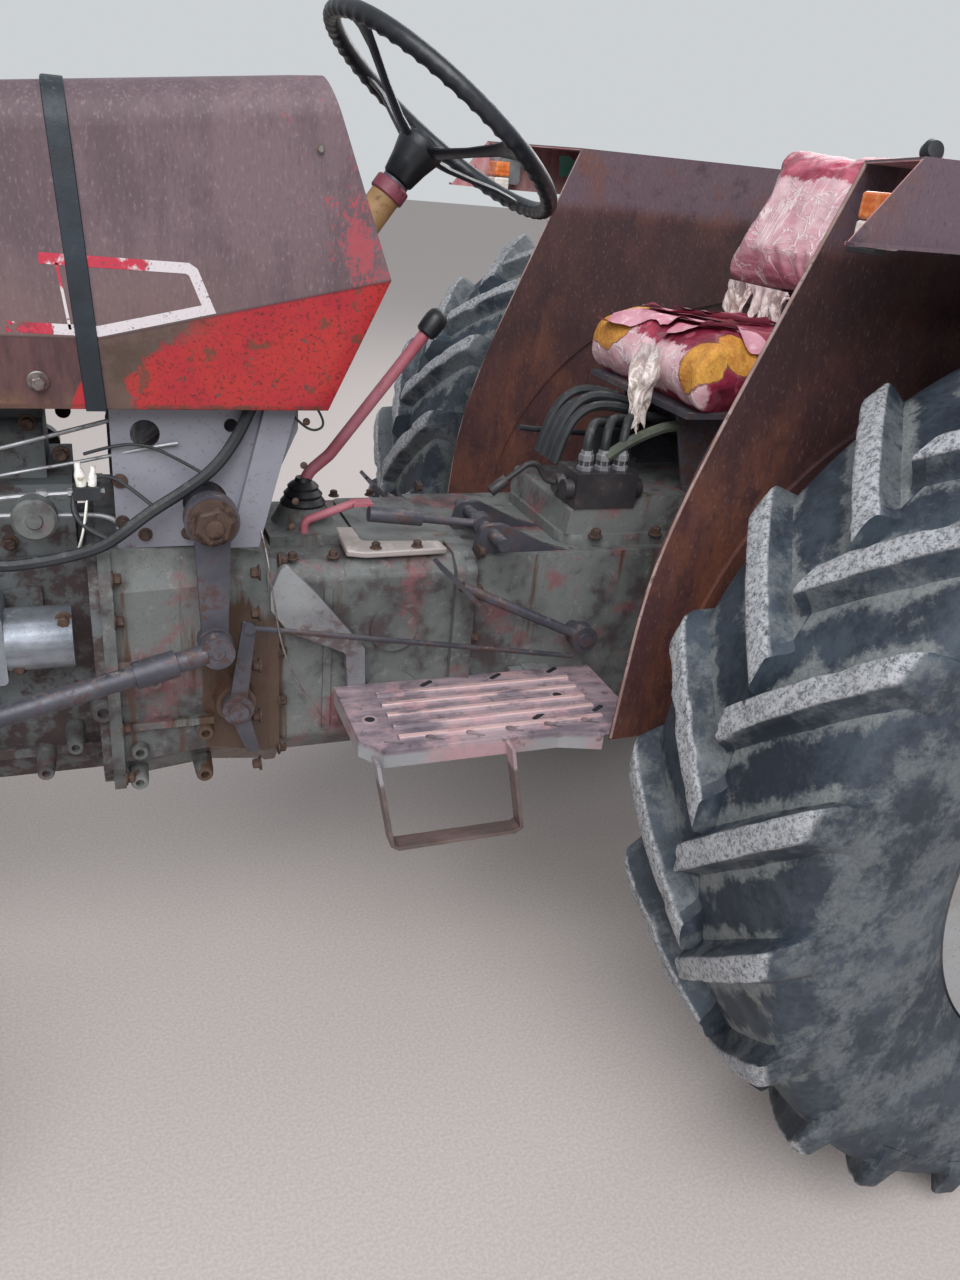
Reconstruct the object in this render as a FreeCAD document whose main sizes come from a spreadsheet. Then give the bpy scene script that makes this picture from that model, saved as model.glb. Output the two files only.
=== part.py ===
# Farm tractor, two wheel drive, open platform.
# Millimetres. Pieces are drawn from the point on the ground under the rear axle:
# x forward, y to the driver's left, z up. Each finished node is then moved by
# RearAxle, so that the tractor stands with its middle over the origin.
import FreeCAD, Part
import math
import os
import re

import Sketcher
from FreeCAD import Placement, Rotation
from FreeCAD import Vector

# Driving dimensions
SIZES = {
    # where the rear axle lies in the finished frame
    "RearAxle": -851,
    # clearances
    "Running": 0.3,
    "PinGap": 1,
    # rear wheels
    "WheelBase": 2150,
    "RearTyreRadius": 690,
    "RearTyreWidth": 380,
    "RearWheelSide": 755,
    "TyreWall": 22,
    "LugHeight": 36,
    "LugCount": 21,
    "LugLag": 15.5,
    "LugRoot": 62,
    "LugCrest": 44,
    "LugPhase": 38.9,
    "LugStagger": 7,
    "RearRimRadius": 362,
    "RearRimWidth": 300,
    "RearRimWall": 8,
    "RearRimFlange": 20,
    "DiscWall": 10,
    "DiscInset": 70,
    "HubFlange": 120,
    "AxleShaft": 46,
    "AxleEntry": 20,
    # front wheels
    "FrontTyreRadius": 400,
    "FrontTyreWidth": 196,
    "FrontWheelSide": 690,
    "FrontTyreWall": 16,
    "FrontRimRadius": 208,
    "FrontRimWidth": 150,
    "FrontRimWall": 6,
    "FrontRimFlange": 12,
    "HubInner": 62,
    # castings along the tractor
    "HousingBack": -200,
    "HousingWide": 330,
    "HousingHalf": 190,
    "GearboxBack": 800,
    "GearboxFront": 1130,
    "BellFront": 1375,
    "EngineFront": 2010,
    "TimingFront": 2055,
    "BolsterFront": 2470,
    "CaseBottom": 500,
    "CaseTop": 860,
    "CaseHalf": 172,
    "BellHalf": 215,
    "BellBottom": 488,
    "BellTop": 905,
    "FlangeRim": 16,
    "FlangeThick": 18,
    "TrumpetInner": 140,
    "TrumpetOuter": 82,
    "TrumpetEnd": 520,
    "TrumpetCollar": 36,
    "LeverAhead": 1040,
    "LeverBase": 905,
    # lift cover and its shaft
    "LiftCoverFront": 610,
    "LiftCoverBack": -190,
    "LiftCoverHalf": 150,
    "LiftCoverTop": 945,
    "ValveAhead": 476,
    "ValveSide": 96,
    "ValveSeat": 927,
    "ValveHigh": 62,
    "RockerAhead": -110,
    "RockerRise": 65,
    "RockerRadius": 24,
    "LiftArmLength": 260,
    "LiftArmDrop": 70,
    "LiftArmSide": 214,
    "LiftPinRadius": 9.5,
    # lower links
    "LinkAhead": -40,
    "LinkHeight": 520,
    "LinkSide": 222,
    "LinkLength": 790,
    "LinkDrop": 90,
    "LinkSpread": 150,
    "LinkBall": 34,
    "LinkPinRadius": 11.2,
    "LiftPoint": 400,
    # engine
    "BlockHalf": 130,
    "BlockBottom": 545,
    "BlockTop": 872,
    "SumpBottom": 482,
    "HeadHalf": 112,
    "HeadTop": 980,
    "RockerCoverTop": 1062,
    "FanRadius": 185,
    "FanHeight": 900,
    "FanAhead": 2112,
    # radiator and front support
    "RadiatorAhead": 2190,
    "RadiatorDepth": 80,
    "RadiatorHalf": 205,
    "RadiatorTop": 1235,
    "BolsterHalf": 150,
    "BolsterBottom": 560,
    "RailTop": 660,
    # front axle
    "AxleHeight": 500,
    "AxleBeam": 84,
    "AxlePin": 20,
    "KingpinSide": 560,
    "KingpinRadius": 22,
    "KingpinBoss": 42,
    "BossHeight": 128,
    "SpindleRadius": 26,
    "SteeringArm": 140,
    "SteeringArmThick": 22,
    # steering
    "SteerShaftAhead": 1220,
    "SteerShaftRise": 67,
    "SteerShaftRadius": 22,
    "DropArmSide": 264,
    "DropArmLength": 190,
    "DropArmThick": 26,
    "DragLinkOffset": 18,
    "DragLinkRadius": 15,
    "DragPinRadius": 10,
    "DragCup": 34,
    "WheelRingRadius": 207,
    "WheelRingTube": 12.5,
    "WheelDish": 88,
    "ColumnTilt": 35.7,
    "WheelAhead": 833,
    "WheelHeight": 1515,
    "WheelRise": 250,
    "HubLength": 60,
    "SpokeCount": 4,
    "SpokeTurn": 20,
    "ColumnRadius": 22,
    "ColumnTip": 10,
    "ColumnBelow": 290,
    # bonnet
    "HoodHalf": 250,
    "HoodSheet": 3,
    "HoodBottom": 1119,
    "HoodBack": 1062,
    "HoodBackTop": 1537,
    "HoodKneeAhead": 972,
    "HoodKneeHeight": 1300,
    "HoodFront": 2330,
    "HoodFall": 0.12,
    "HoodTuck": 14,
    "HoodRound": 50,
    "HoodCrown": 8,
    "CreaseHeight": 1212,
    "CreaseAhead": 1350,
    "NoseFront": 2520,
    "NoseBottom": 702,
    "GrilleHalf": 205,
    "GrilleTop": 1310,
    "GrilleBottom": 760,
    "GrilleBars": 14,
    "GrilleDepth": 16,
    "GrilleFrame": 14,
    "HeadlampSide": 128,
    "HeadlampHeight": 1200,
    "HeadlampRadius": 66,
    # bulkhead
    "BulkheadHalf": 185,
    "BulkheadBack": 1085,
    "BulkheadFront": 1345,
    "PlateThick": 5,
    # exhaust
    "ExhaustBehind": 310,
    "ExhaustSide": 150,
    "ExhaustRadius": 26,
    "MufflerRadius": 58,
    "ExhaustTop": 1960,
    # pedals
    "PedalAhead": 1186,
    "PedalHeight": 653,
    "PedalShaft": 15,
    "PedalPivotAhead": 586,
    "PedalPivotHeight": 718,
    "PedalReach": 233,
    "PedalRise": 109,
    # platform
    "PlatformTop": 655,
    "PlatformInner": 205,
    "PlatformOuter": 415,
    "PlatformBack": 560,
    "PlatformFront": 1025,
    "PlatformSheet": 4,
    "LipHeight": 30,
    "RibCount": 5,
    "SlotCount": 6,
    "StepAhead": 890,
    "StepDrop": 165,
    "StepWidth": 190,
    "StepLean": 30,
    "StepBar": 6,
    # fenders
    "FenderInner": 440,
    "FenderOuter": 680,
    "FenderTop": 1502,
    "FenderSheet": 4,
    "FenderDish": 540,
    "FenderBulge": 8,
    "FenderTopBack": -250,
    "FenderTopFront": 388,
    "FenderLipFront": 506,
    "FenderKneeAhead": -640,
    "FenderKneeFall": 262,
    "FenderTailAhead": -770,
    "FenderTailFall": 562,
    "FenderLampAhead": 438,
    "SkirtHeight": 94,
    # seat
    "SeatHalf": 210,
    "SeatFront": 445,
    "SeatBack": 60,
    "SeatBottom": 1108,
    "SeatThick": 104,
    "BackrestBottom": 1264,
    "BackrestTop": 1545,
    "BackrestBack": 75,
    "BackrestThick": 92,
    "BackrestLean": 112,
    # rear hitch
    "DrawbarHeight": 385,
    "DrawbarEnd": -430,
    "DrawbarHalf": 38,
    "DrawbarThick": 30,
    "DrawbarHole": 15,
    "DrawbarHoleInset": 36,
    "TopLinkHole": 9.65,
    "PtoHeight": 590,
    "PtoRadius": 17.5,
    "PtoLength": 76,
    "SplineCount": 6,
    "SplineWide": 4,
    "SplineDeep": 3.5,
    # flat facets of the tyres
    "RearTyreSides": 28,
    "FrontTyreSides": 24,
}
PLACES = {
    "RockerHeight": "CaseTop + RockerRise",
    "SteerShaftHeight": "BellTop + SteerShaftRise",
    "ExhaustAhead": "EngineFront - ExhaustBehind",
}

doc = FreeCAD.newDocument("Tractor")
sheet = doc.addObject("Spreadsheet::Sheet", "Sizes")
cells = dict(SIZES)
cells.update({alias: f"={formula}" for alias, formula in PLACES.items()})
for row, (alias, value) in enumerate(cells.items(), start=1):
    sheet.set(f"A{row}", alias)
    sheet.set(f"B{row}", str(value))
    sheet.setAlias(f"B{row}", alias)
doc.recompute()

ALONG = {
    "X": Rotation(Vector(0, 1, 0), 90),
    "Y": Rotation(Vector(1, 0, 0), -90),
    "Z": Rotation(),
}


def size(alias):
    """The value of one cell of the sheet."""
    return float(sheet.get(alias))


def bind(thing, field, formula):
    """Bind one property to a formula in the sheet's aliases, which all start with a capital."""
    thing.setExpression(field, re.sub(r"\b([A-Z][A-Za-z]*)\b", r"Sizes.\1", formula))


def stand(thing, x, y, z):
    """Bind the place of a primitive."""
    for axis, formula in zip("xyz", (x, y, z)):
        bind(thing, f"Placement.Base.{axis}", formula)


def box(x0, x1, y0, y1, z0, z1):
    """A box between three pairs of bounds."""
    thing = doc.addObject("Part::Box", "Box")
    bind(thing, "Length", f"({x1}) - ({x0})")
    bind(thing, "Width", f"({y1}) - ({y0})")
    bind(thing, "Height", f"({z1}) - ({z0})")
    stand(thing, x0, y0, z0)
    return thing


def rod(axis, x, y, z, radius, length):
    """A cylinder along one axis, which starts at x, y, z."""
    thing = doc.addObject("Part::Cylinder", "Rod")
    bind(thing, "Radius", radius)
    bind(thing, "Height", length)
    thing.Placement = Placement(Vector(), ALONG[axis])
    stand(thing, x, y, z)
    return thing


def taper(axis, x, y, z, first, last, length):
    """A cone's frustum along one axis, which starts at x, y, z."""
    thing = doc.addObject("Part::Cone", "Taper")
    bind(thing, "Radius1", first)
    bind(thing, "Radius2", last)
    bind(thing, "Height", length)
    thing.Placement = Placement(Vector(), ALONG[axis])
    stand(thing, x, y, z)
    return thing


def joined(*things):
    """One solid of several pieces that touch."""
    thing = doc.addObject("Part::MultiFuse", "Joined")
    thing.Shapes = list(things)
    return thing


def without(base, *tools):
    """A piece with other pieces cut away."""
    thing = doc.addObject("Part::Cut", "Trimmed")
    thing.Base = base
    thing.Tool = tools[0] if len(tools) == 1 else joined(*tools)
    return thing


def together(*things):
    """Solids of one node that lie apart."""
    thing = doc.addObject("Part::Compound", "Together")
    thing.Links = list(things)
    return thing


def mirrored(source):
    """The same piece on the tractor's other side."""
    thing = doc.addObject("Part::Mirroring", "Mirrored")
    thing.Source = source
    thing.Normal = Vector(0, 1, 0)
    return thing


PLANES = {"XY": "XY_Plane", "XZ": "XZ_Plane", "YZ": "YZ_Plane"}


def outline(body, plane, points):
    """A closed sketch whose corners are bound to formulas."""
    sketch = body.newObject("Sketcher::SketchObject", "Outline")
    role = PLANES[plane]
    support = next(item for item in body.Origin.OriginFeatures if item.Role == role)
    sketch.AttachmentSupport = [(support, "")]
    sketch.MapMode = "FlatFace"
    count = len(points)
    for index in range(count):
        turn = 2 * math.pi * index / count
        after = 2 * math.pi * (index + 1) / count
        start = Vector(math.cos(turn), math.sin(turn), 0)
        end = Vector(math.cos(after), math.sin(after), 0)
        sketch.addGeometry(Part.LineSegment(start, end), False)
    for index in range(count):
        follower = (index + 1) % count
        sketch.addConstraint(Sketcher.Constraint("Coincident", index, 2, follower, 1))
    for index, point in enumerate(points):
        for kind, formula in (("DistanceX", point[0]), ("DistanceY", point[1])):
            number = sketch.addConstraint(Sketcher.Constraint(kind, -1, 1, index, 1, 1.0))
            bind(sketch, f"Constraints[{number}]", formula)
    return sketch


def corner_edges(solid, sketch, places):
    """The names of the straight edges that stand on the named corners of a sketch."""
    normal = sketch.Placement.Rotation.multVec(Vector(0, 0, 1))
    corners = [sketch.Placement.multVec(sketch.Geometry[place].StartPoint) for place in places]
    names = []
    for number, edge in enumerate(solid.Shape.Edges, start=1):
        if len(edge.Vertexes) != 2:
            continue
        start, end = (vertex.Point for vertex in edge.Vertexes)
        run = end - start
        if run.Length < 0.01 or run.cross(normal).Length > 0.001 * run.Length:
            continue
        for corner in corners:
            if (start - corner).cross(normal).Length < 0.01:
                names.append(f"Edge{number}")
    return names


def extruded(plane, points, start, end):
    """A pad of a closed outline. A corner with a third value is rounded by that radius."""
    body = doc.addObject("PartDesign::Body", "Profile")
    sketch = outline(body, plane, points)
    bind(sketch, "AttachmentOffset.Base.z", f"-({end})" if plane == "XZ" else start)
    pad = body.newObject("PartDesign::Pad", "Pad")
    pad.Profile = sketch
    bind(pad, "Length", f"({end}) - ({start})")
    doc.recompute()
    radii = {}
    for index, point in enumerate(points):
        if len(point) == 3:
            radii.setdefault(point[2], []).append(index)
    last = pad
    for radius, places in radii.items():
        fillet = body.newObject("PartDesign::Fillet", "Rounding")
        fillet.Base = (last, corner_edges(last, sketch, places))
        bind(fillet, "Radius", radius)
        doc.recompute()
        last = fillet
    body.Tip = last
    return body


def formed(shape):
    """A piece whose form comes from the loops and formulas of this file."""
    thing = doc.addObject("Part::Feature", "Formed")
    thing.Shape = shape
    return thing


def tube_along(points, radius, bend):
    """A round bar through points in mm, with each inner corner turned by an arc."""
    corners = [Vector(*point) for point in points]
    edges = []
    last = corners[0]
    for before, corner, after in zip(corners, corners[1:], corners[2:]):
        inward = (before - corner).normalize()
        outward = (after - corner).normalize()
        half = inward.getAngle(outward) / 2
        limit = 0.45 * min((before - corner).Length, (after - corner).Length) * math.tan(half)
        turn = min(bend, limit)
        reach = turn / math.tan(half)
        first = corner + inward * reach
        final = corner + outward * reach
        middle = corner + (inward + outward).normalize() * (turn / math.sin(half) - turn)
        edges.append(Part.LineSegment(last, first).toShape())
        edges.append(Part.Arc(first, middle, final).toShape())
        last = final
    edges.append(Part.LineSegment(last, corners[-1]).toShape())
    path = Part.Wire(edges)
    start = corners[1] - corners[0]
    ring = Part.Wire([Part.makeCircle(radius, corners[0], start)])
    return path.makePipeShell([ring], True, False)


NODES = []


def node(label, thing):
    """Name a finished sub-part and stand it over the origin."""
    if thing.TypeId == "Part::Feature":
        thing = together(thing)
    thing.Label = label
    bind(thing, "Placement.Base.x", "RearAxle")
    NODES.append(thing)
    return thing


def polar(radius, angle, along, height):
    """A point on a circle about a cross axis at a height above the ground."""
    turn = math.radians(angle)
    return Vector(radius * math.cos(turn), along, height + radius * math.sin(turn))


def ring_of(profile, side, height, ahead=0):
    """A full turn about a cross axis of points (distance along the axle, radius)."""
    corners = [Vector(ahead, side + along, height + radius) for along, radius in profile]
    face = Part.Face(Part.makePolygon(corners + corners[:1]))
    return face.revolve(Vector(ahead, side, height), Vector(0, 1, 0), 360)


def faceted_ring(profile, side, height, sides, ahead=0):
    """A ring like ring_of, in flat facets whose corners lie on the radii."""
    rows = []
    for number in range(sides):
        turn = 2 * math.pi * number / sides
        rows.append([Vector(ahead + radius * math.cos(turn), side + along, height + radius * math.sin(turn))
                     for along, radius in profile])
    faces = []
    for row, after in zip(rows, rows[1:] + rows[:1]):
        for place in range(len(profile)):
            later = (place + 1) % len(profile)
            corners = [row[place], row[later], after[later], after[place]]
            faces.append(Part.Face(Part.makePolygon(corners + corners[:1])))
    shell = Part.makeShell(faces)
    shell.sewShape()
    solid = Part.makeSolid(shell)
    if solid.Volume < 0:
        solid.reverse()
    return solid


# Rear wheels


def rear_carcass():
    """The casing of the left rear tyre, an open ring whose beads sit on the rim."""
    half = size("RearTyreWidth") / 2
    root = size("RearTyreRadius") - size("LugHeight")
    bead = size("RearRimRadius") + size("Running")
    seat = size("RearRimWidth") / 2 - size("Running")
    wall = size("TyreWall")
    rise = root - bead
    sides = int(size("RearTyreSides"))
    beyond = 1 / math.cos(math.pi / sides)
    outside = [
        (seat, beyond * bead),
        (seat, beyond * (bead + size("RearRimFlange"))),
        (0.98 * half, bead + 0.36 * rise),
        (half, bead + 0.6 * rise),
        (0.97 * half, bead + 0.82 * rise),
        (0.88 * half, root - 0.04 * rise),
    ]
    inside = [
        (seat - 1.3 * wall, beyond * bead),
        (half - wall, bead + 0.5 * rise),
        (0.88 * half - wall, root - 0.06 * rise - wall),
    ]
    crown = [(0, root)]
    under = [(0, root - wall)]
    right = [(-along, radius) for along, radius in outside]
    right_inside = [(-along, radius) for along, radius in inside]
    profile = outside + crown + right[::-1] + right_inside + under + inside[::-1]
    return faceted_ring(profile, size("RearWheelSide"), size("RearTyreRadius"), sides)


def lug(phase, towards):
    """One tread bar, from the tyre's middle to a shoulder, by four sections across the axle."""
    radius = size("RearTyreRadius")
    half = size("RearTyreWidth") / 2
    root = radius - size("LugHeight")
    sunk = root - 0.6 * size("TyreWall")
    sections = (
        (-0.05, radius, sunk),
        (0.5, radius - 2, sunk),
        (0.86, radius - 7, sunk - 6),
        (0.965, radius - 24, root - 56),
    )
    wires = []
    for share, crest_radius, root_radius in sections:
        along = size("RearWheelSide") + towards * share * half
        middle = phase + size("LugLag") * share
        crest = math.degrees(size("LugCrest") / 2 / crest_radius)
        foot = math.degrees(size("LugRoot") / 2 / root_radius)
        corners = [
            polar(root_radius, middle - foot, along, radius),
            polar(crest_radius, middle - crest, along, radius),
            polar(crest_radius, middle + crest, along, radius),
            polar(root_radius, middle + foot, along, radius),
        ]
        wires.append(Part.makePolygon(corners + corners[:1]))
    return Part.makeLoft(wires, True, True)


def rear_tyre():
    """The casing with its two staggered rows of tread bars."""
    pitch = 360 / size("LugCount")
    bars = []
    for number in range(int(size("LugCount"))):
        bars.append(lug(size("LugPhase") + pitch * number, -1))
        bars.append(lug(size("LugPhase") - size("LugStagger") + pitch * number, 1))
    return formed(rear_carcass().fuse(bars))


def rear_rim():
    """Rim barrel, dished disc with hand holes, hub flange and the end of the axle."""
    side = size("RearWheelSide")
    height = size("RearTyreRadius")
    half = size("RearRimWidth") / 2
    seat = size("RearRimRadius")
    wall = size("RearRimWall")
    well = seat - 28
    lip = seat + size("RearRimFlange")
    barrel = ring_of(
        [
            (-half - wall, seat - wall),
            (-half - wall, lip),
            (-half, lip),
            (-half, seat),
            (-0.62 * half, seat),
            (-0.52 * half, well),
            (0.52 * half, well),
            (0.62 * half, seat),
            (half, seat),
            (half, lip),
            (half + wall, lip),
            (half + wall, seat - wall),
            (0.66 * half, seat - wall),
            (0.56 * half, well - wall),
            (-0.56 * half, well - wall),
            (-0.66 * half, seat - wall),
        ],
        side,
        height,
    )
    disc_wall = size("DiscWall")
    flat = size("DiscInset")
    disc = ring_of(
        [
            (-flat, 0),
            (-flat, 165),
            (-0.2 * flat, 285),
            (-0.2 * flat, well - wall),
            (-0.2 * flat + disc_wall, well - wall),
            (-0.2 * flat + disc_wall, 280),
            (-flat + disc_wall, 160),
            (-flat + disc_wall, 0),
        ],
        side,
        height,
    )
    holes = []
    for number in range(8):
        centre = polar(232, 22.5 + 45 * number, side - flat - 40, height)
        holes.append(Part.makeCylinder(30, flat + 80, centre, Vector(0, 1, 0)))
    disc = disc.cut(holes)
    hub_end = side - flat
    shaft = size("AxleShaft")
    start = size("TrumpetEnd") - size("AxleEntry")
    hub = ring_of(
        [
            (start - side, 0),
            (start - side, shaft),
            (size("TrumpetEnd") + 2 - side, shaft),
            (size("TrumpetEnd") + 2 - side, shaft + 14),
            (hub_end - 18 - side, shaft + 14),
            (hub_end - 18 - side, size("HubFlange")),
            (hub_end - side, size("HubFlange")),
            (hub_end - side, 0),
        ],
        side,
        height,
    )
    return formed(barrel.fuse([disc, hub]))


# Front wheels


def front_tyre():
    """Three rib tyre on its rim."""
    radius = size("FrontTyreRadius")
    half = size("FrontTyreWidth") / 2
    bead = size("FrontRimRadius") + size("Running")
    seat = size("FrontRimWidth") / 2 - size("Running")
    wall = size("FrontTyreWall")
    groove = radius - 18
    sides = int(size("FrontTyreSides"))
    beyond = 1 / math.cos(math.pi / sides)
    outside = [
        (seat, beyond * bead),
        (seat, beyond * (bead + size("FrontRimFlange"))),
        (half, bead + 86),
        (0.72 * half, radius - 18),
        (0.56 * half, radius - 11),
        (0.42 * half, groove),
        (0.22 * half, radius),
    ]
    inside = [
        (seat - 26, beyond * bead),
        (half - wall, bead + 86),
        (0.6 * half, radius - 24 - wall),
    ]
    mirror = [(-along, reach) for along, reach in outside]
    mirror_inside = [(-along, reach) for along, reach in inside]
    profile = outside + mirror[::-1] + mirror_inside + inside[::-1]
    return formed(faceted_ring(profile, size("FrontWheelSide"), radius, sides, size("WheelBase")))


def front_rim():
    """Rim barrel, disc and hub, bored for the spindle."""
    side = size("FrontWheelSide")
    height = size("FrontTyreRadius")
    ahead = size("WheelBase")
    half = size("FrontRimWidth") / 2
    seat = size("FrontRimRadius")
    lip = seat + size("FrontRimFlange")
    wall = size("FrontRimWall")
    bore = size("SpindleRadius") + size("Running")
    inner = side - size("HubInner")
    profile = [
        (-half - wall, seat - wall),
        (-half - wall, lip),
        (-half, lip),
        (-half, seat),
        (-0.5 * half, seat),
        (-0.4 * half, seat - 20),
        (0.4 * half, seat - 20),
        (0.5 * half, seat),
        (half, seat),
        (half, lip),
        (half + wall, lip),
        (half + wall, seat - wall),
        (0.56 * half, seat - wall),
        (0.46 * half, seat - 20 - wall),
        (-0.46 * half, seat - 20 - wall),
        (-0.56 * half, seat - wall),
    ]
    barrel = ring_of(profile, side, height, ahead)
    disc = ring_of(
        [
            (-30, 40),
            (-30, 96),
            (-6, 130),
            (-6, seat - 20 - wall),
            (2, seat - 20 - wall),
            (2, 126),
            (-22, 92),
            (-22, 40),
        ],
        side,
        height,
        ahead,
    )
    hub = ring_of(
        [
            (inner - side, bore),
            (inner - side, 52),
            (-44, 58),
            (-44, 84),
            (-30, 84),
            (-30, 50),
            (24, 44),
            (34, 36),
            (34, bore),
        ],
        side,
        height,
        ahead,
    )
    cap = ring_of([(34, 0), (34, 36), (46, 28), (46, 0)], side, height, ahead)
    return formed(barrel.fuse([disc, hub, cap]))


def knuckle():
    """Kingpin, steering arm on top of it, and the spindle that carries the wheel."""
    ahead = "WheelBase"
    pin_low = "FrontTyreRadius - 30"
    boss_low = "AxleHeight - BossHeight / 2 - PinGap"
    arm_low = "AxleHeight + BossHeight / 2 + PinGap"
    arm_top = f"{arm_low} + SteeringArmThick"
    joint = "KingpinSide - SteeringArm"
    pin = rod("Z", ahead, "KingpinSide", pin_low, "KingpinRadius", f"{arm_top} - ({pin_low})")
    yoke = rod("Z", ahead, "KingpinSide", pin_low, "38", f"{boss_low} - ({pin_low})")
    spindle = rod("Y", ahead, "KingpinSide", "FrontTyreRadius", "SpindleRadius",
                  "FrontWheelSide + 20 - KingpinSide")
    shoulder = rod("Y", ahead, "KingpinSide", "FrontTyreRadius", "SpindleRadius + 8",
                   "FrontWheelSide - HubInner - PinGap - KingpinSide")
    arm = extruded("XY", [
        (f"{ahead} - 30", "KingpinSide - 14", "12"),
        (f"{ahead} + 30", "KingpinSide - 14", "12"),
        (f"{ahead} + 22", f"{joint} - 20", "16"),
        (f"{ahead} - 22", f"{joint} - 20", "16"),
    ], arm_low, arm_top)
    eye = rod("Z", ahead, "KingpinSide", arm_low, "36", "SteeringArmThick")
    nut = rod("Z", ahead, joint, f"{arm_low} - 14", "13", "16")
    return joined(pin, yoke, spindle, shoulder, arm, eye, nut)


def front_axle():
    """Square beam with a pivot pin at its middle and an upright boss at each end."""
    beam = box("WheelBase - AxleBeam / 2", "WheelBase + AxleBeam / 2", "-KingpinSide + 20",
               "KingpinSide - 20", "AxleHeight - AxleBeam / 2 + 4", "AxleHeight + AxleBeam / 2 - 4")
    sleeve = box("WheelBase - AxleBeam / 2 - 8", "WheelBase + AxleBeam / 2 + 8", "-300", "300",
                 "AxleHeight - AxleBeam / 2 - 4", "AxleHeight + AxleBeam / 2 + 4")
    bosses = []
    bores = []
    for side in ("KingpinSide", "-KingpinSide"):
        bosses.append(rod("Z", "WheelBase", side, "AxleHeight - BossHeight / 2", "KingpinBoss",
                          "BossHeight"))
        bores.append(rod("Z", "WheelBase", side, "AxleHeight - BossHeight",
                         "KingpinRadius + Running", "2 * BossHeight"))
    pin = rod("X", "WheelBase - 100", "0", "AxleHeight", "AxlePin", "200")
    return without(joined(beam, sleeve, pin, *bosses), *bores)


# Castings along the tractor


def front_bolster():
    """Cast support ahead of the engine, with ears for the axle's pivot pin."""
    base = "BolsterBottom"
    pan = box("TimingFront", "BolsterFront", "-BolsterHalf", "BolsterHalf", base, f"{base} + 26")
    rails = []
    for low, high in (("BolsterHalf - 34", "BolsterHalf"), ("-BolsterHalf", "34 - BolsterHalf")):
        rails.append(extruded("XZ", [
            ("TimingFront", base),
            ("BolsterFront", base),
            ("BolsterFront", "RailTop", "14"),
            ("RadiatorAhead - 60", "RailTop", "20"),
            ("RadiatorAhead - 90", f"{base} + 50", "20"),
            ("TimingFront", f"{base} + 50"),
        ], low, high))
    block = box("BolsterFront - 50", "BolsterFront", "-BolsterHalf", "BolsterHalf", base,
                "NoseBottom - Running")
    back = box("TimingFront", "TimingFront + 22", "-BolsterHalf + 20", "BolsterHalf - 20",
               "SumpBottom + 12", base)
    ears = []
    for start in ("WheelBase - 92", "WheelBase + 56"):
        ears.append(extruded("YZ", [
            ("-70", base),
            ("-44", "AxleHeight - 44", "26"),
            ("44", "AxleHeight - 44", "26"),
            ("70", base),
        ], start, f"{start} + 36"))
    bore = rod("X", "WheelBase - 110", "0", "AxleHeight", "AxlePin + Running", "220")
    slot = box("WheelBase - AxleBeam / 2 - 14", "WheelBase + AxleBeam / 2 + 14",
               "-BolsterHalf - 10", "BolsterHalf + 10", "AxleHeight", "AxleHeight + AxleBeam / 2 + 34")
    return without(joined(pan, *rails, block, back, *ears), bore, slot)


def engine():
    """Block, head, covers, sump, timing case, pulley and fan."""
    block = box("BellFront", "EngineFront", "-BlockHalf", "BlockHalf", "BlockBottom", "BlockTop")
    back_plate = extruded("YZ", [
        ("-BellHalf", "BellBottom + 60", "30"),
        ("-BellHalf + 60", "BellBottom"),
        ("BellHalf - 60", "BellBottom"),
        ("BellHalf", "BellBottom + 60", "30"),
        ("BellHalf", "BellTop - 70", "60"),
        ("BellHalf - 30", "BellTop - 24", "20"),
        ("-BellHalf + 30", "BellTop - 24", "20"),
        ("-BellHalf", "BellTop - 70", "60"),
    ], "BellFront", "BellFront + 14")
    sump = extruded("YZ", [
        ("-BlockHalf - 14", "BlockBottom + 14"),
        ("-BlockHalf - 14", "BlockBottom - 2"),
        ("-BlockHalf + 6", "BlockBottom - 6"),
        ("-BlockHalf + 26", "SumpBottom", "18"),
        ("BlockHalf - 26", "SumpBottom", "18"),
        ("BlockHalf - 6", "BlockBottom - 6"),
        ("BlockHalf + 14", "BlockBottom - 2"),
        ("BlockHalf + 14", "BlockBottom + 14"),
    ], "BellFront + 14", "EngineFront")
    side_covers = box("BellFront + 80", "EngineFront - 60", "-BlockHalf - 10", "BlockHalf + 10",
                      "BlockTop - 150", "BlockTop - 40")
    head = box("BellFront + 26", "EngineFront - 20", "-HeadHalf", "HeadHalf", "BlockTop", "HeadTop")
    cover = extruded("YZ", [
        ("-78", "HeadTop"),
        ("-66", "RockerCoverTop", "22"),
        ("66", "RockerCoverTop", "22"),
        ("78", "HeadTop"),
    ], "BellFront + 60", "EngineFront - 50")
    timing = extruded("YZ", [
        ("-BlockHalf", "BlockBottom", "20"),
        ("BlockHalf", "BlockBottom", "20"),
        ("BlockHalf", "BlockTop - 80", "40"),
        ("70", "BlockTop - 10", "40"),
        ("-70", "BlockTop - 10", "40"),
        ("-BlockHalf", "BlockTop - 80", "40"),
    ], "EngineFront", "TimingFront")
    crank = rod("X", "TimingFront", "0", "BolsterBottom + 106", "62", "40")
    pump = taper("X", "EngineFront", "0", "FanHeight", "58", "30", "FanAhead - EngineFront")
    return joined(block, back_plate, sump, side_covers, head, cover, timing, crank, pump, fan())


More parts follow.
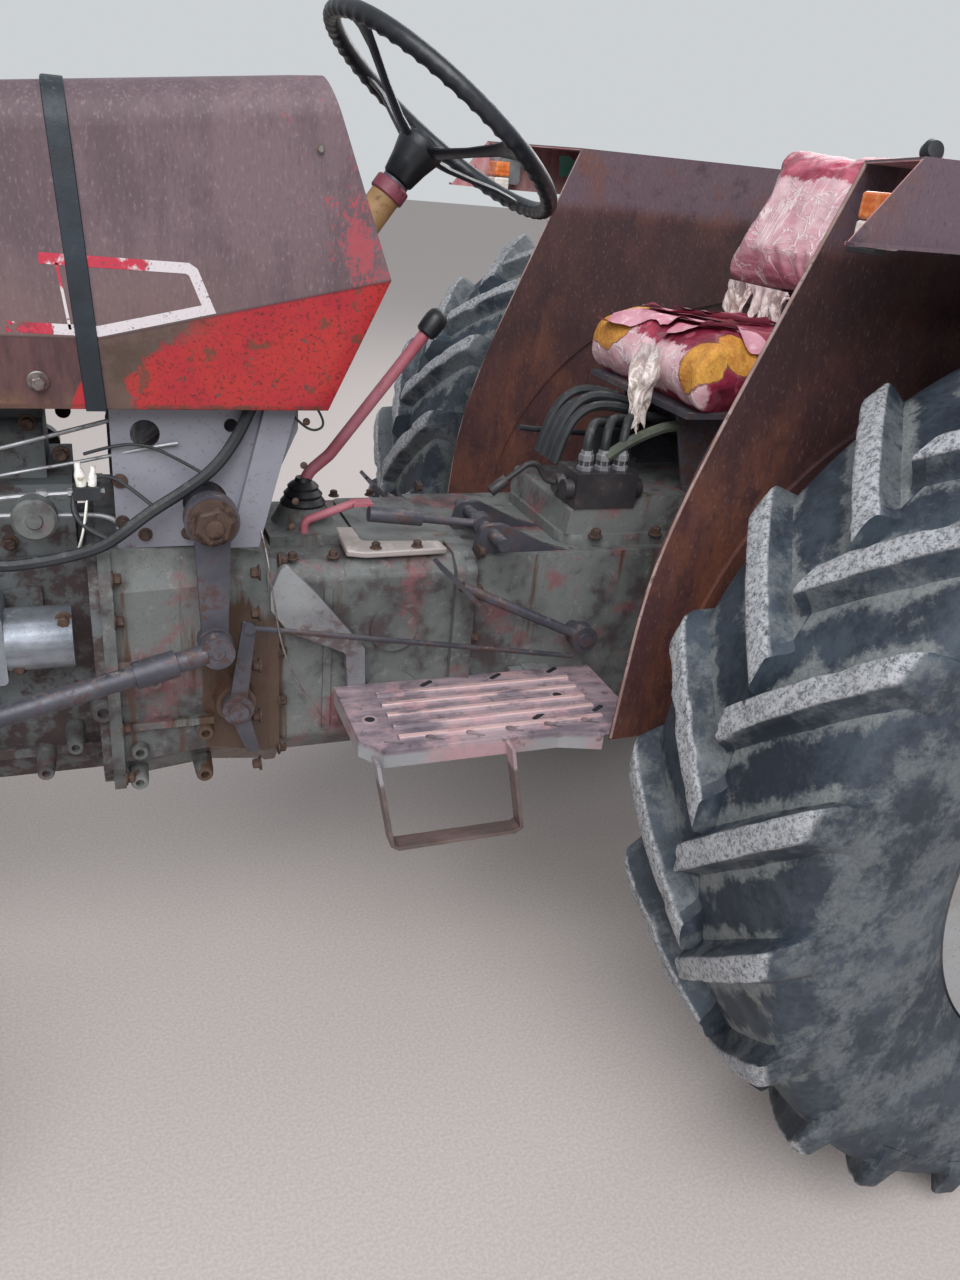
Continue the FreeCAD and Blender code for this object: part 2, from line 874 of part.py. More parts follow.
def fan():
    """Six bent blades on a hub."""
    ahead = size("FanAhead")
    height = size("FanHeight")
    hub = Part.makeCylinder(44, 26, Vector(ahead, 0, height), Vector(1, 0, 0))
    blades = []
    for number in range(6):
        blade = Part.makeBox(3, 72, size("FanRadius") - 30, Vector(ahead + 12, -36, height + 30))
        blade.rotate(Vector(ahead + 13, 0, height), Vector(0, 0, 1), 24)
        blade.rotate(Vector(ahead, 0, height), Vector(1, 0, 0), 60 * number)
        blades.append(blade)
    return formed(hub.fuse(blades))


def ancillaries():
    """Injection pump, filters, alternator and starter along the engine's sides."""
    left = "BlockHalf + Running"
    pump_body = extruded("XZ", [
        ("BellFront + 130", "BlockTop - 150", "8"),
        ("BellFront + 130", "BlockTop - 38", "14"),
        ("BellFront + 300", "BlockTop - 38", "14"),
        ("BellFront + 300", "BlockTop - 150", "8"),
    ], "BlockHalf + 10 + Running", "BlockHalf + 106")
    governor = rod("X", "BellFront + 40", "BlockHalf + 62", "BlockTop - 98", "46", "90")
    drive = rod("X", "BellFront + 300", "BlockHalf + 58", "BlockTop - 96", "38",
                "EngineFront - BellFront - 300")
    drive_case = box("EngineFront - 50", "EngineFront", left, "BlockHalf + 110", "BlockTop - 170",
                     "BlockTop - 40")
    elements = []
    for step in range(4):
        elements.append(rod("Z", f"BellFront + {152 + 40 * step}", "BlockHalf + 66",
                            "BlockTop - 44", "11", "40"))
    pump = joined(pump_body, governor, drive, drive_case, *elements)
    lift_pump = rod("Y", "BellFront + 205", left, "BlockBottom + 110", "34", "62")
    filters = []
    for step in (0, 112):
        bowl = rod("Z", f"EngineFront - {190 - step}", "HeadHalf + 66", "HeadTop - 116", "44", "122")
        filters.append(bowl)
    bridge = box("EngineFront - 250", "EngineFront - 20", "HeadHalf + Running", "HeadHalf + 96",
                 "HeadTop - 24", "HeadTop")
    oil_filter = rod("Z", "BellFront + 420", "-BlockHalf - 62", "BlockBottom + 10", "46", "150")
    oil_head = box("BellFront + 366", "BellFront + 474", "-BlockHalf - 100", "-BlockHalf - Running",
                   "BlockBottom + 140", "BlockTop - 155")
    starter = rod("X", "BellFront + 14 + Running", "-BlockHalf - 56", "BlockBottom + 110", "50", "210")
    solenoid = rod("X", "BellFront + 40", "-BlockHalf - 60", "BlockBottom + 186", "30", "130")
    alternator = rod("X", "EngineFront - 150", "-BlockHalf - 76", "BlockTop - 210", "62", "120")
    bracket = box("EngineFront - 130", "EngineFront - 60", "-BlockHalf - 40", "-BlockHalf - Running",
                  "BlockTop - 236", "BlockTop - 190")
    return together(pump, joined(bridge, *filters), lift_pump, joined(oil_filter, oil_head),
                    joined(starter, solenoid), joined(alternator, bracket))


def exhaust():
    """Manifold on the head's right side, riser through the bonnet and silencer."""
    side = "-ExhaustSide"
    log = box("BellFront + 90", "EngineFront - 60", "-ExhaustSide - 30", "-ExhaustSide + 22",
              "HeadTop - 74", "HeadTop - 22")
    ports = []
    for step in range(4):
        ports.append(box(f"BellFront + {112 + 118 * step}", f"BellFront + {160 + 118 * step}",
                         "-ExhaustSide", "-HeadHalf - Running", "HeadTop - 72", "HeadTop - 26"))
    riser = rod("Z", "ExhaustAhead", side, "HeadTop - 40", "ExhaustRadius", "ExhaustTop - HeadTop + 40")
    silencer = rod("Z", "ExhaustAhead", side, "HoodBackTop + 10", "MufflerRadius", "310")
    lower = taper("Z", "ExhaustAhead", side, "HoodBackTop - 20", "ExhaustRadius", "MufflerRadius", "30")
    upper = taper("Z", "ExhaustAhead", side, "HoodBackTop + 320", "MufflerRadius", "ExhaustRadius", "30")
    bore = rod("Z", "ExhaustAhead", side, "ExhaustTop - 120", "ExhaustRadius - 3", "140")
    return without(joined(log, *ports, riser, silencer, lower, upper), bore)


def radiator():
    """Core, two tanks, side members and the hoses to the engine."""
    back = "RadiatorAhead"
    front = "RadiatorAhead + RadiatorDepth"
    core = box(f"{back} + 14", f"{front} - 14", "-RadiatorHalf + 12", "RadiatorHalf - 12", "RailTop + 60",
               "RadiatorTop - 96")
    low = box(back, front, "-RadiatorHalf", "RadiatorHalf", "RailTop + Running", "RailTop + 60")
    top = extruded("YZ", [
        ("-RadiatorHalf", "RadiatorTop - 96"),
        ("RadiatorHalf", "RadiatorTop - 96"),
        ("RadiatorHalf", "RadiatorTop", "30"),
        ("-RadiatorHalf", "RadiatorTop", "30"),
    ], back, front)
    sides = [box(back, front, low_side, high_side, "RailTop + 60", "RadiatorTop - 96")
             for low_side, high_side in (("-RadiatorHalf", "-RadiatorHalf + 12"),
                                         ("RadiatorHalf - 12", "RadiatorHalf"))]
    neck = rod("Z", f"{back} + RadiatorDepth / 2", "0", "RadiatorTop - 4", "30", "26")
    outlet = rod("X", "EngineFront - 18", "-60", "RadiatorTop - 60", "24",
                 f"{back} - EngineFront + 20")
    elbow = rod("Z", "EngineFront + 6", "-60", "HeadTop + Running", "24",
                "RadiatorTop - 60 - HeadTop")
    return joined(core, low, top, *sides, neck, outlet, elbow)


def bell_housing():
    """Clutch housing, wide and round at the engine and narrower at the gearbox."""
    wires = []
    for ahead, half, low, high, cut in (
        (size("GearboxFront"), size("CaseHalf") + 16, size("CaseBottom") - 4, size("CaseTop") + 20, 40),
        (size("GearboxFront") + 90, size("BellHalf") - 16, size("BellBottom") + 14, size("BellTop"), 60),
        (size("BellFront"), size("BellHalf"), size("BellBottom"), size("BellTop"), 70),
    ):
        corners = [
            Vector(ahead, -half, low + cut),
            Vector(ahead, -half + cut, low),
            Vector(ahead, half - cut, low),
            Vector(ahead, half, low + cut),
            Vector(ahead, half, high - 60),
            Vector(ahead, half - 26, high),
            Vector(ahead, -half + 26, high),
            Vector(ahead, -half, high - 60),
        ]
        wires.append(Part.makePolygon(corners + corners[:1]))
    shell = formed(Part.makeLoft(wires, True, True))
    rim = extruded("YZ", [
        ("-BellHalf - FlangeRim", "BellBottom + 60", "30"),
        ("-BellHalf + 56", "BellBottom - FlangeRim", "20"),
        ("BellHalf - 56", "BellBottom - FlangeRim", "20"),
        ("BellHalf + FlangeRim", "BellBottom + 60", "30"),
        ("BellHalf + FlangeRim", "BellTop - 66", "40"),
        ("BellHalf - 22", "BellTop"),
        ("-BellHalf + 22", "BellTop"),
        ("-BellHalf - FlangeRim", "BellTop - 66", "40"),
    ], "BellFront - FlangeThick", "BellFront")
    ribs = []
    for height in ("BellBottom + 128", "BellBottom + 236"):
        ribs.append(box("GearboxFront + 90", "BellFront - FlangeThick", "-BellHalf - 4",
                        "BellHalf + 4", height, f"{height} + 12"))
    pedal_boss = rod("Y", "PedalAhead", "BellHalf - 60", "PedalHeight", "31", "74")
    other_boss = rod("Y", "PedalAhead", "-BellHalf - 14", "PedalHeight", "31", "74")
    bores = rod("Y", "PedalAhead", "-BellHalf - 60", "PedalHeight", "PedalShaft + Running",
                "2 * BellHalf + 120")
    return without(joined(shell, rim, pedal_boss, other_boss, *ribs), bores)


def case_rim(start, end):
    """Flange rim around the gearbox case, between two places along the tractor."""
    return extruded("YZ", [
        ("-CaseHalf - FlangeRim", "CaseBottom + 40", "24"),
        ("-CaseHalf + 34", "CaseBottom - FlangeRim", "24"),
        ("CaseHalf - 34", "CaseBottom - FlangeRim", "24"),
        ("CaseHalf + FlangeRim", "CaseBottom + 40", "24"),
        ("CaseHalf + FlangeRim", "CaseTop - 16", "16"),
        ("CaseHalf - 14", "CaseTop + 6", "10"),
        ("-CaseHalf + 14", "CaseTop + 6", "10"),
        ("-CaseHalf - FlangeRim", "CaseTop - 16", "16"),
    ], start, end)


def gearbox():
    """Gearbox case with its two flange rims, bosses and the turret for the gear lever."""
    case = extruded("YZ", [
        ("-CaseHalf", "CaseBottom + 46", "20"),
        ("-CaseHalf + 40", "CaseBottom", "20"),
        ("CaseHalf - 40", "CaseBottom", "20"),
        ("CaseHalf", "CaseBottom + 46", "20"),
        ("CaseHalf", "CaseTop - 26", "16"),
        ("CaseHalf - 20", "CaseTop", "10"),
        ("-CaseHalf + 20", "CaseTop", "10"),
        ("-CaseHalf", "CaseTop - 26", "16"),
    ], "GearboxBack", "GearboxFront")
    back_rim = case_rim("GearboxBack", "GearboxBack + FlangeThick")
    front_rim_plate = case_rim("GearboxFront - FlangeThick", "GearboxFront")
    middle_rib = box("GearboxBack + 225", "GearboxBack + 238", "-CaseHalf - 6", "CaseHalf + 6",
                     "CaseBottom + 60", "CaseTop - 40")
    turret = taper("Z", "LeverAhead", "0", "CaseTop", "62", "38", "LeverBase - CaseTop")
    turret_plate = box("LeverAhead - 70", "LeverAhead + 70", "-84", "84", "CaseTop", "CaseTop + 16")
    light_cover = extruded("XY", [
        ("GearboxBack + 24", "-104", "12"),
        ("LeverAhead - 74", "-104", "12"),
        ("LeverAhead - 74", "120", "12"),
        ("GearboxBack + 24", "134", "12"),
    ], "CaseTop", "CaseTop + 18")
    drain = rod("Z", "GearboxBack + 160", "0", "CaseBottom - 14", "20", "16")
    shaft_bosses = []
    for height, radius in (("CaseTop - 120", "40"), ("CaseBottom + 110", "52")):
        shaft_bosses.append(rod("Y", "GearboxBack + 120", "-CaseHalf - 8", height, radius,
                                "2 * CaseHalf + 16"))
    return joined(case, back_rim, front_rim_plate, middle_rib, turret, turret_plate, light_cover,
                  drain, *shaft_bosses)


def rear_axle_housing():
    """Centre housing, the two trumpets and the bearing bosses at their ends."""
    front_part = extruded("YZ", [
        ("-CaseHalf", "CaseBottom + 46", "20"),
        ("-CaseHalf + 40", "CaseBottom", "20"),
        ("CaseHalf - 40", "CaseBottom", "20"),
        ("CaseHalf", "CaseBottom + 46", "20"),
        ("CaseHalf", "CaseTop"),
        ("-CaseHalf", "CaseTop"),
    ], "HousingWide", "GearboxBack")
    rim = case_rim("GearboxBack - FlangeThick", "GearboxBack")
    centre = extruded("XZ", [
        ("HousingBack", "CaseBottom + 20", "30"),
        ("HousingBack + 90", "CaseBottom - 34", "50"),
        ("HousingWide - 110", "CaseBottom - 34", "50"),
        ("HousingWide", "CaseBottom + 16"),
        ("HousingWide", "CaseTop"),
        ("HousingBack", "CaseTop"),
    ], "-HousingHalf", "HousingHalf")
    pads = rod("Y", "0", "-HousingHalf - 10", "RearTyreRadius", "TrumpetInner + 26",
               "2 * HousingHalf + 20")
    trumpet = joined(
        taper("Y", "0", "HousingHalf", "RearTyreRadius", "TrumpetInner", "TrumpetOuter",
              "TrumpetEnd - HousingHalf - TrumpetCollar"),
        rod("Y", "0", "TrumpetEnd - TrumpetCollar", "RearTyreRadius", "TrumpetOuter + 14",
            "TrumpetCollar"),
    )
    bore = rod("Y", "0", "TrumpetEnd - AxleEntry - 4", "RearTyreRadius", "AxleShaft + Running",
               "AxleEntry + 10")
    pto_plate = rod("X", "HousingBack - 14", "0", "PtoHeight", "74", "20")
    pins = rod("Y", "LinkAhead", "-LinkSide - 44", "LinkHeight", "LinkPinRadius",
               "2 * LinkSide + 88")
    pin_bosses = rod("Y", "LinkAhead", "-LinkSide + LinkBall / 2 + 2", "LinkHeight", "30",
                     "2 * LinkSide - LinkBall - 4")
    collar = rod("Y", "LinkAhead", "LinkSide + LinkBall / 2 + 2", "LinkHeight", "20", "14")
    body = joined(front_part, rim, centre, pads, trumpet, mirrored(trumpet), pto_plate, pins,
                  pin_bosses, collar, mirrored(collar))
    return without(body, bore, mirrored(bore))


def lift_cover():
    """Cover of the hydraulic lift with the bearings of its rocker shaft."""
    flange = extruded("XY", [
        ("LiftCoverBack", "-LiftCoverHalf - 16", "14"),
        ("LiftCoverFront", "-LiftCoverHalf + 10", "40"),
        ("LiftCoverFront", "LiftCoverHalf - 10", "40"),
        ("LiftCoverBack", "LiftCoverHalf + 16", "14"),
    ], "CaseTop", "CaseTop + 20")
    hump = extruded("XZ", [
        ("LiftCoverBack", "CaseTop + 20"),
        ("LiftCoverFront - 8", "CaseTop + 20"),
        ("LiftCoverFront - 14", "ValveSeat", "8"),
        ("ValveAhead - 12", "ValveSeat"),
        ("ValveAhead - 24", "LiftCoverTop"),
        ("RockerAhead + 90", "LiftCoverTop", "20"),
        ("RockerAhead + 30", "RockerHeight + 52", "40"),
        ("RockerAhead - 50", "RockerHeight + 50", "36"),
        ("LiftCoverBack", "CaseTop + 60"),
    ], "-LiftCoverHalf + 16", "LiftCoverHalf - 16")
    tubes = rod("Y", "RockerAhead", "-LiftCoverHalf - 12", "RockerHeight", "46",
                "2 * LiftCoverHalf + 24")
    bore = rod("Y", "RockerAhead", "-LiftCoverHalf - 20", "RockerHeight",
               "RockerRadius + Running", "2 * LiftCoverHalf + 40")
    return without(joined(flange, hump, tubes), bore)


# Bonnet, nose and what stands under them


def hood_top(ahead):
    """Height of the bonnet's shoulder line at a place along the tractor."""
    return size("HoodBackTop") - size("HoodFall") * (ahead - size("HoodBack"))


def crease(ahead):
    """Height of the fold in the side panel, which climbs towards the driver."""
    climb = max(0, size("CreaseAhead") - ahead)
    rise = (size("HoodKneeHeight") - size("CreaseHeight")) / (size("CreaseAhead") - size("HoodKneeAhead"))
    return size("CreaseHeight") + rise * climb


def hood_section(ahead, inset, bottom):
    """Cross section of the bonnet, with rounded shoulders and a low crown."""
    half = size("HoodHalf") - inset
    tuck = half - size("HoodTuck")
    top = hood_top(ahead) - inset
    turn = size("HoodRound") - inset
    fold = crease(ahead)
    knee = turn * (1 - math.sqrt(0.5))
    crown = top + size("HoodCrown")
    edges = [
        Part.LineSegment(Vector(ahead, tuck, bottom), Vector(ahead, half, fold)),
        Part.LineSegment(Vector(ahead, half, fold), Vector(ahead, half, top - turn)),
        Part.Arc(
            Vector(ahead, half, top - turn),
            Vector(ahead, half - knee, top - knee),
            Vector(ahead, half - turn, top),
        ),
        Part.LineSegment(Vector(ahead, half - turn, top), Vector(ahead, 0, crown)),
        Part.LineSegment(Vector(ahead, 0, crown), Vector(ahead, turn - half, top)),
        Part.Arc(
            Vector(ahead, turn - half, top),
            Vector(ahead, knee - half, top - knee),
            Vector(ahead, -half, top - turn),
        ),
        Part.LineSegment(Vector(ahead, -half, top - turn), Vector(ahead, -half, fold)),
        Part.LineSegment(Vector(ahead, -half, fold), Vector(ahead, -tuck, bottom)),
        Part.LineSegment(Vector(ahead, -tuck, bottom), Vector(ahead, tuck, bottom)),
    ]
    return Part.Wire([edge.toShape() for edge in edges])


def prism(corners, axis, start, end):
    """A straight prism of corner pairs, along one axis, between two places."""
    if axis == "Y":
        points = [Vector(first, start, second) for first, second in corners]
        run = Vector(0, end - start, 0)
    elif axis == "X":
        points = [Vector(start, first, second) for first, second in corners]
        run = Vector(end - start, 0, 0)
    else:
        points = [Vector(first, second, start) for first, second in corners]
        run = Vector(0, 0, end - start)
    return Part.Face(Part.makePolygon(points + points[:1])).extrude(run)


def hood():
    """Folded sheet shell, open below, with a slanted rear edge and the riser's hole."""
    wall = size("HoodSheet")
    low = size("HoodBottom")
    stations = (size("HoodKneeAhead") - 30, size("CreaseAhead"), size("HoodFront"))
    outer = Part.makeLoft([hood_section(ahead, 0, low) for ahead in stations], True, True)
    long_stations = (stations[0] - 10, stations[1], stations[2] + 10)
    inner = Part.makeLoft([hood_section(ahead, wall, low) for ahead in long_stations], True, True)
    shell = outer.cut(inner)
    knee = (size("HoodKneeAhead"), size("HoodKneeHeight"))
    top = (size("HoodBack"), size("HoodBackTop"))
    foot = (size("HoodBack") - 10, low)
    lean = (top[0] - knee[0]) / (top[1] - knee[1])
    beyond = 120
    trim = prism(
        [
            (knee[0] - 200, low - beyond),
            (foot[0] + beyond * (foot[0] - knee[0]) / (knee[1] - foot[1]), low - beyond),
            knee,
            (top[0] + lean * beyond, top[1] + beyond),
            (knee[0] - 200, top[1] + beyond),
        ],
        "Y",
        -size("HoodHalf") - 10,
        size("HoodHalf") + 10,
    )
    hole = Part.makeCylinder(
        size("ExhaustRadius") + 8,
        400,
        Vector(size("ExhaustAhead"), -size("ExhaustSide"), hood_top(size("ExhaustAhead")) - 60),
    )
    return formed(shell.cut([trim, hole]))


def nose_section(ahead, inset):
    """Cross section of the nose, whose sides run down to the front support."""
    half = size("HoodHalf") - inset
    tuck = half - size("HoodTuck")
    top = hood_top(ahead) - inset
    turn = size("HoodRound") - inset
    crown = top + size("HoodCrown")
    low = size("NoseBottom") + inset
    right = [(tuck, low), (tuck, size("HoodBottom")), (half, size("CreaseHeight")), (half, top - turn),
             (half - 0.3 * turn, top - 0.3 * turn), (half - turn, top)]
    left = [(-along, height) for along, height in right]
    corners = [Vector(ahead, along, height) for along, height in right + [(0, crown)] + left[::-1]]
    return Part.makePolygon(corners + corners[:1])


def nose():
    """Nose shell with a wide opening for the grille."""
    wall = size("HoodSheet")
    back = size("HoodFront") + size("PinGap")
    front = size("NoseFront")
    outer = Part.makeLoft([nose_section(back, 0), nose_section(front, 0)], True, True)
    inner = Part.makeLoft([nose_section(back - 5, wall), nose_section(front - wall, wall)], True, True)
    half = size("GrilleHalf")
    opening = Part.makeBox(
        40,
        2 * half,
        size("GrilleTop") - size("GrilleBottom"),
        Vector(front - 20, -half, size("GrilleBottom")),
    )
    return formed(outer.cut([inner, opening]))


def grille():
    """Frame with level bars and two round seats for the headlamps."""
    gap = size("Running")
    half = size("GrilleHalf") - gap
    low = size("GrilleBottom") + gap
    high = size("GrilleTop") - gap
    depth = size("GrilleDepth")
    edge = size("GrilleFrame")
    back = size("NoseFront") - depth
    frame = Part.makeBox(depth, 2 * half, high - low, Vector(back, -half, low))
    window = Part.makeBox(depth + 10, 2 * (half - edge), high - low - 2 * edge,
                          Vector(back - 5, edge - half, low + edge))
    bars = []
    pitch = (high - low - 2 * edge) / size("GrilleBars")
    for number in range(1, int(size("GrilleBars"))):
        place = Vector(back + 2, 10 - half, low + edge - 4 + pitch * number)
        bars.append(Part.makeBox(10, 2 * half - 20, 7, place))
    rings = []
    seats = []
    for side in (1, -1):
        centre = Vector(back - 2, side * size("HeadlampSide"), size("HeadlampHeight"))
        radius = size("HeadlampRadius")
        rings.append(Part.makeCylinder(radius + 8, depth + 2, centre, Vector(1, 0, 0)))
        behind = centre - Vector(20, 0, 0)
        seats.append(Part.makeCylinder(radius + gap, 60, behind, Vector(1, 0, 0)))
    return formed(frame.cut(window).fuse(bars + rings).cut(seats))


def lamps():
    """Headlamps in the grille and the two small lamps on the fenders."""
    units = []
    for side in ("HeadlampSide", "-HeadlampSide"):
        bowl = taper("X", "NoseFront - 78", side, "HeadlampHeight", "HeadlampRadius * 0.5",
                     "HeadlampRadius", "58")
        lens = rod("X", "NoseFront - 20", side, "HeadlampHeight", "HeadlampRadius", "22")
        units.append(joined(bowl, lens))
    near = extruded("XZ", [
        ("FenderLampAhead", "FenderTop - 82", "8"),
        ("FenderLampAhead + 62", "FenderTop - 82", "8"),
        ("FenderLampAhead + 62", "FenderTop - 26", "8"),
        ("FenderLampAhead", "FenderTop - 26", "8"),
    ], "FenderOuter - FenderSheet - Running - 34", "FenderOuter - FenderSheet - Running")
    return together(*units, near, mirrored(near))


def bulkhead():
    """Side plates on the clutch housing, a cross rail for the bonnet and the dash panel."""
    plate = extruded("XZ", [
        ("BulkheadBack + 78", "BellTop"),
        ("BulkheadFront", "BellTop"),
        ("BulkheadFront", "HoodBottom + 20", "24"),
        ("BulkheadBack", "HoodBottom + 20", "10"),
        ("BulkheadBack", "HoodBottom - 40", "10"),
    ], "BulkheadHalf - PlateThick", "BulkheadHalf")
    foot = box("BulkheadFront - 130", "BulkheadFront", "BulkheadHalf - 40", "BulkheadHalf", "BellTop",
               "BellTop + PlateThick")
    pillar = extruded("XZ", [
        ("BulkheadBack + 60", "BellTop"),
        ("BulkheadBack + 104", "BellTop"),
        ("BulkheadBack + 44", "HoodBottom + 20"),
        ("BulkheadBack - 2", "HoodBottom + 20"),
    ], "BulkheadHalf", "BulkheadHalf + 16")
    holes = [
        rod("Y", "SteerShaftAhead", "0", "SteerShaftHeight", "SteerShaftRadius + 10", "300"),
        rod("Y", "BulkheadFront - 46", "0", "HoodBottom - 46", "20", "300"),
        rod("Y", "BulkheadBack + 96", "0", "HoodBottom - 34", "10", "300"),
    ]
    side = without(joined(plate, foot, pillar), *holes)
    rail_half = "HoodHalf - HoodTuck - HoodSheet - Running"
    rails = [
        box("BulkheadBack + 20", "BulkheadBack + 52", f"-({rail_half})", rail_half, "HoodBottom + 2",
            "HoodBottom + 20"),
        box("BulkheadFront - 34", "BulkheadFront - 4", f"-({rail_half})", rail_half, "HoodBottom + 2",
            "HoodBottom + 20"),
    ]
    dash = extruded("XZ", [
        ("HoodBack + 6", "HoodBottom + 20"),
        ("HoodKneeAhead + 18", "HoodKneeHeight"),
        ("HoodBack + 10", "HoodBackTop - 26"),
        ("HoodBack + 14", "HoodBackTop - 26"),
        ("HoodKneeAhead + 23", "HoodKneeHeight"),
        ("HoodBack + 30", "HoodBottom + 20"),
        ("BulkheadBack + 24", "HoodBottom + 16"),
        ("BulkheadBack + 24", "HoodBottom + 8"),
        ("HoodBack + 6", "HoodBottom + 8"),
    ], f"-({rail_half})", rail_half)
    panels = joined(side, mirrored(side), *rails, dash)
    return without(panels, formed(column_rod(size("ColumnRadius") + 12, -320, 60)))


def column_rod(radius, start, end):
    """A cylinder along the steering column. Places are measured up it from the dash."""
    turn = math.radians(size("ColumnTilt"))
    up = Vector(-math.sin(turn), 0, math.cos(turn))
    centre = Vector(size("WheelAhead"), 0, size("WheelHeight")) - up * size("WheelRise")
    return Part.makeCylinder(radius, end - start, centre + up * start, up)


def steering_gear():
    """Steering box, its cross shaft, the column tube and the shaft's end."""
    case = extruded("XZ", [
        ("SteerShaftAhead - 70", "BellTop", "10"),
        ("SteerShaftAhead + 90", "BellTop", "10"),
        ("SteerShaftAhead + 90", "SteerShaftHeight + 50", "20"),
        ("SteerShaftAhead + 10", "SteerShaftHeight + 110", "20"),
        ("SteerShaftAhead - 90", "SteerShaftHeight + 150", "16"),
        ("SteerShaftAhead - 120", "SteerShaftHeight + 110", "16"),
    ], "-84", "84")
    shaft = rod("Y", "SteerShaftAhead", "-DropArmSide - DropArmThick / 2 - 3", "SteerShaftHeight",
                "SteerShaftRadius", "2 * DropArmSide + DropArmThick + 6")
    bosses = rod("Y", "SteerShaftAhead", "-BulkheadHalf + PlateThick + 8", "SteerShaftHeight",
                 "SteerShaftRadius + 16", "2 * BulkheadHalf - 2 * PlateThick - 16")
    reach = size("WheelRise") - size("WheelDish") - size("HubLength") / 2
    column = column_rod(size("ColumnRadius"), -size("ColumnBelow"), reach - size("PinGap"))
    tip = column_rod(size("ColumnTip"), 0, reach + size("HubLength") - 12)
    return joined(case, shaft, bosses, formed(column), formed(tip))


def steering_wheel():
    """Ring, hub and spokes, made flat and then tilted onto the column."""
    ring = Part.makeTorus(size("WheelRingRadius"), size("WheelRingTube"))
    low = -size("WheelDish") - size("HubLength") / 2
    hub = Part.makeCylinder(34, size("HubLength"), Vector(0, 0, low))
    cap = Part.makeCone(34, 22, 12, Vector(0, 0, low + size("HubLength")))
    spokes = []
    for number in range(int(size("SpokeCount"))):
        turn = math.radians(size("SpokeTurn") + 360 * number / size("SpokeCount"))
        out = Vector(math.cos(turn), math.sin(turn), 0)
        start = out * 26 + Vector(0, 0, -size("WheelDish"))
        end = out * size("WheelRingRadius")
        spokes.append(Part.makeCylinder(8, (end - start).Length, start, end - start))
    bore = Part.makeCylinder(size("ColumnTip") + size("Running"), size("HubLength") - 10,
                             Vector(0, 0, low))
    wheel = ring.fuse([hub, cap] + spokes).cut(bore)
    wheel.rotate(Vector(), Vector(0, 1, 0), -size("ColumnTilt"))
    wheel.translate(Vector(size("WheelAhead"), 0, size("WheelHeight")))
    return formed(wheel)


def drop_arm():
    """Left drop arm on the steering box's shaft, with the pin for its link."""
    low = "SteerShaftHeight - DropArmLength"
    inner = "DropArmSide - DropArmThick / 2"
    outer = "DropArmSide + DropArmThick / 2"
    blade = extruded("XZ", [
        ("SteerShaftAhead - 26", "SteerShaftHeight"),
        ("SteerShaftAhead - 18", low),
        ("SteerShaftAhead + 18", low),
        ("SteerShaftAhead + 26", "SteerShaftHeight"),
    ], f"{inner} + 4", f"{outer} - 4")
    hub = rod("Y", "SteerShaftAhead", inner, "SteerShaftHeight", "38", "DropArmThick")
    eye = rod("Y", "SteerShaftAhead", inner, low, "25", "DropArmThick")
    pin = rod("Y", "SteerShaftAhead", outer, low, "DragPinRadius", "DragLinkOffset + 12")
    bore = rod("Y", "SteerShaftAhead", f"{inner} - 5", "SteerShaftHeight", "SteerShaftRadius + Running",
               "DropArmThick + 10")
    return without(joined(blade, hub, eye, pin), bore)


def drag_link():
    """Left drag link, hung on the drop arm's pin and open at the knuckle's arm."""
    side = size("DropArmSide") + size("DropArmThick") / 2 + size("DragLinkOffset")
    start = Vector(size("SteerShaftAhead"), side, size("SteerShaftHeight") - size("DropArmLength"))
    arm_top = size("AxleHeight") + size("BossHeight") / 2 + size("PinGap") + size("SteeringArmThick")
    cup_low = arm_top + size("PinGap")
    deep = size("DragCup")
    end = Vector(size("WheelBase"), size("KingpinSide") - size("SteeringArm"), cup_low + deep / 2)
    run = (end - start).normalize()
    radius = size("DragLinkRadius")
    bar = Part.makeCylinder(radius, (end - start).Length - 34, start + run * 17, run)
    necks = [Part.makeCylinder(radius + 5, 60, place, run) for place in (start + run * 60, end - run * 120)]
    socket = Part.makeCylinder(24, 26, start - Vector(0, 13, 0), Vector(0, 1, 0))
    cup = Part.makeCylinder(24, deep, end - Vector(0, 0, deep / 2), Vector(0, 0, 1))
    bore = Part.makeCylinder(size("DragPinRadius") + size("Running"), 60, start - Vector(0, 30, 0),
                             Vector(0, 1, 0))
    return formed(bar.fuse(necks + [socket, cup]).cut(bore))


# Driver's controls


def gear_levers():
    """Bent main lever with its boot and knob, and the short range lever."""
    base = size("LeverBase") + size("Running")
    case = size("CaseTop")
    ahead = size("LeverAhead")
    boot = Part.makeCone(34, 16, 34, Vector(ahead, 0, base))
    bend = Vector(ahead - 44, 0, base + 84)
    end = Vector(ahead - 206, 0, base + 296)
    bar = tube_along([(ahead, 0, base + 10), (ahead - 4, 0, base + 50), bend, end], 10, 60)
    run = (end - bend).normalize()
    knob = Part.makeCylinder(16, 30, end - run * 4, run)
    short = tube_along([
        (ahead + 10, 66, case + 16 + size("Running")),
        (ahead + 10, 66, case + 36),
        (ahead - 76, 62, case + 64),
    ], 7, 24)
    pad = Part.makeBox(34, 30, 5, Vector(ahead - 104, 47, case + 61))
    return together(formed(boot.fuse([bar, knob])), formed(short.fuse(pad)))


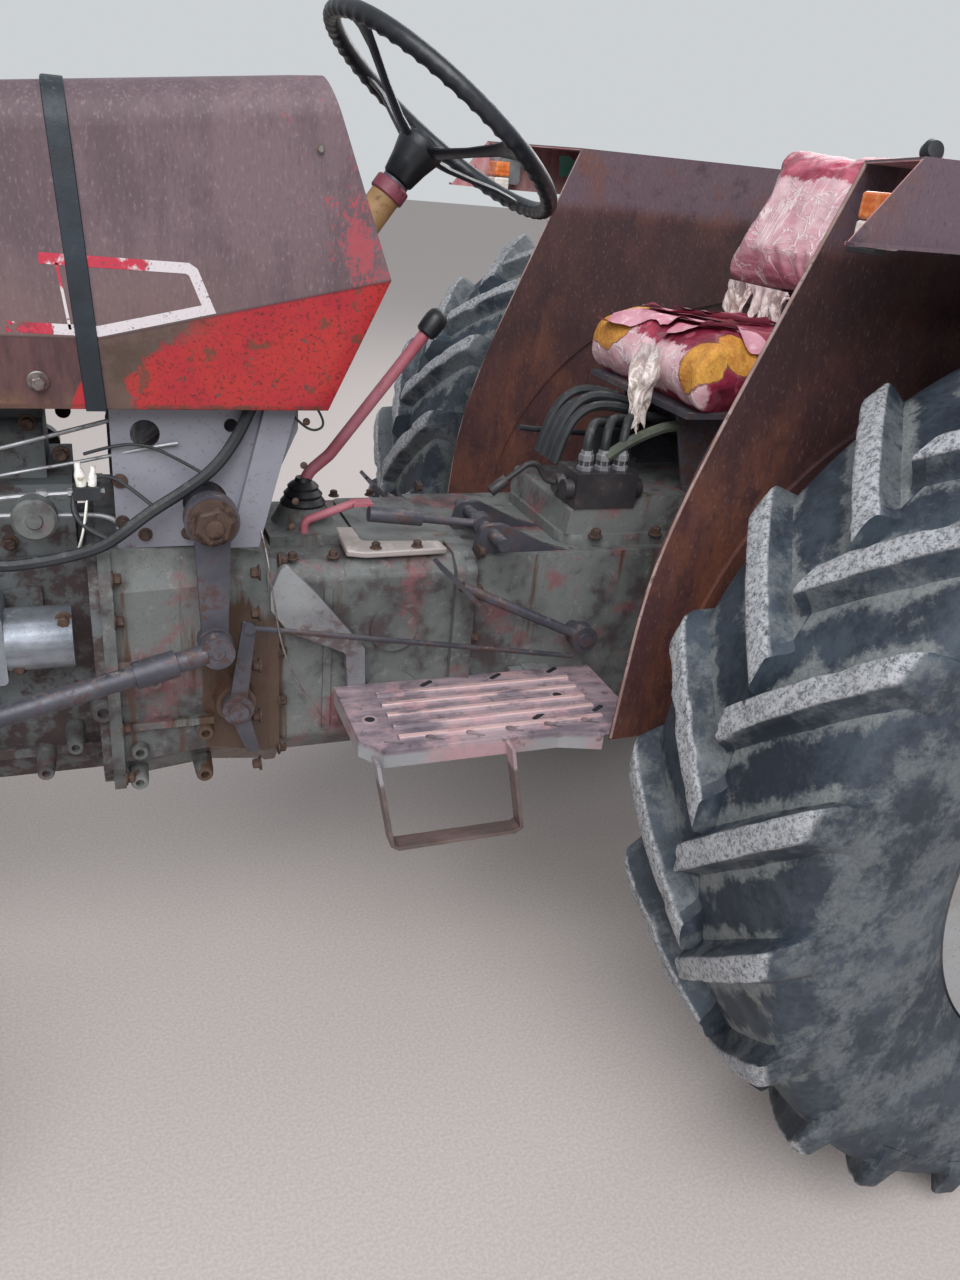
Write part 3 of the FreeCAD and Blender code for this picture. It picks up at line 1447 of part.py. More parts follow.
def controls():
    """Hand lever on its cross tube, with the bracket on the gearbox's left edge."""
    tube_ahead = "GearboxBack - 51"
    tube_high = "CaseTop + 34"
    side = [
        ("GearboxBack - 190", "CaseTop + Running"),
        ("GearboxBack - 20", "CaseTop + Running"),
        (f"{tube_ahead} + 20", f"{tube_high} + 16", "14"),
        (f"{tube_ahead} - 20", f"{tube_high} + 16", "14"),
        ("GearboxBack - 150", "CaseTop + 12"),
    ]
    outer_side = extruded("XZ", side, "CaseHalf - 28", "CaseHalf - 14")
    inner_side = extruded("XZ", side, "20", "32")
    tube = rod("Y", tube_ahead, "-12", tube_high, "11", "CaseHalf + 52")
    collar = rod("Y", tube_ahead, "90", tube_high, "19", "28")
    centre = Vector(size("GearboxBack") - 51, 104, size("CaseTop") + 34)
    run = Vector(1, 0, 0.12).normalize()
    lever = Part.makeCylinder(7, 130, centre, run)
    grip = Part.makeCylinder(13, 92, centre + run * 112, run)
    return joined(outer_side, inner_side, tube, collar, formed(lever.fuse(grip)))


def pedal(side, offset):
    """One pedal whose ring turns on the pivot, with an inclined tread plate."""
    pivot = Vector(size("PedalPivotAhead"), side, size("PedalPivotHeight"))
    tread = pivot + Vector(size("PedalReach"), 0, size("PedalRise"))
    arm = Part.makeCylinder(9, (tread - pivot).Length, pivot, tread - pivot)
    ring = Part.makeCylinder(24, 30, pivot - Vector(0, 15, 0), Vector(0, 1, 0))
    plate = Part.makeBox(118, 44, 7, Vector(-59, -22, -3.5))
    plate.rotate(Vector(), Vector(0, 1, 0), -44)
    plate.translate(tread + Vector(4, offset, 4))
    return arm.fuse([ring, plate])


def pedals():
    """Clutch pedal and its stub on the left, two brake pedals on the right."""
    inner = size("CaseHalf") + size("Running")
    ahead = size("PedalPivotAhead")
    height = size("PedalPivotHeight")
    stub = Part.makeCylinder(13, 62, Vector(ahead, inner, height), Vector(0, 1, 0))
    right_stub = Part.makeCylinder(13, 116, Vector(ahead, -inner - 116, height), Vector(0, 1, 0))
    left = pedal(inner + 44, 6).fuse(stub)
    right = pedal(-inner - 38, -6).fuse([pedal(-inner - 94, -6), right_stub])
    return together(formed(left), formed(right))


def clutch_shaft():
    """Cross shaft through the clutch housing, its fork lever and the pull rod."""
    ahead = size("PedalAhead")
    height = size("PedalHeight")
    reach = size("BellHalf") + 46
    along = Vector(0, 1, 0)
    shaft = Part.makeCylinder(size("PedalShaft"), 2 * reach, Vector(ahead, -reach, height), along)
    nut = Part.makeCylinder(24, 20, Vector(ahead, reach - 30, height), along)
    arm = prism([(ahead - 14, height), (ahead - 34, height - 78), (ahead - 14, height - 82),
                 (ahead + 16, height)], "Y", reach - 30, reach - 16)
    upper = prism([(ahead - 14, height), (ahead - 30, height + 140), (ahead - 10, height + 146),
                   (ahead + 14, height)], "Y", reach - 30, reach - 20)
    lane = size("DropArmSide") - size("DropArmThick") / 2 - 11
    start = Vector(ahead - 20, lane, height + 136)
    end = Vector(size("PedalPivotAhead") + 26, lane, size("PedalPivotHeight") - 24)
    pull = Part.makeCylinder(4.5, (end - start).Length, start, end - start)
    eye = Part.makeCylinder(9, 10, start - along * 5, along)
    return formed(shaft.fuse([nut, arm, upper, pull, eye]))


def hangers():
    """Light alloy brackets on the case's sides, which carry the platforms' fronts."""
    low = "PlatformTop - PlatformSheet - 26"
    high = "PlatformTop - PlatformSheet - Running"
    bracket = extruded("XZ", [
        ("GearboxFront - 22", "CaseTop + 18", "10"),
        ("GearboxFront - 76", "CaseTop - 40", "10"),
        ("PlatformFront - 50", "PlatformTop + 66", "10"),
        ("PlatformFront - 54", low),
        ("PlatformFront - 26", low),
        ("PlatformFront - 18", "PlatformTop + 60", "10"),
        ("GearboxFront - 30", "CaseTop - 100", "10"),
        ("GearboxFront - 2", "CaseTop - 60", "10"),
        ("GearboxFront - 2", "CaseTop - 30", "10"),
    ], "CaseHalf + FlangeRim + Running", "PlatformInner - 1")
    arm = box("PlatformFront - 54", "PlatformFront - 26", "CaseHalf + FlangeRim + Running",
              "PlatformOuter - 12", low, high)
    front = joined(bracket, arm)
    rear_arm = box("PlatformBack + 90", "PlatformBack + 118", "CaseHalf + Running",
                   "PlatformOuter - 12", low, high)
    rear_foot = box("PlatformBack + 66", "PlatformBack + 142", "CaseHalf + Running",
                    "CaseHalf + 12", "PlatformTop - PlatformSheet - 60",
                    "PlatformTop - PlatformSheet - 4")
    rear = joined(rear_arm, rear_foot)
    return together(front, mirrored(front), rear, mirrored(rear))


def platform():
    """Left footplate: pressed sheet with a turned-down lip, long ribs and slanted slots."""
    top = size("PlatformTop")
    wall = size("PlatformSheet")
    inner = size("PlatformInner")
    outer = size("PlatformOuter")
    back = size("PlatformBack")
    front = size("PlatformFront")
    wide = size("FenderInner") - size("FenderSheet") - size("Running")
    corners = [(back, inner), (front, inner), (front, outer - 40), (front - 30, outer), (back + 150, outer),
               (back + 80, wide), (back, wide)]
    sheet_metal = prism(corners, "Z", top - wall, top)
    lip = prism(band(corners[1:6], wall), "Z", top - size("LipHeight"), top - wall)
    ribs = []
    pitch = (outer - inner - 40) / size("RibCount")
    for number in range(int(size("RibCount"))):
        side = inner + 26 + pitch * (number + 0.5)
        ribs.append(prism([(side - 8, top), (side - 4, top + 5), (side + 4, top + 5), (side + 8, top)],
                          "X", back + 60, front - 60))
    slots = []
    for number in range(int(size("SlotCount"))):
        start = back + 70 + 66 * number
        slots.append(prism([(start, outer - 18), (start + 26, outer - 30), (start + 30, outer - 24),
                            (start + 4, outer - 12)], "Z", top - 2 * wall, top + wall))
    shape = sheet_metal.fuse([lip] + ribs).cut(slots)
    return shape.fuse(stirrup())


def stirrup():
    """Flat bar step that hangs from the platform's lip."""
    top = size("PlatformTop") - size("PlatformSheet") - 2
    low = size("PlatformTop") - size("StepDrop")
    back = size("StepAhead") - size("StepWidth") / 2
    front = size("StepAhead") + size("StepWidth") / 2
    wall = size("StepBar")
    lean = size("StepLean")
    frame = prism([
        (front + lean, top),
        (front, low + 8),
        (front - 12, low),
        (back - lean + 12, low),
        (back - lean, low + 8),
        (back, top),
        (back + wall, top),
        (back - lean + wall, low + 10),
        (back - lean + 14, low + wall),
        (front - 14, low + wall),
        (front - wall, low + 10),
        (front + lean - wall, top),
    ], "Y", size("PlatformOuter") - 1, size("PlatformOuter") + 29)
    return frame


def platforms():
    """Both footplates with their steps."""
    left = formed(platform())
    return together(left, mirrored(left))


# Fenders and seat


def band(path, wall):
    """The corners of a strip of even width on the inner side of an open path."""
    normals = []
    for first, second in zip(path, path[1:]):
        length = math.dist(first, second)
        normals.append(((first[1] - second[1]) / length, (second[0] - first[0]) / length))
    joints = [(normals[0], normals[0])] + list(zip(normals, normals[1:])) + [(normals[-1], normals[-1])]
    inner = []
    for point, (before, after) in zip(path, joints):
        reach = wall / (1 + before[0] * after[0] + before[1] * after[1])
        inner.append((point[0] + (before[0] + after[0]) * reach,
                      point[1] + (before[1] + after[1]) * reach))
    return path + inner[::-1]


def trumpet_radius(side):
    """Radius of the axle trumpet at a distance from the tractor's middle."""
    length = size("TrumpetEnd") - size("HousingHalf") - size("TrumpetCollar")
    share = (side - size("HousingHalf")) / length
    return size("TrumpetInner") + (size("TrumpetOuter") - size("TrumpetInner")) * share


def fender_back():
    """The fender's outline from its flat top to its tail, in side view."""
    top = size("FenderTop")
    return [
        (size("FenderTopBack"), top),
        (size("FenderKneeAhead"), top - size("FenderKneeFall")),
        (size("FenderTailAhead"), top - size("FenderTailFall")),
    ]


def fender_plate():
    """Upright inner plate with a pressed disc, cut out around the axle trumpet."""
    wall = size("FenderSheet")
    inner = size("FenderInner")
    height = size("RearTyreRadius")
    foot = size("PlatformTop") - 10
    front_edge = [(632, foot), (614, 880), (596, 970), (556, 1095),
                  (size("FenderTopFront"), size("FenderTop"))]
    lower_edge = [(-560, 830), (-200, 745), (240, 745), (560, foot)]
    plate = prism(front_edge + fender_back() + lower_edge, "Y", inner - wall, inner)
    bulge = size("FenderBulge")
    room = [(575, 760), (560, 950), (500, 1110), (-330, 1300), (-560, 1000), (-520, 850),
            (-200, 757), (240, 757), (500, 720)]
    within = [(0.98 * ahead, height + 0.98 * (rise - height)) for ahead, rise in room]
    base = Vector(0, inner - wall, height)
    across = Vector(0, 1, 0)
    raised = Part.makeCylinder(size("FenderDish"), wall + bulge, base, across)
    raised = raised.common(prism(room, "Y", inner - wall, inner + bulge))
    hollow = Part.makeCylinder(size("FenderDish") - 2 * wall, bulge, base, across)
    hollow = hollow.common(prism(within, "Y", inner - wall, inner - wall + bulge))
    arch = Part.makeCylinder(size("TrumpetInner"), 80, base - across * 40, across)
    return plate.fuse(raised).cut([hollow, arch])


def fender():
    """Left fender: inner plate, top cover, outer skirt with a rolled edge, and axle saddle."""
    wall = size("FenderSheet")
    top = size("FenderTop")
    inner = size("FenderInner")
    outer = size("FenderOuter")
    low = top - size("SkirtHeight")
    back = fender_back()
    front = size("FenderLipFront")
    cover = prism(band([(front + 14, top)] + back, wall), "Y", inner - wall, outer)
    slant = prism([(size("FenderTopFront"), inner - wall), (front, outer), (front, outer + 20),
                   (front + 114, outer + 20), (front + 114, inner - 20),
                   (size("FenderTopFront"), inner - 20)], "Z", top - 60, top + 40)
    skirt_corners = band([(front, top)] + back, size("SkirtHeight"))
    skirt_corners[-1] = (front + 79, low)
    skirt = prism(skirt_corners, "Y", outer - wall, outer)
    lip = prism(band(skirt_corners[:-5:-1], -wall), "Y", outer - wall, outer + 13)
    height = size("RearTyreRadius")
    saddle_end = inner - wall - 60
    saddle = Part.makeBox(150, 60 + size("FenderBulge"), 104, Vector(-75, saddle_end, height + 60))
    radius = trumpet_radius(saddle_end) + size("Running")
    trumpet = Part.makeCylinder(radius, 200, Vector(0, inner - 100, height), Vector(0, 1, 0))
    return fender_plate().fuse([cover.cut(slant), skirt, lip, saddle.cut(trumpet)])


def seat_frame():
    """Pan under the cushion, its two side brackets and the bars behind the backrest."""
    pan_low = "SeatBottom - 12"
    pan = box("SeatBack + 10", "SeatFront - 14", "-SeatHalf + 24", "SeatHalf - 24", pan_low,
              "SeatBottom - Running")
    bracket = extruded("XZ", [
        ("SeatBack + 70", "LiftCoverTop + Running"),
        ("SeatBack + 300", "LiftCoverTop + Running"),
        ("SeatBack + 340", pan_low),
        ("SeatBack + 30", pan_low),
    ], "96", "104")
    foot = box("SeatBack + 70", "SeatBack + 300", "80", "124", "LiftCoverTop + Running",
               "LiftCoverTop + 8")
    side = joined(bracket, foot)
    slope = "BackrestLean / (BackrestTop - 24 - BackrestBottom)"
    bar = extruded("XZ", [
        ("SeatBack + 60", pan_low),
        ("SeatBack + 60", "SeatBottom - Running"),
        ("SeatBack - 46", "SeatBottom - Running"),
        ("SeatBack - 26", "BackrestBottom - 20"),
        (f"BackrestBack - 2 * Running - 20 * {slope}", "BackrestBottom + 20"),
        (f"BackrestBack - 2 * Running - 150 * {slope}", "BackrestBottom + 150"),
        (f"BackrestBack - 12 - 150 * {slope}", "BackrestBottom + 148"),
        ("BackrestBack - 22", "BackrestBottom + 14"),
        ("SeatBack - 58", "BackrestBottom - 40"),
        ("SeatBack - 66", pan_low),
    ], "90", "126")
    return joined(pan, side, mirrored(side), bar, mirrored(bar))


def seat_cushion():
    """Cushion as a plain rounded block."""
    return extruded("XZ", [
        ("SeatBack", "SeatBottom", "24"),
        ("SeatFront", "SeatBottom", "34"),
        ("SeatFront", "SeatBottom + SeatThick", "40"),
        ("SeatBack", "SeatBottom + SeatThick", "30"),
    ], "-SeatHalf", "SeatHalf")


def seat_back():
    """Backrest as a plain leaning block."""
    return extruded("XZ", [
        ("BackrestBack", "BackrestBottom", "28"),
        ("BackrestBack + BackrestThick", "BackrestBottom + 28", "28"),
        ("BackrestBack + BackrestThick - BackrestLean + 4", "BackrestTop", "34"),
        ("BackrestBack - BackrestLean", "BackrestTop - 24", "34"),
    ], "-SeatHalf", "SeatHalf")


# Hydraulics and hitch


def spool_valve():
    """Valve block on the lift cover, with its fittings and hand lever."""
    ahead = size("ValveAhead")
    low = size("ValveSeat") + size("Running")
    side = size("ValveSide")
    axis = Vector(1, 0, 0)
    block = Part.makeBox(118, 84, size("ValveHigh"), Vector(ahead, side - 42, low))
    parts = [Part.makeCylinder(17, 150, Vector(ahead - 16, side + offset, low + 30), axis)
             for offset in (-16, 20)]
    for number in range(3):
        place = Vector(ahead + 24 + 34 * number, side + 12, low + size("ValveHigh") - 1)
        parts.append(Part.makeCylinder(11, 26, place))
    bend = Vector(ahead + 176, side - 16, low + 74)
    end = Vector(ahead + 236, side - 16, low + 30)
    root = [(ahead + 120, side - 16, low + 30), (ahead + 150, side - 16, low + 34)]
    parts.append(tube_along(root + [bend, end], 5, 20))
    parts.append(Part.makeCylinder(10, 34, end - (end - bend).normalize() * 12, end - bend))
    return formed(block.fuse(parts))


def hoses():
    """Three hoses that rise from the valve, loop back under the seat and end on the cover."""
    side = size("ValveSide") + 12
    low = size("ValveSeat") + size("Running") + size("ValveHigh") + 25 + size("Running")
    seat_low = size("SeatBottom")
    cover = size("LiftCoverTop") + size("Running")
    runs = []
    for number in range(3):
        start = size("ValveAhead") + 24 + 34 * number
        lane = side - 84 - 22 * number
        runs.append(formed(tube_along([
            (start, side, low),
            (start, side, low + 34),
            (start - 22, side - 30, low + 66 - 8 * number),
            (start - 110, lane + 18, seat_low - 44 - 10 * number),
            (start - 220, lane, seat_low - 84),
            (start - 300, lane, cover + 40),
            (start - 300, lane, cover),
        ], 8, 60)))
    return together(*runs)


def hitch():
    """Swinging drawbar in its guides, and the top link's ears on the housing."""
    low = "DrawbarHeight - DrawbarThick / 2"
    high = "DrawbarHeight + DrawbarThick / 2"
    housing = "CaseBottom - 34 - Running"
    bar = extruded("XY", [
        ("80", "-DrawbarHalf", "10"),
        ("80", "DrawbarHalf", "10"),
        ("DrawbarEnd", "DrawbarHalf", "26"),
        ("DrawbarEnd", "-DrawbarHalf", "26"),
    ], low, high)
    hole = rod("Z", "DrawbarEnd + DrawbarHoleInset", "0", f"{low} - 10", "DrawbarHole",
               "DrawbarThick + 20")
    pivot = box("30", "80", "-50", "50", high, housing)
    cheek = box("-100", "-60", "DrawbarHalf", "DrawbarHalf + 26", f"{low} - 14", housing)
    strap = box("-100", "-60", "-DrawbarHalf - 26", "DrawbarHalf + 26", f"{low} - 14", low)
    back = "HousingBack - Running"
    ears = []
    for start, end in (("14", "26"), ("-26", "-14")):
        ears.append(extruded("XZ", [
            (back, "CaseTop - 74"),
            ("HousingBack - 46", "CaseTop - 60", "20"),
            ("HousingBack - 46", "CaseTop - 20", "20"),
            (back, "CaseTop - 4"),
        ], start, end))
    seat = box("HousingBack - 6", back, "-26", "26", "CaseTop - 74", "CaseTop - 4")
    eye_bore = rod("Y", "HousingBack - 26", "-40", "CaseTop - 40", "TopLinkHole", "80")
    drawbar = joined(without(bar, hole), pivot, cheek, mirrored(cheek), strap)
    return together(drawbar, without(joined(*ears, seat), eye_bore))


def pto_shaft():
    """Splined stub of the power take-off and its guard."""
    radius = size("PtoRadius")
    length = size("PtoLength")
    height = size("PtoHeight")
    start = size("HousingBack") - 14 - size("Running")
    axis = Vector(1, 0, 0)
    shaft = Part.makeCylinder(radius, length, Vector(start - length, 0, height), axis)
    cuts = []
    wide = size("SplineWide")
    for number in range(int(size("SplineCount"))):
        place = Vector(start - length - 1, -wide / 2, height + radius - size("SplineDeep"))
        cut = Part.makeBox(length - 16, wide, 2 * size("SplineDeep"), place)
        cut.rotate(Vector(0, 0, height), axis, 360 * (number + 0.5) / size("SplineCount"))
        cuts.append(cut)
    plate = size("HousingBack") - size("Running")
    guard = Part.makeBox(70, 150, 4, Vector(plate - 70, -75, height + 78))
    cheeks = [Part.makeBox(70, 4, 56, Vector(plate - 70, side, height + 24)) for side in (-75, 71)]
    return together(formed(shaft.cut(cuts)), formed(guard.fuse(cheeks)))


def lift_arms():
    """Rocker shaft with an arm at each end."""
    side = "LiftArmSide"
    shaft = rod("Y", "RockerAhead", "-LiftArmSide - 16", "RockerHeight", "RockerRadius",
                "2 * LiftArmSide + 32")
    drop = "LiftArmDrop"
    arm = extruded("XZ", [
        ("RockerAhead + 34", "RockerHeight + 24", "20"),
        ("RockerAhead + 34", "RockerHeight - 30", "20"),
        ("RockerAhead - LiftArmLength - 20", f"RockerHeight - {drop} - 22", "14"),
        ("RockerAhead - LiftArmLength - 24", f"RockerHeight - {drop} + 14", "14"),
        ("RockerAhead - 40", "RockerHeight + 34", "20"),
    ], f"{side} - 16", f"{side} + 10")
    pin = rod("Y", "RockerAhead - LiftArmLength", f"{side} + 10", f"RockerHeight - {drop}",
              "LiftPinRadius", "38")
    arm_set = joined(arm, pin)
    return joined(shaft, arm_set, mirrored(arm_set))


def link_point(along):
    """A point on the left lower link's line, at a distance from its pin."""
    length = size("LinkLength")
    drop = size("LinkDrop")
    spread = size("LinkSpread")
    run = math.sqrt(length**2 - drop**2 - spread**2)
    start = Vector(size("LinkAhead"), size("LinkSide"), size("LinkHeight"))
    return start + Vector(-run, spread, -drop) * (along / length)


def lower_link():
    """Left lower link, with an eye on the housing's pin and a ball end for the tool."""
    start = link_point(0)
    end = link_point(size("LinkLength"))
    run = end - start
    half = size("LinkBall") / 2
    bar = Part.makeBox(run.Length - 60, 18, 44, Vector(30, -9, -22))
    level = Rotation(Vector(0, 0, 1), math.degrees(math.atan2(run.y, run.x)))
    pitch = Rotation(Vector(0, 1, 0), -math.degrees(math.asin(run.z / run.Length)))
    bar.Placement = Placement(start, level * pitch)
    eye = Part.makeCylinder(32, 2 * half, start - Vector(0, half, 0), Vector(0, 1, 0))
    tip = Part.makeCylinder(36, 2 * half, end - Vector(0, half, 0), Vector(0, 1, 0))
    clevis = Part.makeCylinder(25, 40, link_point(size("LiftPoint")) - Vector(0, 20, 0),
                               Vector(0, 1, 0))
    bores = []
    pin = size("LinkPinRadius")
    for centre, radius in ((start, pin + size("Running")), (end, pin)):
        foot = centre - Vector(0, 2 * half, 0)
        bores.append(Part.makeCylinder(radius, 4 * half, foot, Vector(0, 1, 0)))
    return formed(bar.fuse([eye, tip, clevis]).cut(bores))


def lift_rod():
    """Left lift rod, hung on the lift arm's pin and open above the lower link."""
    top = Vector(size("RockerAhead") - size("LiftArmLength"), size("LiftArmSide") + 10 + 19,
                 size("RockerHeight") - size("LiftArmDrop"))
    foot = link_point(size("LiftPoint")) + Vector(0, 0, 60)
    run = (foot - top).normalize()
    length = (foot - top).Length
    eye = Part.makeCylinder(24, 26, top - Vector(0, 13, 0), Vector(0, 1, 0))
    upper = Part.makeCylinder(11, length - 16, top + run * 16, run)
    sleeve = Part.makeCylinder(19, 130, top + run * 90, run)
    foot_block = Part.makeCylinder(17, 40, foot - Vector(0, 0, 28), Vector(0, 0, 1))
    bore = Part.makeCylinder(size("LiftPinRadius") + size("Running"), 60, top - Vector(0, 30, 0),
                             Vector(0, 1, 0))
    return formed(eye.fuse([upper, sleeve, foot_block]).cut(bore))


def both_sides(label, thing):
    """A left node and its mirror on the right."""
    right = mirrored(thing)
    node(f"{label}_left", together(thing))
    node(f"{label}_right", together(right))


node("engine", engine())
node("engine_ancillaries", ancillaries())
node("exhaust", exhaust())
node("radiator", radiator())
node("front_bolster", front_bolster())
node("front_axle", front_axle())
node("bell_housing", bell_housing())
node("gearbox", gearbox())
node("rear_axle_housing", rear_axle_housing())
node("lift_cover", lift_cover())
node("hood", hood())
node("nose", nose())
node("grille", grille())
node("lamps", lamps())
node("bulkhead", bulkhead())
node("steering_gear", steering_gear())
node("gear_levers", gear_levers())
node("hand_lever", controls())
node("pedals", pedals())
node("clutch_shaft", clutch_shaft())
node("platform_hangers", hangers())
node("platforms", platforms())
both_sides("fender", formed(fender()))
node("seat_frame", seat_frame())
node("seat_cushion", seat_cushion())
node("seat_back", seat_back())
node("spool_valve", spool_valve())
node("hoses", hoses())
node("hitch", hitch())
node("pto_shaft", pto_shaft())
both_sides("rear_tyre", rear_tyre())
both_sides("rear_rim", rear_rim())
both_sides("front_tyre", front_tyre())
both_sides("front_rim", front_rim())
both_sides("knuckle", knuckle())
node("steering_wheel", steering_wheel())
both_sides("drop_arm", drop_arm())
both_sides("drag_link", drag_link())
node("lift_arms", lift_arms())
both_sides("lower_link", lower_link())
both_sides("lift_rod", lift_rod())

doc.recompute()

for thing in doc.Objects:
    if {"Invalid", "Error"} & set(thing.State):
        raise RuntimeError(f"{thing.Label} is not sound: {thing.State}")
os.makedirs("parts", exist_ok=True)
for thing in NODES:
    if thing.Shape.isNull() or not thing.Shape.isValid() or not thing.Shape.Solids:
        raise RuntimeError(f"{thing.Label} has no sound solid")
    thing.Shape.exportStep(f"parts/{thing.Label}.step")
print(len(NODES), "sub-parts written")
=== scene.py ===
"""Looks of a worn farm tractor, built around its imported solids.

Metres, in the tractor's own frame: x forward, y to the driver's left, z up.
"""

import logging
import math
from dataclasses import dataclass
from enum import Enum
from typing import Callable, Iterable, Optional, Sequence, Union

import bmesh
import bpy
from mathutils import Matrix, Vector, noise
from mathutils.bvhtree import BVHTree


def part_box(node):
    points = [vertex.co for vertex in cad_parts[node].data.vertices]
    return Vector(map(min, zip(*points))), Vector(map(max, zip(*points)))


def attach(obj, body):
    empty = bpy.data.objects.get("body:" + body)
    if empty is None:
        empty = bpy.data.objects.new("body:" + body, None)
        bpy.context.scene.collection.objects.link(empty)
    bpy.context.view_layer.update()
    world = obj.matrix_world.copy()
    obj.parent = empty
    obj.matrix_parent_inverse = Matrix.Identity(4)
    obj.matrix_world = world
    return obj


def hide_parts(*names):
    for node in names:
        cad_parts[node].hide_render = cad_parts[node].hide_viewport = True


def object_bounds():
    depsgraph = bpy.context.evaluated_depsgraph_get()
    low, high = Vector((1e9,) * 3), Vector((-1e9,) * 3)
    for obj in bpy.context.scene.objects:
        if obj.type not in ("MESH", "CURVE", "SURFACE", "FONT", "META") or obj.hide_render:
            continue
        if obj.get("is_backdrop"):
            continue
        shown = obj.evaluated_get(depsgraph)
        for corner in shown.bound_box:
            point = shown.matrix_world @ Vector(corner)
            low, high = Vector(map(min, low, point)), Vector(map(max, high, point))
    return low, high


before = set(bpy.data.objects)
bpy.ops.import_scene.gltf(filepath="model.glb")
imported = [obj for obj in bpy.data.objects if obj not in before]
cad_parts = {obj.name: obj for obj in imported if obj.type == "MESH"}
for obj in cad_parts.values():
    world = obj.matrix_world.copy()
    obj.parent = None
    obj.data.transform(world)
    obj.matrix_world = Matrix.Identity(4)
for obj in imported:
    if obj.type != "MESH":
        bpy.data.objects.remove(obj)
CAD_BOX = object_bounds()
LOG = logging.getLogger("tractor")

Point = Sequence[float]
Profile = Sequence[tuple[float, float]]
Colour = tuple[float, float, float, float]
UP = (0, 0, 1)
LEFT, RIGHT = 1, -1
BOTH_SIDES = (LEFT, RIGHT)
SIDES = (("left", LEFT), ("right", RIGHT))
REAR_AXLE = (-0.851, 0.69)
FRONT_AXLE = (1.299, 0.4)


def tint(code: str) -> Colour:
    """Linear colour of a six digit colour code.

    Args:
        code: Red, green and blue as two hexadecimal digits each.

    Returns:
        Red, green, blue and an alpha of one.
    """
    shares = [int(code[place:place + 2], 16) / 255 for place in (0, 2, 4)]
    linear = [share / 12.92 if share <= 0.04045 else ((share + 0.055) / 1.055) ** 2.4 for share in shares]
    return (linear[0], linear[1], linear[2], 1.0)


# Shader maths


class Value:
    """One output of a shader node, with arithmetic that adds the nodes it needs."""

    def __init__(self, shader: "Shader", socket: bpy.types.NodeSocket) -> None:
        """Keep the socket and its shader."""
        self.shader = shader
        self.socket = socket

    def __add__(self, other: "Operand") -> "Value":
        """Sum."""
        return self.shader.math("ADD", self, other)

    __radd__ = __add__

    def __sub__(self, other: "Operand") -> "Value":
        """Difference."""
        return self.shader.math("SUBTRACT", self, other)

    def __rsub__(self, other: "Operand") -> "Value":
        """Difference from a number."""
        return self.shader.math("SUBTRACT", other, self)

    def __mul__(self, other: "Operand") -> "Value":
        """Product."""
        return self.shader.math("MULTIPLY", self, other)

    __rmul__ = __mul__

    def __abs__(self) -> "Value":
        """Size without its sign."""
        return self.shader.math("ABSOLUTE", self)

    def at_least(self, other: "Operand") -> "Value":
        """The larger of two."""
        return self.shader.math("MAXIMUM", self, other)

    def at_most(self, other: "Operand") -> "Value":
        """The smaller of two."""
        return self.shader.math("MINIMUM", self, other)

    def ramp(self, low: float, high: float) -> "Value":
        """A soft step from 0 at low to 1 at high."""
        return self.shader.out(
            "ShaderNodeMapRange",
            {"interpolation_type": "SMOOTHSTEP"},
            {"Value": self, "From Min": low, "From Max": high},
        )

    def near(self, place: float, reach: float) -> "Value":
        """1 at a place and 0 from a distance on."""
        return abs(self - place).ramp(reach, 0.0)


Operand = Union[Value, float]


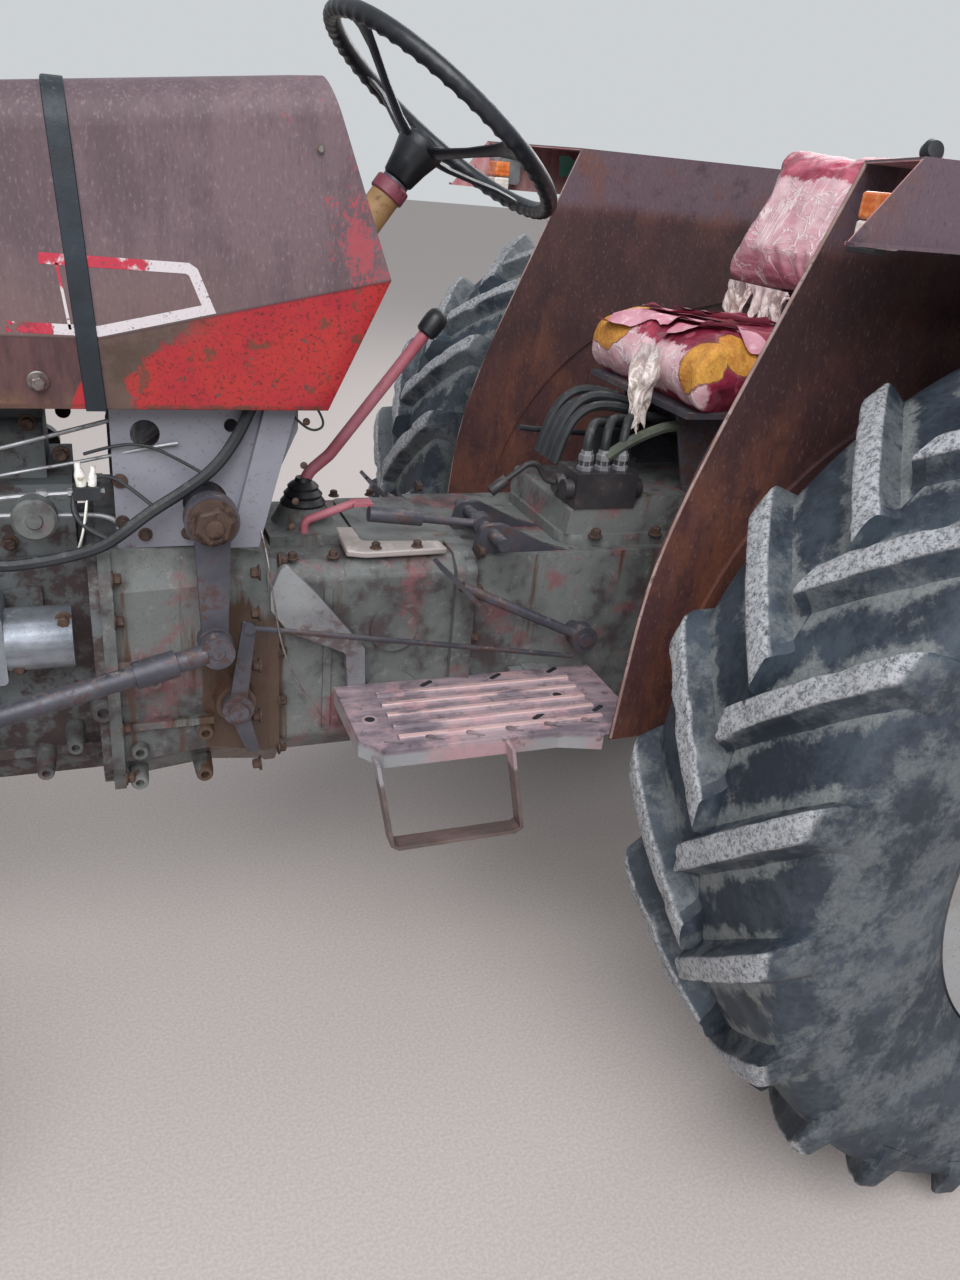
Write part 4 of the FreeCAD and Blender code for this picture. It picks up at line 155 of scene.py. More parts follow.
class Shader:
    """The node tree of one material, built by methods that each add a node."""

    def __init__(self, name: str) -> None:
        """Start an empty material.

        Args:
            name: Name of the material.
        """
        self.material = bpy.data.materials.new(name)
        self.material.use_nodes = True
        self.tree = self.material.node_tree
        self.tree.nodes.clear()
        coordinates = self.add("ShaderNodeTexCoord")
        self.place = Value(self, coordinates.outputs["Object"])
        self.normal = Value(self, coordinates.outputs["Normal"])

    def add(self, kind: str, settings: Optional[dict] = None,
            inputs: Optional[dict] = None) -> bpy.types.Node:
        """Add a node of any kind.

        Args:
            kind: The node's type.
            settings: Its properties, which are set first.
            inputs: Values or links of its sockets, by name or number.

        Returns:
            The node.
        """
        node = self.tree.nodes.new(kind)
        for key, value in (settings or {}).items():
            setattr(node, key, value)
        for key, value in (inputs or {}).items():
            if isinstance(value, Value):
                self.tree.links.new(value.socket, node.inputs[key])
            else:
                node.inputs[key].default_value = value
        return node

    def out(self, kind: str, settings: Optional[dict] = None, inputs: Optional[dict] = None,
            output: Union[int, str] = 0) -> Value:
        """Add a node and hand back one of its outputs."""
        return Value(self, self.add(kind, settings, inputs).outputs[output])

    def math(self, operation: str, first: Operand, second: Operand = 0.0) -> Value:
        """Add one Math node."""
        return self.out("ShaderNodeMath", {"operation": operation}, {0: first, 1: second})

    def vector(self, operation: str, first: Union[Value, Point], second: Union[Value, Point]) -> Value:
        """Add one Vector Math node whose result is a vector."""
        return self.out("ShaderNodeVectorMath", {"operation": operation}, {0: first, 1: second})

    def measure(self, operation: str, *vectors: Union[Value, Point]) -> Value:
        """Add one Vector Math node whose result is a number."""
        inputs = dict(enumerate(vectors))
        return self.out("ShaderNodeVectorMath", {"operation": operation}, inputs, "Value")

    def axes(self, vector: Value) -> tuple[Value, Value, Value]:
        """The three parts of a vector."""
        node = self.add("ShaderNodeSeparateXYZ", None, {0: vector})
        return tuple(Value(self, socket) for socket in node.outputs)

    def mix(self, factor: Operand, first: Union[Value, Colour], second: Union[Value, Colour]) -> Value:
        """A colour between two colours."""
        return self.out("ShaderNodeMix", {"data_type": "RGBA"}, {0: factor, 6: first, 7: second}, 2)

    def tones(self, factor: Operand, first: str, second: str) -> Value:
        """A colour between two colour codes."""
        return self.mix(factor, tint(first), tint(second))

    def over(self, under: Value, mask: Operand, code: str) -> Value:
        """A colour code laid over a colour where a mask is 1."""
        return self.mix(mask, under, tint(code))

    def noise(self, scale: float, detail: float = 5.0, rough: float = 0.55,
              stretch: Point = (1.0, 1.0, 1.0), twist: float = 0.0) -> Value:
        """Smooth noise.

        Args:
            scale: Blotches per metre, about.
            detail: How many finer layers it has.
            rough: How strong the finer layers are.
            stretch: Factors on the three coordinates.
            twist: Distortion.

        Returns:
            The noise, about 0.3 to 0.7.
        """
        plain = tuple(stretch) == (1.0, 1.0, 1.0)
        place = self.place if plain else self.vector("MULTIPLY", self.place, stretch)
        return self.out(
            "ShaderNodeTexNoise",
            None,
            {"Vector": place, "Scale": scale, "Detail": detail, "Roughness": rough, "Distortion": twist},
        )

    def patches(self, scale: float, share: float, soft: float = 0.04, detail: float = 6.0,
                stretch: Point = (1.0, 1.0, 1.0)) -> Value:
        """Irregular patches that cover about a share of the surface."""
        edge = 0.7 - 0.4 * share
        return self.noise(scale, detail, 0.62, stretch).ramp(edge - soft, edge + soft)

    def surface(self, colour: Union[Value, Colour], rough: Operand, metal: Operand = 0.0,
                height: Optional[Value] = None, strength: float = 0.4, depth: float = 0.002,
                sockets: Optional[dict] = None) -> bpy.types.Material:
        """Finish the material.

        Args:
            colour: Base colour.
            rough: Roughness.
            metal: Metallic share.
            height: Relief that bumps the normal, if any.
            strength: How strongly the relief shows.
            depth: How deep the relief is, in metres.
            sockets: Further sockets of the surface shader.

        Returns:
            The material.
        """
        inputs = {"Base Color": colour, "Roughness": rough, "Metallic": metal}
        if height is not None:
            bump = {"Strength": strength, "Distance": depth, "Height": height}
            inputs["Normal"] = self.out("ShaderNodeBump", None, bump)
        inputs.update(sockets or {})
        shader = self.out("ShaderNodeBsdfPrincipled", None, inputs)
        self.add("ShaderNodeOutputMaterial", None, {"Surface": shader})
        return self.material


# Finishes


class Finish:
    """A finish that becomes one material, made the first time it is used."""

    made: dict[str, bpy.types.Material] = {}
    name: str
    slot: Optional[str] = None

    def material(self) -> bpy.types.Material:
        """The material, which every piece with this finish shares."""
        if self.name not in Finish.made:
            Finish.made[self.name] = self.paint(Shader(self.name))
        return Finish.made[self.name]

    def paint(self, shader: Shader) -> bpy.types.Material:
        """Build the node tree."""
        raise NotImplementedError


@dataclass(frozen=True)
class Worn(Finish):
    """Paint, metal or rubber that has faded, stained and gathered dust."""

    name: str
    base: str
    faded: str
    stain: str = "3a2b28"
    stain_share: float = 0.3
    dust: str = "8e8884"
    dust_share: float = 0.25
    grain: float = 45.0
    rough: float = 0.6
    metal: float = 0.0
    relief: float = 0.35
    streaks: Point = (1.0, 1.0, 1.0)
    slot: Optional[str] = None

    def paint(self, shader: Shader) -> bpy.types.Material:
        """Two tones, stains in patches, specks, and dust where the surface faces up."""
        broad = shader.noise(0.16 * self.grain, 4.0, 0.6, self.streaks)
        fine = shader.noise(self.grain, 8.0, 0.68, self.streaks)
        specks = shader.noise(7.0 * self.grain, 3.0)
        colour = shader.tones(broad.ramp(0.36, 0.64), self.base, self.faded)
        edge = 0.7 - 0.4 * self.stain_share
        stains = (0.55 * fine + 0.45 * broad).ramp(edge - 0.035, edge + 0.05)
        colour = shader.over(colour, stains * 0.85, self.stain)
        colour = shader.over(colour, specks.ramp(0.6, 0.72) * 0.5, self.stain)
        upward = shader.axes(shader.normal)[2].ramp(0.2, 0.95)
        dust = upward * fine.ramp(0.62 - 0.4 * self.dust_share, 0.72) * min(1.0, 2.2 * self.dust_share)
        colour = shader.over(colour, dust, self.dust)
        rough = self.rough + 0.5 * (fine - 0.5) + 0.15 * stains
        metal = self.metal * (1.0 - 0.7 * stains) * (1.0 - dust) if self.metal else 0.0
        return shader.surface(colour, rough, metal, fine + 0.25 * specks, self.relief, 0.0016)


@dataclass(frozen=True)
class BonnetPaint(Finish):
    """Oxidised red sheet: dull brown above the fold, bright and specked below it."""

    name: str = "bonnet_paint"
    dull: str = "68565c"
    dull_deep: str = "54444a"
    bright: str = "9c1c2d"
    bright_warm: str = "a92a28"
    maroon: str = "462e30"
    maroon_pale: str = "5c3f3e"
    primer: str = "5d4a44"
    primer_deep: str = "4b3b33"
    scuff: str = "8b7a80"
    shadow: str = "40343a"
    low_brown: str = "6a5048"
    rubbed_red: str = "a0404a"
    speck: str = "4d1a1c"
    blot: str = "5a3c2e"
    front_hem: str = "6f5240"
    wedge_red: str = "a5242b"
    crease: str = "37272a"
    hem_rust: str = "4a342a"
    fold_height: float = 1.212
    fold_ahead: float = 0.499
    fold_slope: float = 0.2328
    knee_ahead: float = 0.121
    knee_height: float = 1.3
    back_slope: float = 0.38
    strap_ahead: float = 0.512
    slot: Optional[str] = "bonnet_red"

    def paint(self, shader: Shader) -> bpy.types.Material:
        """Zones by height over the fold and by the distance from the rear edge."""
        ahead, _, up = shader.axes(shader.place)
        fold = self.fold_height + self.fold_slope * (self.fold_ahead - ahead).at_least(0.0)
        below = (fold - up).ramp(-0.0015, 0.0015)
        streaks = shader.noise(34.0, 8.0, 0.7, (1.0, 1.0, 0.22))
        broad = shader.noise(5.0, 4.0, 0.6)
        fine = shader.noise(240.0, 5.0, 0.65, (1.0, 1.0, 0.4))
        colour = shader.tones((0.5 * streaks + 0.5 * broad).ramp(0.4, 0.6), self.dull_deep, self.dull)
        colour = shader.over(colour, fine.ramp(0.54, 0.68) * 0.4, self.scuff)
        colour = shader.over(colour, fine.ramp(0.46, 0.34) * 0.35, self.shadow)
        browned = (1.36 - up).ramp(0.0, 0.16) * broad.ramp(0.35, 0.65)
        colour = shader.over(colour, browned * 0.55, self.low_brown)
        rear = ahead - (self.knee_ahead + self.back_slope * (up - self.knee_height).at_least(0.0))
        low = (1.5 - up).ramp(0.0, 0.2)
        rear_band = rear.near(0.03, 0.075) * low
        flecks = 0.6 * shader.noise(230.0, 6.0, 0.75, (1.0, 1.0, 0.7)) + 0.4 * shader.noise(30.0, 5.0, 0.6)
        rubbed = (flecks + 0.15 * rear_band).ramp(0.6, 0.65) * rear.ramp(0.13, 0.05)
        colour = shader.over(colour, rubbed * 0.8, self.rubbed_red)
        red_from = (self.fold_ahead - 0.012 - ahead) + 0.86 * (1.119 - up)
        patchy = shader.noise(20.0, 6.0, 0.7)
        red = (red_from * 6.0 + patchy - 0.42).ramp(0.0, 0.12)
        crest = (fold - up).ramp(0.035, 0.0) * (ahead - 0.33).ramp(0.0, 0.09)
        red = red * (1.0 - crest) * shader.noise(60.0, 7.0, 0.72).ramp(0.66, 0.6)
        specks = shader.noise(190.0, 7.0, 0.8).ramp(0.53, 0.6)
        blots = shader.noise(28.0, 6.0, 0.66).ramp(0.57, 0.63)
        lively = shader.tones(shader.noise(9.0).ramp(0.35, 0.65), self.bright, self.bright_warm)
        lively = shader.over(lively, specks * 0.85, self.speck)
        lively = shader.over(lively, blots * 0.8, self.blot)
        lower = shader.tones(patchy.ramp(0.4, 0.6), self.primer, self.primer_deep)
        lower = shader.mix(red, lower, lively)
        front = ahead.ramp(self.strap_ahead - 0.004, self.strap_ahead + 0.004)
        front_paint = shader.tones(streaks.ramp(0.4, 0.62), self.maroon, self.maroon_pale)
        front_low = (1.15 - up).ramp(0.0, 0.03) * patchy.ramp(0.4, 0.6)
        front_paint = shader.over(front_paint, front_low, self.front_hem)
        lower = shader.mix(front, lower, front_paint)
        wedge = (up - 1.119).near(0.0, 0.055) * (ahead - 0.512 - 0.3 * (1.165 - up)).near(0.006, 0.012)
        lower = shader.over(lower, wedge.ramp(0.1, 0.3), self.wedge_red)
        colour = shader.mix(below, colour, lower)
        edge = abs(fold - up).ramp(0.0035, 0.0)
        colour = shader.over(colour, edge * 0.55, self.crease)
        hem = (1.1275 - up).ramp(0.0, 0.004)
        colour = shader.over(colour, hem * patchy.ramp(0.4, 0.56) * 0.8, self.hem_rust)
        rough = 0.5 + 0.3 * streaks - 0.16 * (below * red)
        return shader.surface(colour, rough, 0.0, streaks + 0.4 * fine + 0.6 * specks * below, 0.22, 0.001)


@dataclass(frozen=True)
class CastGrey(Finish):
    """Grey enamel on iron castings, grimy, with red overspray and runs of old oil."""

    name: str = "cast_grey"
    base: str = "686b6a"
    shade: str = "505353"
    grime: str = "3f3234"
    overspray: str = "7f3c44"
    oil: str = "4a3222"
    bare: str = "8f8785"
    pit: str = "3d3233"
    oil_ahead: float = 0.318
    oil_reach: float = 0.11
    red_share: float = 0.26
    grime_share: float = 0.52
    slot: Optional[str] = "casting_grey"

    def paint(self, shader: Shader) -> bpy.types.Material:
        """Enamel with overspray patches, grime in blotches, oil below the shafts."""
        ahead, _, up = shader.axes(shader.place)
        broad = shader.noise(6.0, 4.0, 0.6)
        fine = shader.noise(70.0, 8.0, 0.7)
        colour = shader.tones(broad.ramp(0.38, 0.62), self.base, self.shade)
        red = shader.patches(11.0, self.red_share, 0.07, 8.0)
        colour = shader.over(colour, red * 0.6, self.overspray)
        worn = shader.patches(55.0, 0.2, 0.03, 8.0)
        colour = shader.over(colour, worn * 0.3, self.bare)
        grime = 0.5 * shader.noise(24.0, 8.0, 0.72) + 0.5 * broad
        grime = grime.ramp(0.72 - 0.42 * self.grime_share, 0.84 - 0.42 * self.grime_share)
        colour = shader.over(colour, grime * 0.8, self.grime)
        runs = shader.noise(30.0, 6.0, 0.6, (1.0, 1.0, 0.08))
        oil = ahead.near(self.oil_ahead, self.oil_reach) * (0.84 - up).ramp(0.0, 0.1)
        oil = (oil * 0.5 + runs - 0.28).ramp(0.3, 0.42)
        colour = shader.over(colour, oil * 0.88, self.oil)
        pits = shader.noise(330.0, 3.0).ramp(0.6, 0.7)
        colour = shader.over(colour, pits * 0.45, self.pit)
        rough = 0.56 + 0.4 * (fine - 0.5) - 0.22 * oil
        return shader.surface(colour, rough, 0.0, fine + 0.5 * grime + 0.3 * pits, 0.5, 0.002)


@dataclass(frozen=True)
class FenderPaint(Finish):
    """Thin red paint gone to a dark rusty brown, with painted sky light making the top paler and purple,
    painted shade below the top, and a recess painted light.
    """

    name: str = "fender_paint"
    base: str = "482c2d"
    warm: str = "5a3a34"
    pale: str = "5f505a"
    rust: str = "6a4131"
    deep: str = "2f2126"
    edge_rust: str = "744632"
    recess_painted_light: str = "c49d9a"
    recess_painted_light_red: str = "b57378"
    speckle: str = "866a66"
    speckle_deep: str = "251a1d"
    front_ahead: float = -0.219
    front_low: float = 0.645
    front_slope: float = 0.285
    inner: float = 0.442
    outer: float = 0.678
    under: float = 1.5
    slot: Optional[str] = "fender_red"

    def paint(self, shader: Shader) -> bpy.types.Material:
        """Broad tones by height, with painted shade below the top and painted sky light on it, rust along the
        front edge, the recess painted light, and a brushed speckle.
        """
        ahead, across, up = shader.axes(shader.place)
        broad = shader.noise(4.5, 5.0, 0.6)
        fine = shader.noise(60.0, 8.0, 0.72)
        streaks = shader.noise(26.0, 7.0, 0.68, (1.0, 1.0, 0.3))
        brushed = shader.noise(260.0, 5.0, 0.7, (1.0, 1.0, 0.4))
        colour = shader.tones((0.5 * streaks + 0.5 * broad).ramp(0.42, 0.6), self.base, self.warm)
        # Painted shade: the plate from 1.0 m to 1.4 m, under the overhang of the fender's top, is painted
        # darker.
        middle = (up - 1.0).ramp(0.0, 0.14) * (1.4 - up).ramp(0.0, 0.04)
        colour = shader.over(colour, middle * 0.62, self.deep)
        # Painted sky light: everything above about 1.39 m, the top and the outer skirt, is painted paler and
        # purple.
        high = (up + 0.06 * (broad - 0.5)).ramp(1.375, 1.405)
        colour = shader.over(colour, high * 0.8, self.pale)
        # Rust bloom, held back where that painted shade lies.
        bloom = shader.patches(9.0, 0.3, 0.08, 8.0)
        colour = shader.over(colour, bloom * (1.0 - 0.7 * middle) * 0.5, self.rust)
        behind = (self.front_ahead - ahead) - self.front_slope * (up - self.front_low)
        rusted = behind.near(0.055, 0.075) * (1.25 - up).ramp(0.0, 0.2) * streaks.ramp(0.35, 0.6)
        colour = shader.over(colour, rusted * 0.6, self.edge_rust)
        dark = shader.patches(13.0, 0.25, 0.06, 7.0)
        colour = shader.over(colour, dark * 0.5, self.deep)
        # Painted light: the recess under the top, between the inner and outer sheets, is painted pale pink to
        # stand in for light that does not reach it.
        squared = across * across
        recess = (self.outer ** 2 - squared).ramp(0.0, 0.001) * (squared - self.inner ** 2).ramp(0.0, 0.001)
        recess = recess * (self.under - up).ramp(0.0, 0.001) * (up - 1.38).ramp(0.0, 0.02)
        recess = recess * 0.9
        # Here the local faded holds that painted recess light, not faded paint.
        faded = shader.tones(streaks.ramp(0.4, 0.6), self.recess_painted_light, self.recess_painted_light_red)
        colour = shader.mix(recess, colour, faded)
        colour = shader.over(colour, brushed.ramp(0.56, 0.7) * 0.4, self.speckle)
        colour = shader.over(colour, brushed.ramp(0.44, 0.32) * 0.45, self.speckle_deep)
        rough = 0.52 + 0.3 * (fine - 0.4)
        return shader.surface(colour, rough, 0.0, fine + 0.5 * bloom + 0.4 * brushed, 0.3, 0.0014)


@dataclass(frozen=True)
class TreadRubber(Finish):
    """Old tyre rubber: dark blue-black walls, chalky worn bar faces and dust in the grooves."""

    name: str
    centre: Point
    side: int
    root: float
    crest: float
    bars: int = 0
    lag: float = 0.0
    phases: tuple[float, float] = (0.0, 0.0)
    half: float = 0.19
    dark: str = "1f2833"
    wall: str = "38424d"
    chalk: str = "b3b5b9"
    pit: str = "5b5f65"
    dust: str = "7f8382"
    dust_deep: str = "5f656a"
    spot: str = "3d434b"
    dusty: float = 0.5
    slot: Optional[str] = "tyre"

    def gap(self, shader: Shader, away: Value) -> Value:
        """How far a point lies from its row's nearest bar: 0 beside one, 1 midway between two."""
        ahead, across, up = shader.axes(away)
        turn = shader.math("ARCTAN2", up, ahead) * (180.0 / math.pi)
        along = across * self.side
        phase = self.phases[0] + along.ramp(-0.001, 0.001) * (self.phases[1] - self.phases[0])
        place = (turn - phase - abs(along) * (self.lag / self.half)) * (self.bars / 360.0)
        return abs(shader.math("FRACT", place + 0.5) - 0.5).ramp(0.2, 0.42)

    def paint(self, shader: Shader) -> bpy.types.Material:
        """Tones by the radius from the axle, by the bars, and by how squarely a face looks outwards."""
        away = shader.vector("SUBTRACT", shader.place, tuple(self.centre))
        flat = shader.vector("MULTIPLY", away, (1.0, 0.0, 1.0))
        radius = shader.measure("LENGTH", flat)
        outward = shader.vector("NORMALIZE", flat, (0.0, 0.0, 0.0))
        outward = shader.measure("DOT_PRODUCT", outward, shader.normal)
        broad = shader.noise(7.0, 5.0, 0.62)
        fine = shader.noise(75.0, 8.0, 0.75)
        chips = shader.noise(38.0, 8.0, 0.8)
        grit = shader.noise(150.0, 7.0, 0.85)
        cloud = shader.noise(13.0, 9.0, 0.74)
        colour = shader.tones((0.6 * broad + 0.4 * fine).ramp(0.42, 0.6), self.dark, self.wall)
        carcass = outward.ramp(0.75, 0.97)
        tread = radius.ramp(self.root - 0.06, self.root - 0.02)
        clear = self.gap(shader, away) * tread * 0.2 if self.bars else 0.0
        haze = (cloud + 0.09 * carcass + 0.07 * self.dusty - clear).ramp(0.48, 0.62) * (0.45 + 0.45 * carcass)
        colour = shader.mix(haze, colour, shader.tones(grit.ramp(0.35, 0.62), self.dust_deep, self.dust))
        height = self.crest - self.root
        tall = radius.ramp(self.root + 0.35 * height, self.root + 0.62 * height)
        face = tall * outward.ramp(0.3, 0.7)
        worn = face * (chips + 0.16).ramp(0.5, 0.6)
        worn_tone = shader.tones(grit.ramp(0.38, 0.56), self.pit, self.chalk)
        colour = shader.mix(worn * 0.92, colour, worn_tone)
        spots = shader.noise(85.0, 7.0, 0.8).ramp(0.56, 0.64) * face
        colour = shader.over(colour, spots * 0.7, self.spot)
        rough = 0.62 + 0.3 * worn + 0.2 * (fine - 0.5)
        height = fine + face * (1.6 * chips + 0.8 * grit - 0.8 * spots)
        return shader.surface(colour, rough, 0.0, height, 0.6, 0.003)


@dataclass(frozen=True)
class FootplatePaint(Finish):
    """Pink faded paint on pressed steel, bright on the ribs, part rubbed wear and part painted highlight, and
    dark between them.
    """

    name: str = "footplate_paint"
    top: float = 0.655
    base: str = "6b6069"
    faded: str = "a08c92"
    stain: str = "4d4248"
    bright: str = "e0bdbb"
    pink: str = "b98f92"
    hem_grey: str = "8f9294"
    hem_pink: str = "a5848a"
    hem_rust: str = "5b3a33"
    step_dark: str = "4b3f3c"
    step_pale: str = "63544f"
    slot: Optional[str] = "footplate_pink"

    def paint(self, shader: Shader) -> bpy.types.Material:
        """Colour by height over the sheet: ribs painted bright, part rubbed wear and part painted highlight, a
        hem, and a darker tone below the plate; long scuffs along the plate, and rust at the hem.
        """
        _, _, up = shader.axes(shader.place)
        broad = shader.noise(9.0, 5.0, 0.65)
        scuffs = shader.noise(30.0, 8.0, 0.72, (0.25, 1.0, 1.0))
        fine = shader.noise(150.0, 6.0, 0.7)
        colour = shader.tones((0.6 * scuffs + 0.4 * broad).ramp(0.4, 0.6), self.base, self.faded)
        colour = shader.over(colour, shader.patches(40.0, 0.25, 0.04, 8.0) * 0.6, self.stain)
        # The ribs above the plate's top get the bright colour: part rubbed wear, part painted highlight.
        rubbed = (up - self.top).ramp(0.002, 0.005) * scuffs.ramp(0.36, 0.5)
        colour = shader.over(colour, rubbed * 0.85, self.bright)
        colour = shader.over(colour, shader.patches(18.0, 0.28, 0.06, 7.0) * 0.5, self.pink)
        hem = (self.top - up).ramp(0.004, 0.012)
        edge = shader.tones(broad.ramp(0.4, 0.6), self.hem_grey, self.hem_pink)
        colour = shader.mix(hem * 0.8, colour, edge)
        colour = shader.over(colour, shader.patches(26.0, 0.2, 0.04, 8.0) * hem * 0.7, self.hem_rust)
        step = (0.618 - up).ramp(0.0, 0.01) * 0.9
        colour = shader.mix(step, colour, shader.tones(scuffs.ramp(0.4, 0.6), self.step_dark, self.step_pale))
        rough = 0.5 + 0.4 * (fine - 0.45)
        metal = 0.35 * rubbed
        return shader.surface(colour, rough, metal, scuffs + 0.4 * fine, 0.5, 0.0015)


@dataclass(frozen=True)
class StripePaint(Finish):
    """Old painted line, white with red showing through, chipped at its edges."""

    name: str = "stripe_paint"
    white: str = "c6bfc3"
    red: str = "b02a40"
    speck: str = "8b6a70"
    red_from: float = 0.43

    def paint(self, shader: Shader) -> bpy.types.Material:
        """Red patches towards the front of the upper line, and holes worn through."""
        ahead, _, up = shader.axes(shader.place)
        patchy = shader.noise(48.0, 5.0, 0.65)
        front = ahead.ramp(self.red_from - 0.03, self.red_from + 0.03) * (up - 1.27).ramp(-0.01, 0.01)
        front = front.at_least(ahead.ramp(0.547, 0.556))
        red = (0.5 * front + patchy).ramp(0.84, 0.98)
        colour = shader.tones(red, self.white, self.red)
        specks = shader.noise(300.0, 5.0, 0.7)
        colour = shader.over(colour, specks.ramp(0.55, 0.65) * 0.35, self.speck)
        worn = (0.55 * shader.noise(90.0, 6.0, 0.7) + 0.45 * specks).ramp(0.585, 0.6)
        faint = ahead.ramp(0.56, 0.6) * shader.noise(120.0, 6.0).ramp(0.42, 0.5)
        alpha = (1.0 - worn) * (1.0 - faint)
        return shader.surface(colour, 0.55, 0.0, specks, 0.2, 0.0005, {"Alpha": alpha})


@dataclass(frozen=True)
class SeatCover(Finish):
    """Split red vinyl under a torn clear film, with foam where it has burst."""

    name: str
    vinyl: str = "a2304a"
    deep: str = "701c33"
    film: str = "e3c3c8"
    crease: str = "f4e9ea"
    foam: str = "d9a247"
    foam_deep: str = "b8752c"
    patch: str = "c46a7b"
    film_deep: str = "cc97a3"
    blush_deep: str = "a95a70"
    blush: str = "cf93a0"
    torn_rim: str = "5d2029"
    film_top: float = 2.0
    film_rear: float = -2.0
    blush_top: float = -2.0
    burst: tuple[tuple[Point, float], ...] = ()
    slot: Optional[str] = "seat_vinyl"

    def paint(self, shader: Shader) -> bpy.types.Material:
        """Vinyl with painted shade in the valleys of its folds, then film with crossing creases drawn white,
        part milky creasing and part painted sheen, then foam around the burst places.
        """
        ahead, _, up = shader.axes(shader.place)
        broad = shader.noise(11.0, 5.0, 0.65)
        fine = shader.noise(120.0, 6.0, 0.7)
        folds = shader.noise(16.0, 7.0, 0.7, (1.0, 0.35, 1.6), 1.2)
        # Painted shade: the vinyl is darker in the valleys of the folds, mixed with random tone.
        colour = shader.tones((0.6 * folds + 0.4 * broad).ramp(0.42, 0.6), self.deep, self.vinyl)
        colour = shader.over(colour, shader.patches(26.0, 0.32, 0.06, 6.0) * 0.6, self.patch)
        ragged = 0.05 * (shader.noise(30.0, 6.0, 0.7) - 0.5)
        covered = (self.film_top - up + ragged).ramp(0.0, 0.006)
        covered = covered * (ahead - self.film_rear + ragged).ramp(0.0, 0.006)
        fold_a = abs(shader.noise(7.0, 5.0, 0.55, (1.0, 2.2, 0.7), 0.8) - 0.5).ramp(0.022, 0.0)
        fold_b = abs(shader.noise(10.0, 5.0, 0.55, (1.0, 0.7, 2.4), 1.0) - 0.5).ramp(0.018, 0.0)
        haze = (0.5 * broad + 0.5 * shader.noise(40.0, 7.0, 0.7, (1.0, 0.5, 1.7))).ramp(0.38, 0.62)
        film = shader.tones(haze, self.film_deep, self.film)
        wrinkles = shader.noise(30.0, 5.0, 0.6, (1.0, 0.3, 4.0))
        blush = (self.blush_top - up + 2.0 * ragged).ramp(0.0, 0.05) * 0.75
        film = shader.mix(blush, film, shader.tones(wrinkles.ramp(0.42, 0.58), self.blush_deep, self.blush))
        # White creases over the film: part milky creasing, part painted sheen.
        film = shader.over(film, fold_a.at_least(fold_b) * 0.8, self.crease)
        colour = shader.mix(covered * 0.92, colour, film)
        waves = {"Vector": shader.place, "Scale": 22.0, "Detail": 5.0}
        waves = {0: shader.out("ShaderNodeTexNoise", None, waves, 1), "Scale": 0.05}
        waves = shader.out("ShaderNodeVectorMath", {"operation": "SCALE"}, waves)
        place = shader.vector("SUBTRACT", shader.vector("ADD", shader.place, waves), (0.025, 0.025, 0.025))
        burst = None
        for centre, reach in self.burst:
            spot = shader.measure("DISTANCE", place, tuple(centre)).ramp(reach, reach - 0.006)
            burst = spot if burst is None else burst.at_least(spot)
        height = 0.6 * folds + 0.3 * fine + 0.9 * fold_a.at_least(fold_b) * covered
        rough = 0.42 + 0.3 * (fine - 0.5) - 0.1 * covered
        if burst is not None:
            crumbs = shader.noise(170.0, 6.0, 0.75)
            foam = shader.tones((0.5 * crumbs + 0.5 * broad).ramp(0.4, 0.6), self.foam_deep, self.foam)
            colour = shader.mix(burst, colour, foam)
            rim = burst * (1.0 - burst)
            colour = shader.over(colour, (4.0 * rim).at_most(1.0) * 0.8, self.torn_rim)
            rough = rough + 0.4 * burst
            height = height + burst * (1.2 * crumbs - 1.0)
        return shader.surface(colour, rough, 0.0, height, 0.5, 0.003)


@dataclass(frozen=True)
class ClearFilm(Finish):
    """Torn clear film, milky where it creases."""

    name: str = "clear_film"
    clear: str = "c3b0a9"
    milky: str = "e9e0dc"

    def paint(self, shader: Shader) -> bpy.types.Material:
        """Milky veins over nearly clear plastic."""
        veins = abs(shader.noise(35.0, 7.0, 0.7, (1.0, 1.0, 0.5), 1.0) - 0.5).ramp(0.09, 0.0)
        cloudy = shader.noise(18.0, 5.0).ramp(0.35, 0.6)
        colour = shader.tones(veins, self.clear, self.milky)
        alpha = (0.45 + 0.4 * cloudy + 0.4 * veins).at_most(1.0)
        return shader.surface(colour, 0.28, 0.0, veins, 0.4, 0.002, {"Alpha": alpha})


@dataclass(frozen=True)
class LampLens(Finish):
    """Ribbed plastic lens, sun faded."""

    name: str
    base: str
    faded: str
    slot: Optional[str] = "lamp_glass"

    def paint(self, shader: Shader) -> bpy.types.Material:
        """Ribs across the lens and a faded bloom."""
        _, side, up = shader.axes(shader.place)
        bloom = shader.noise(60.0, 5.0).ramp(0.4, 0.62)
        colour = shader.tones(bloom, self.base, self.faded)
        ribs = shader.math("SINE", side * 1400.0) + shader.math("SINE", up * 700.0)
        return shader.surface(colour, 0.25, 0.0, ribs, 0.25, 0.0006, {"Coat Weight": 0.4})


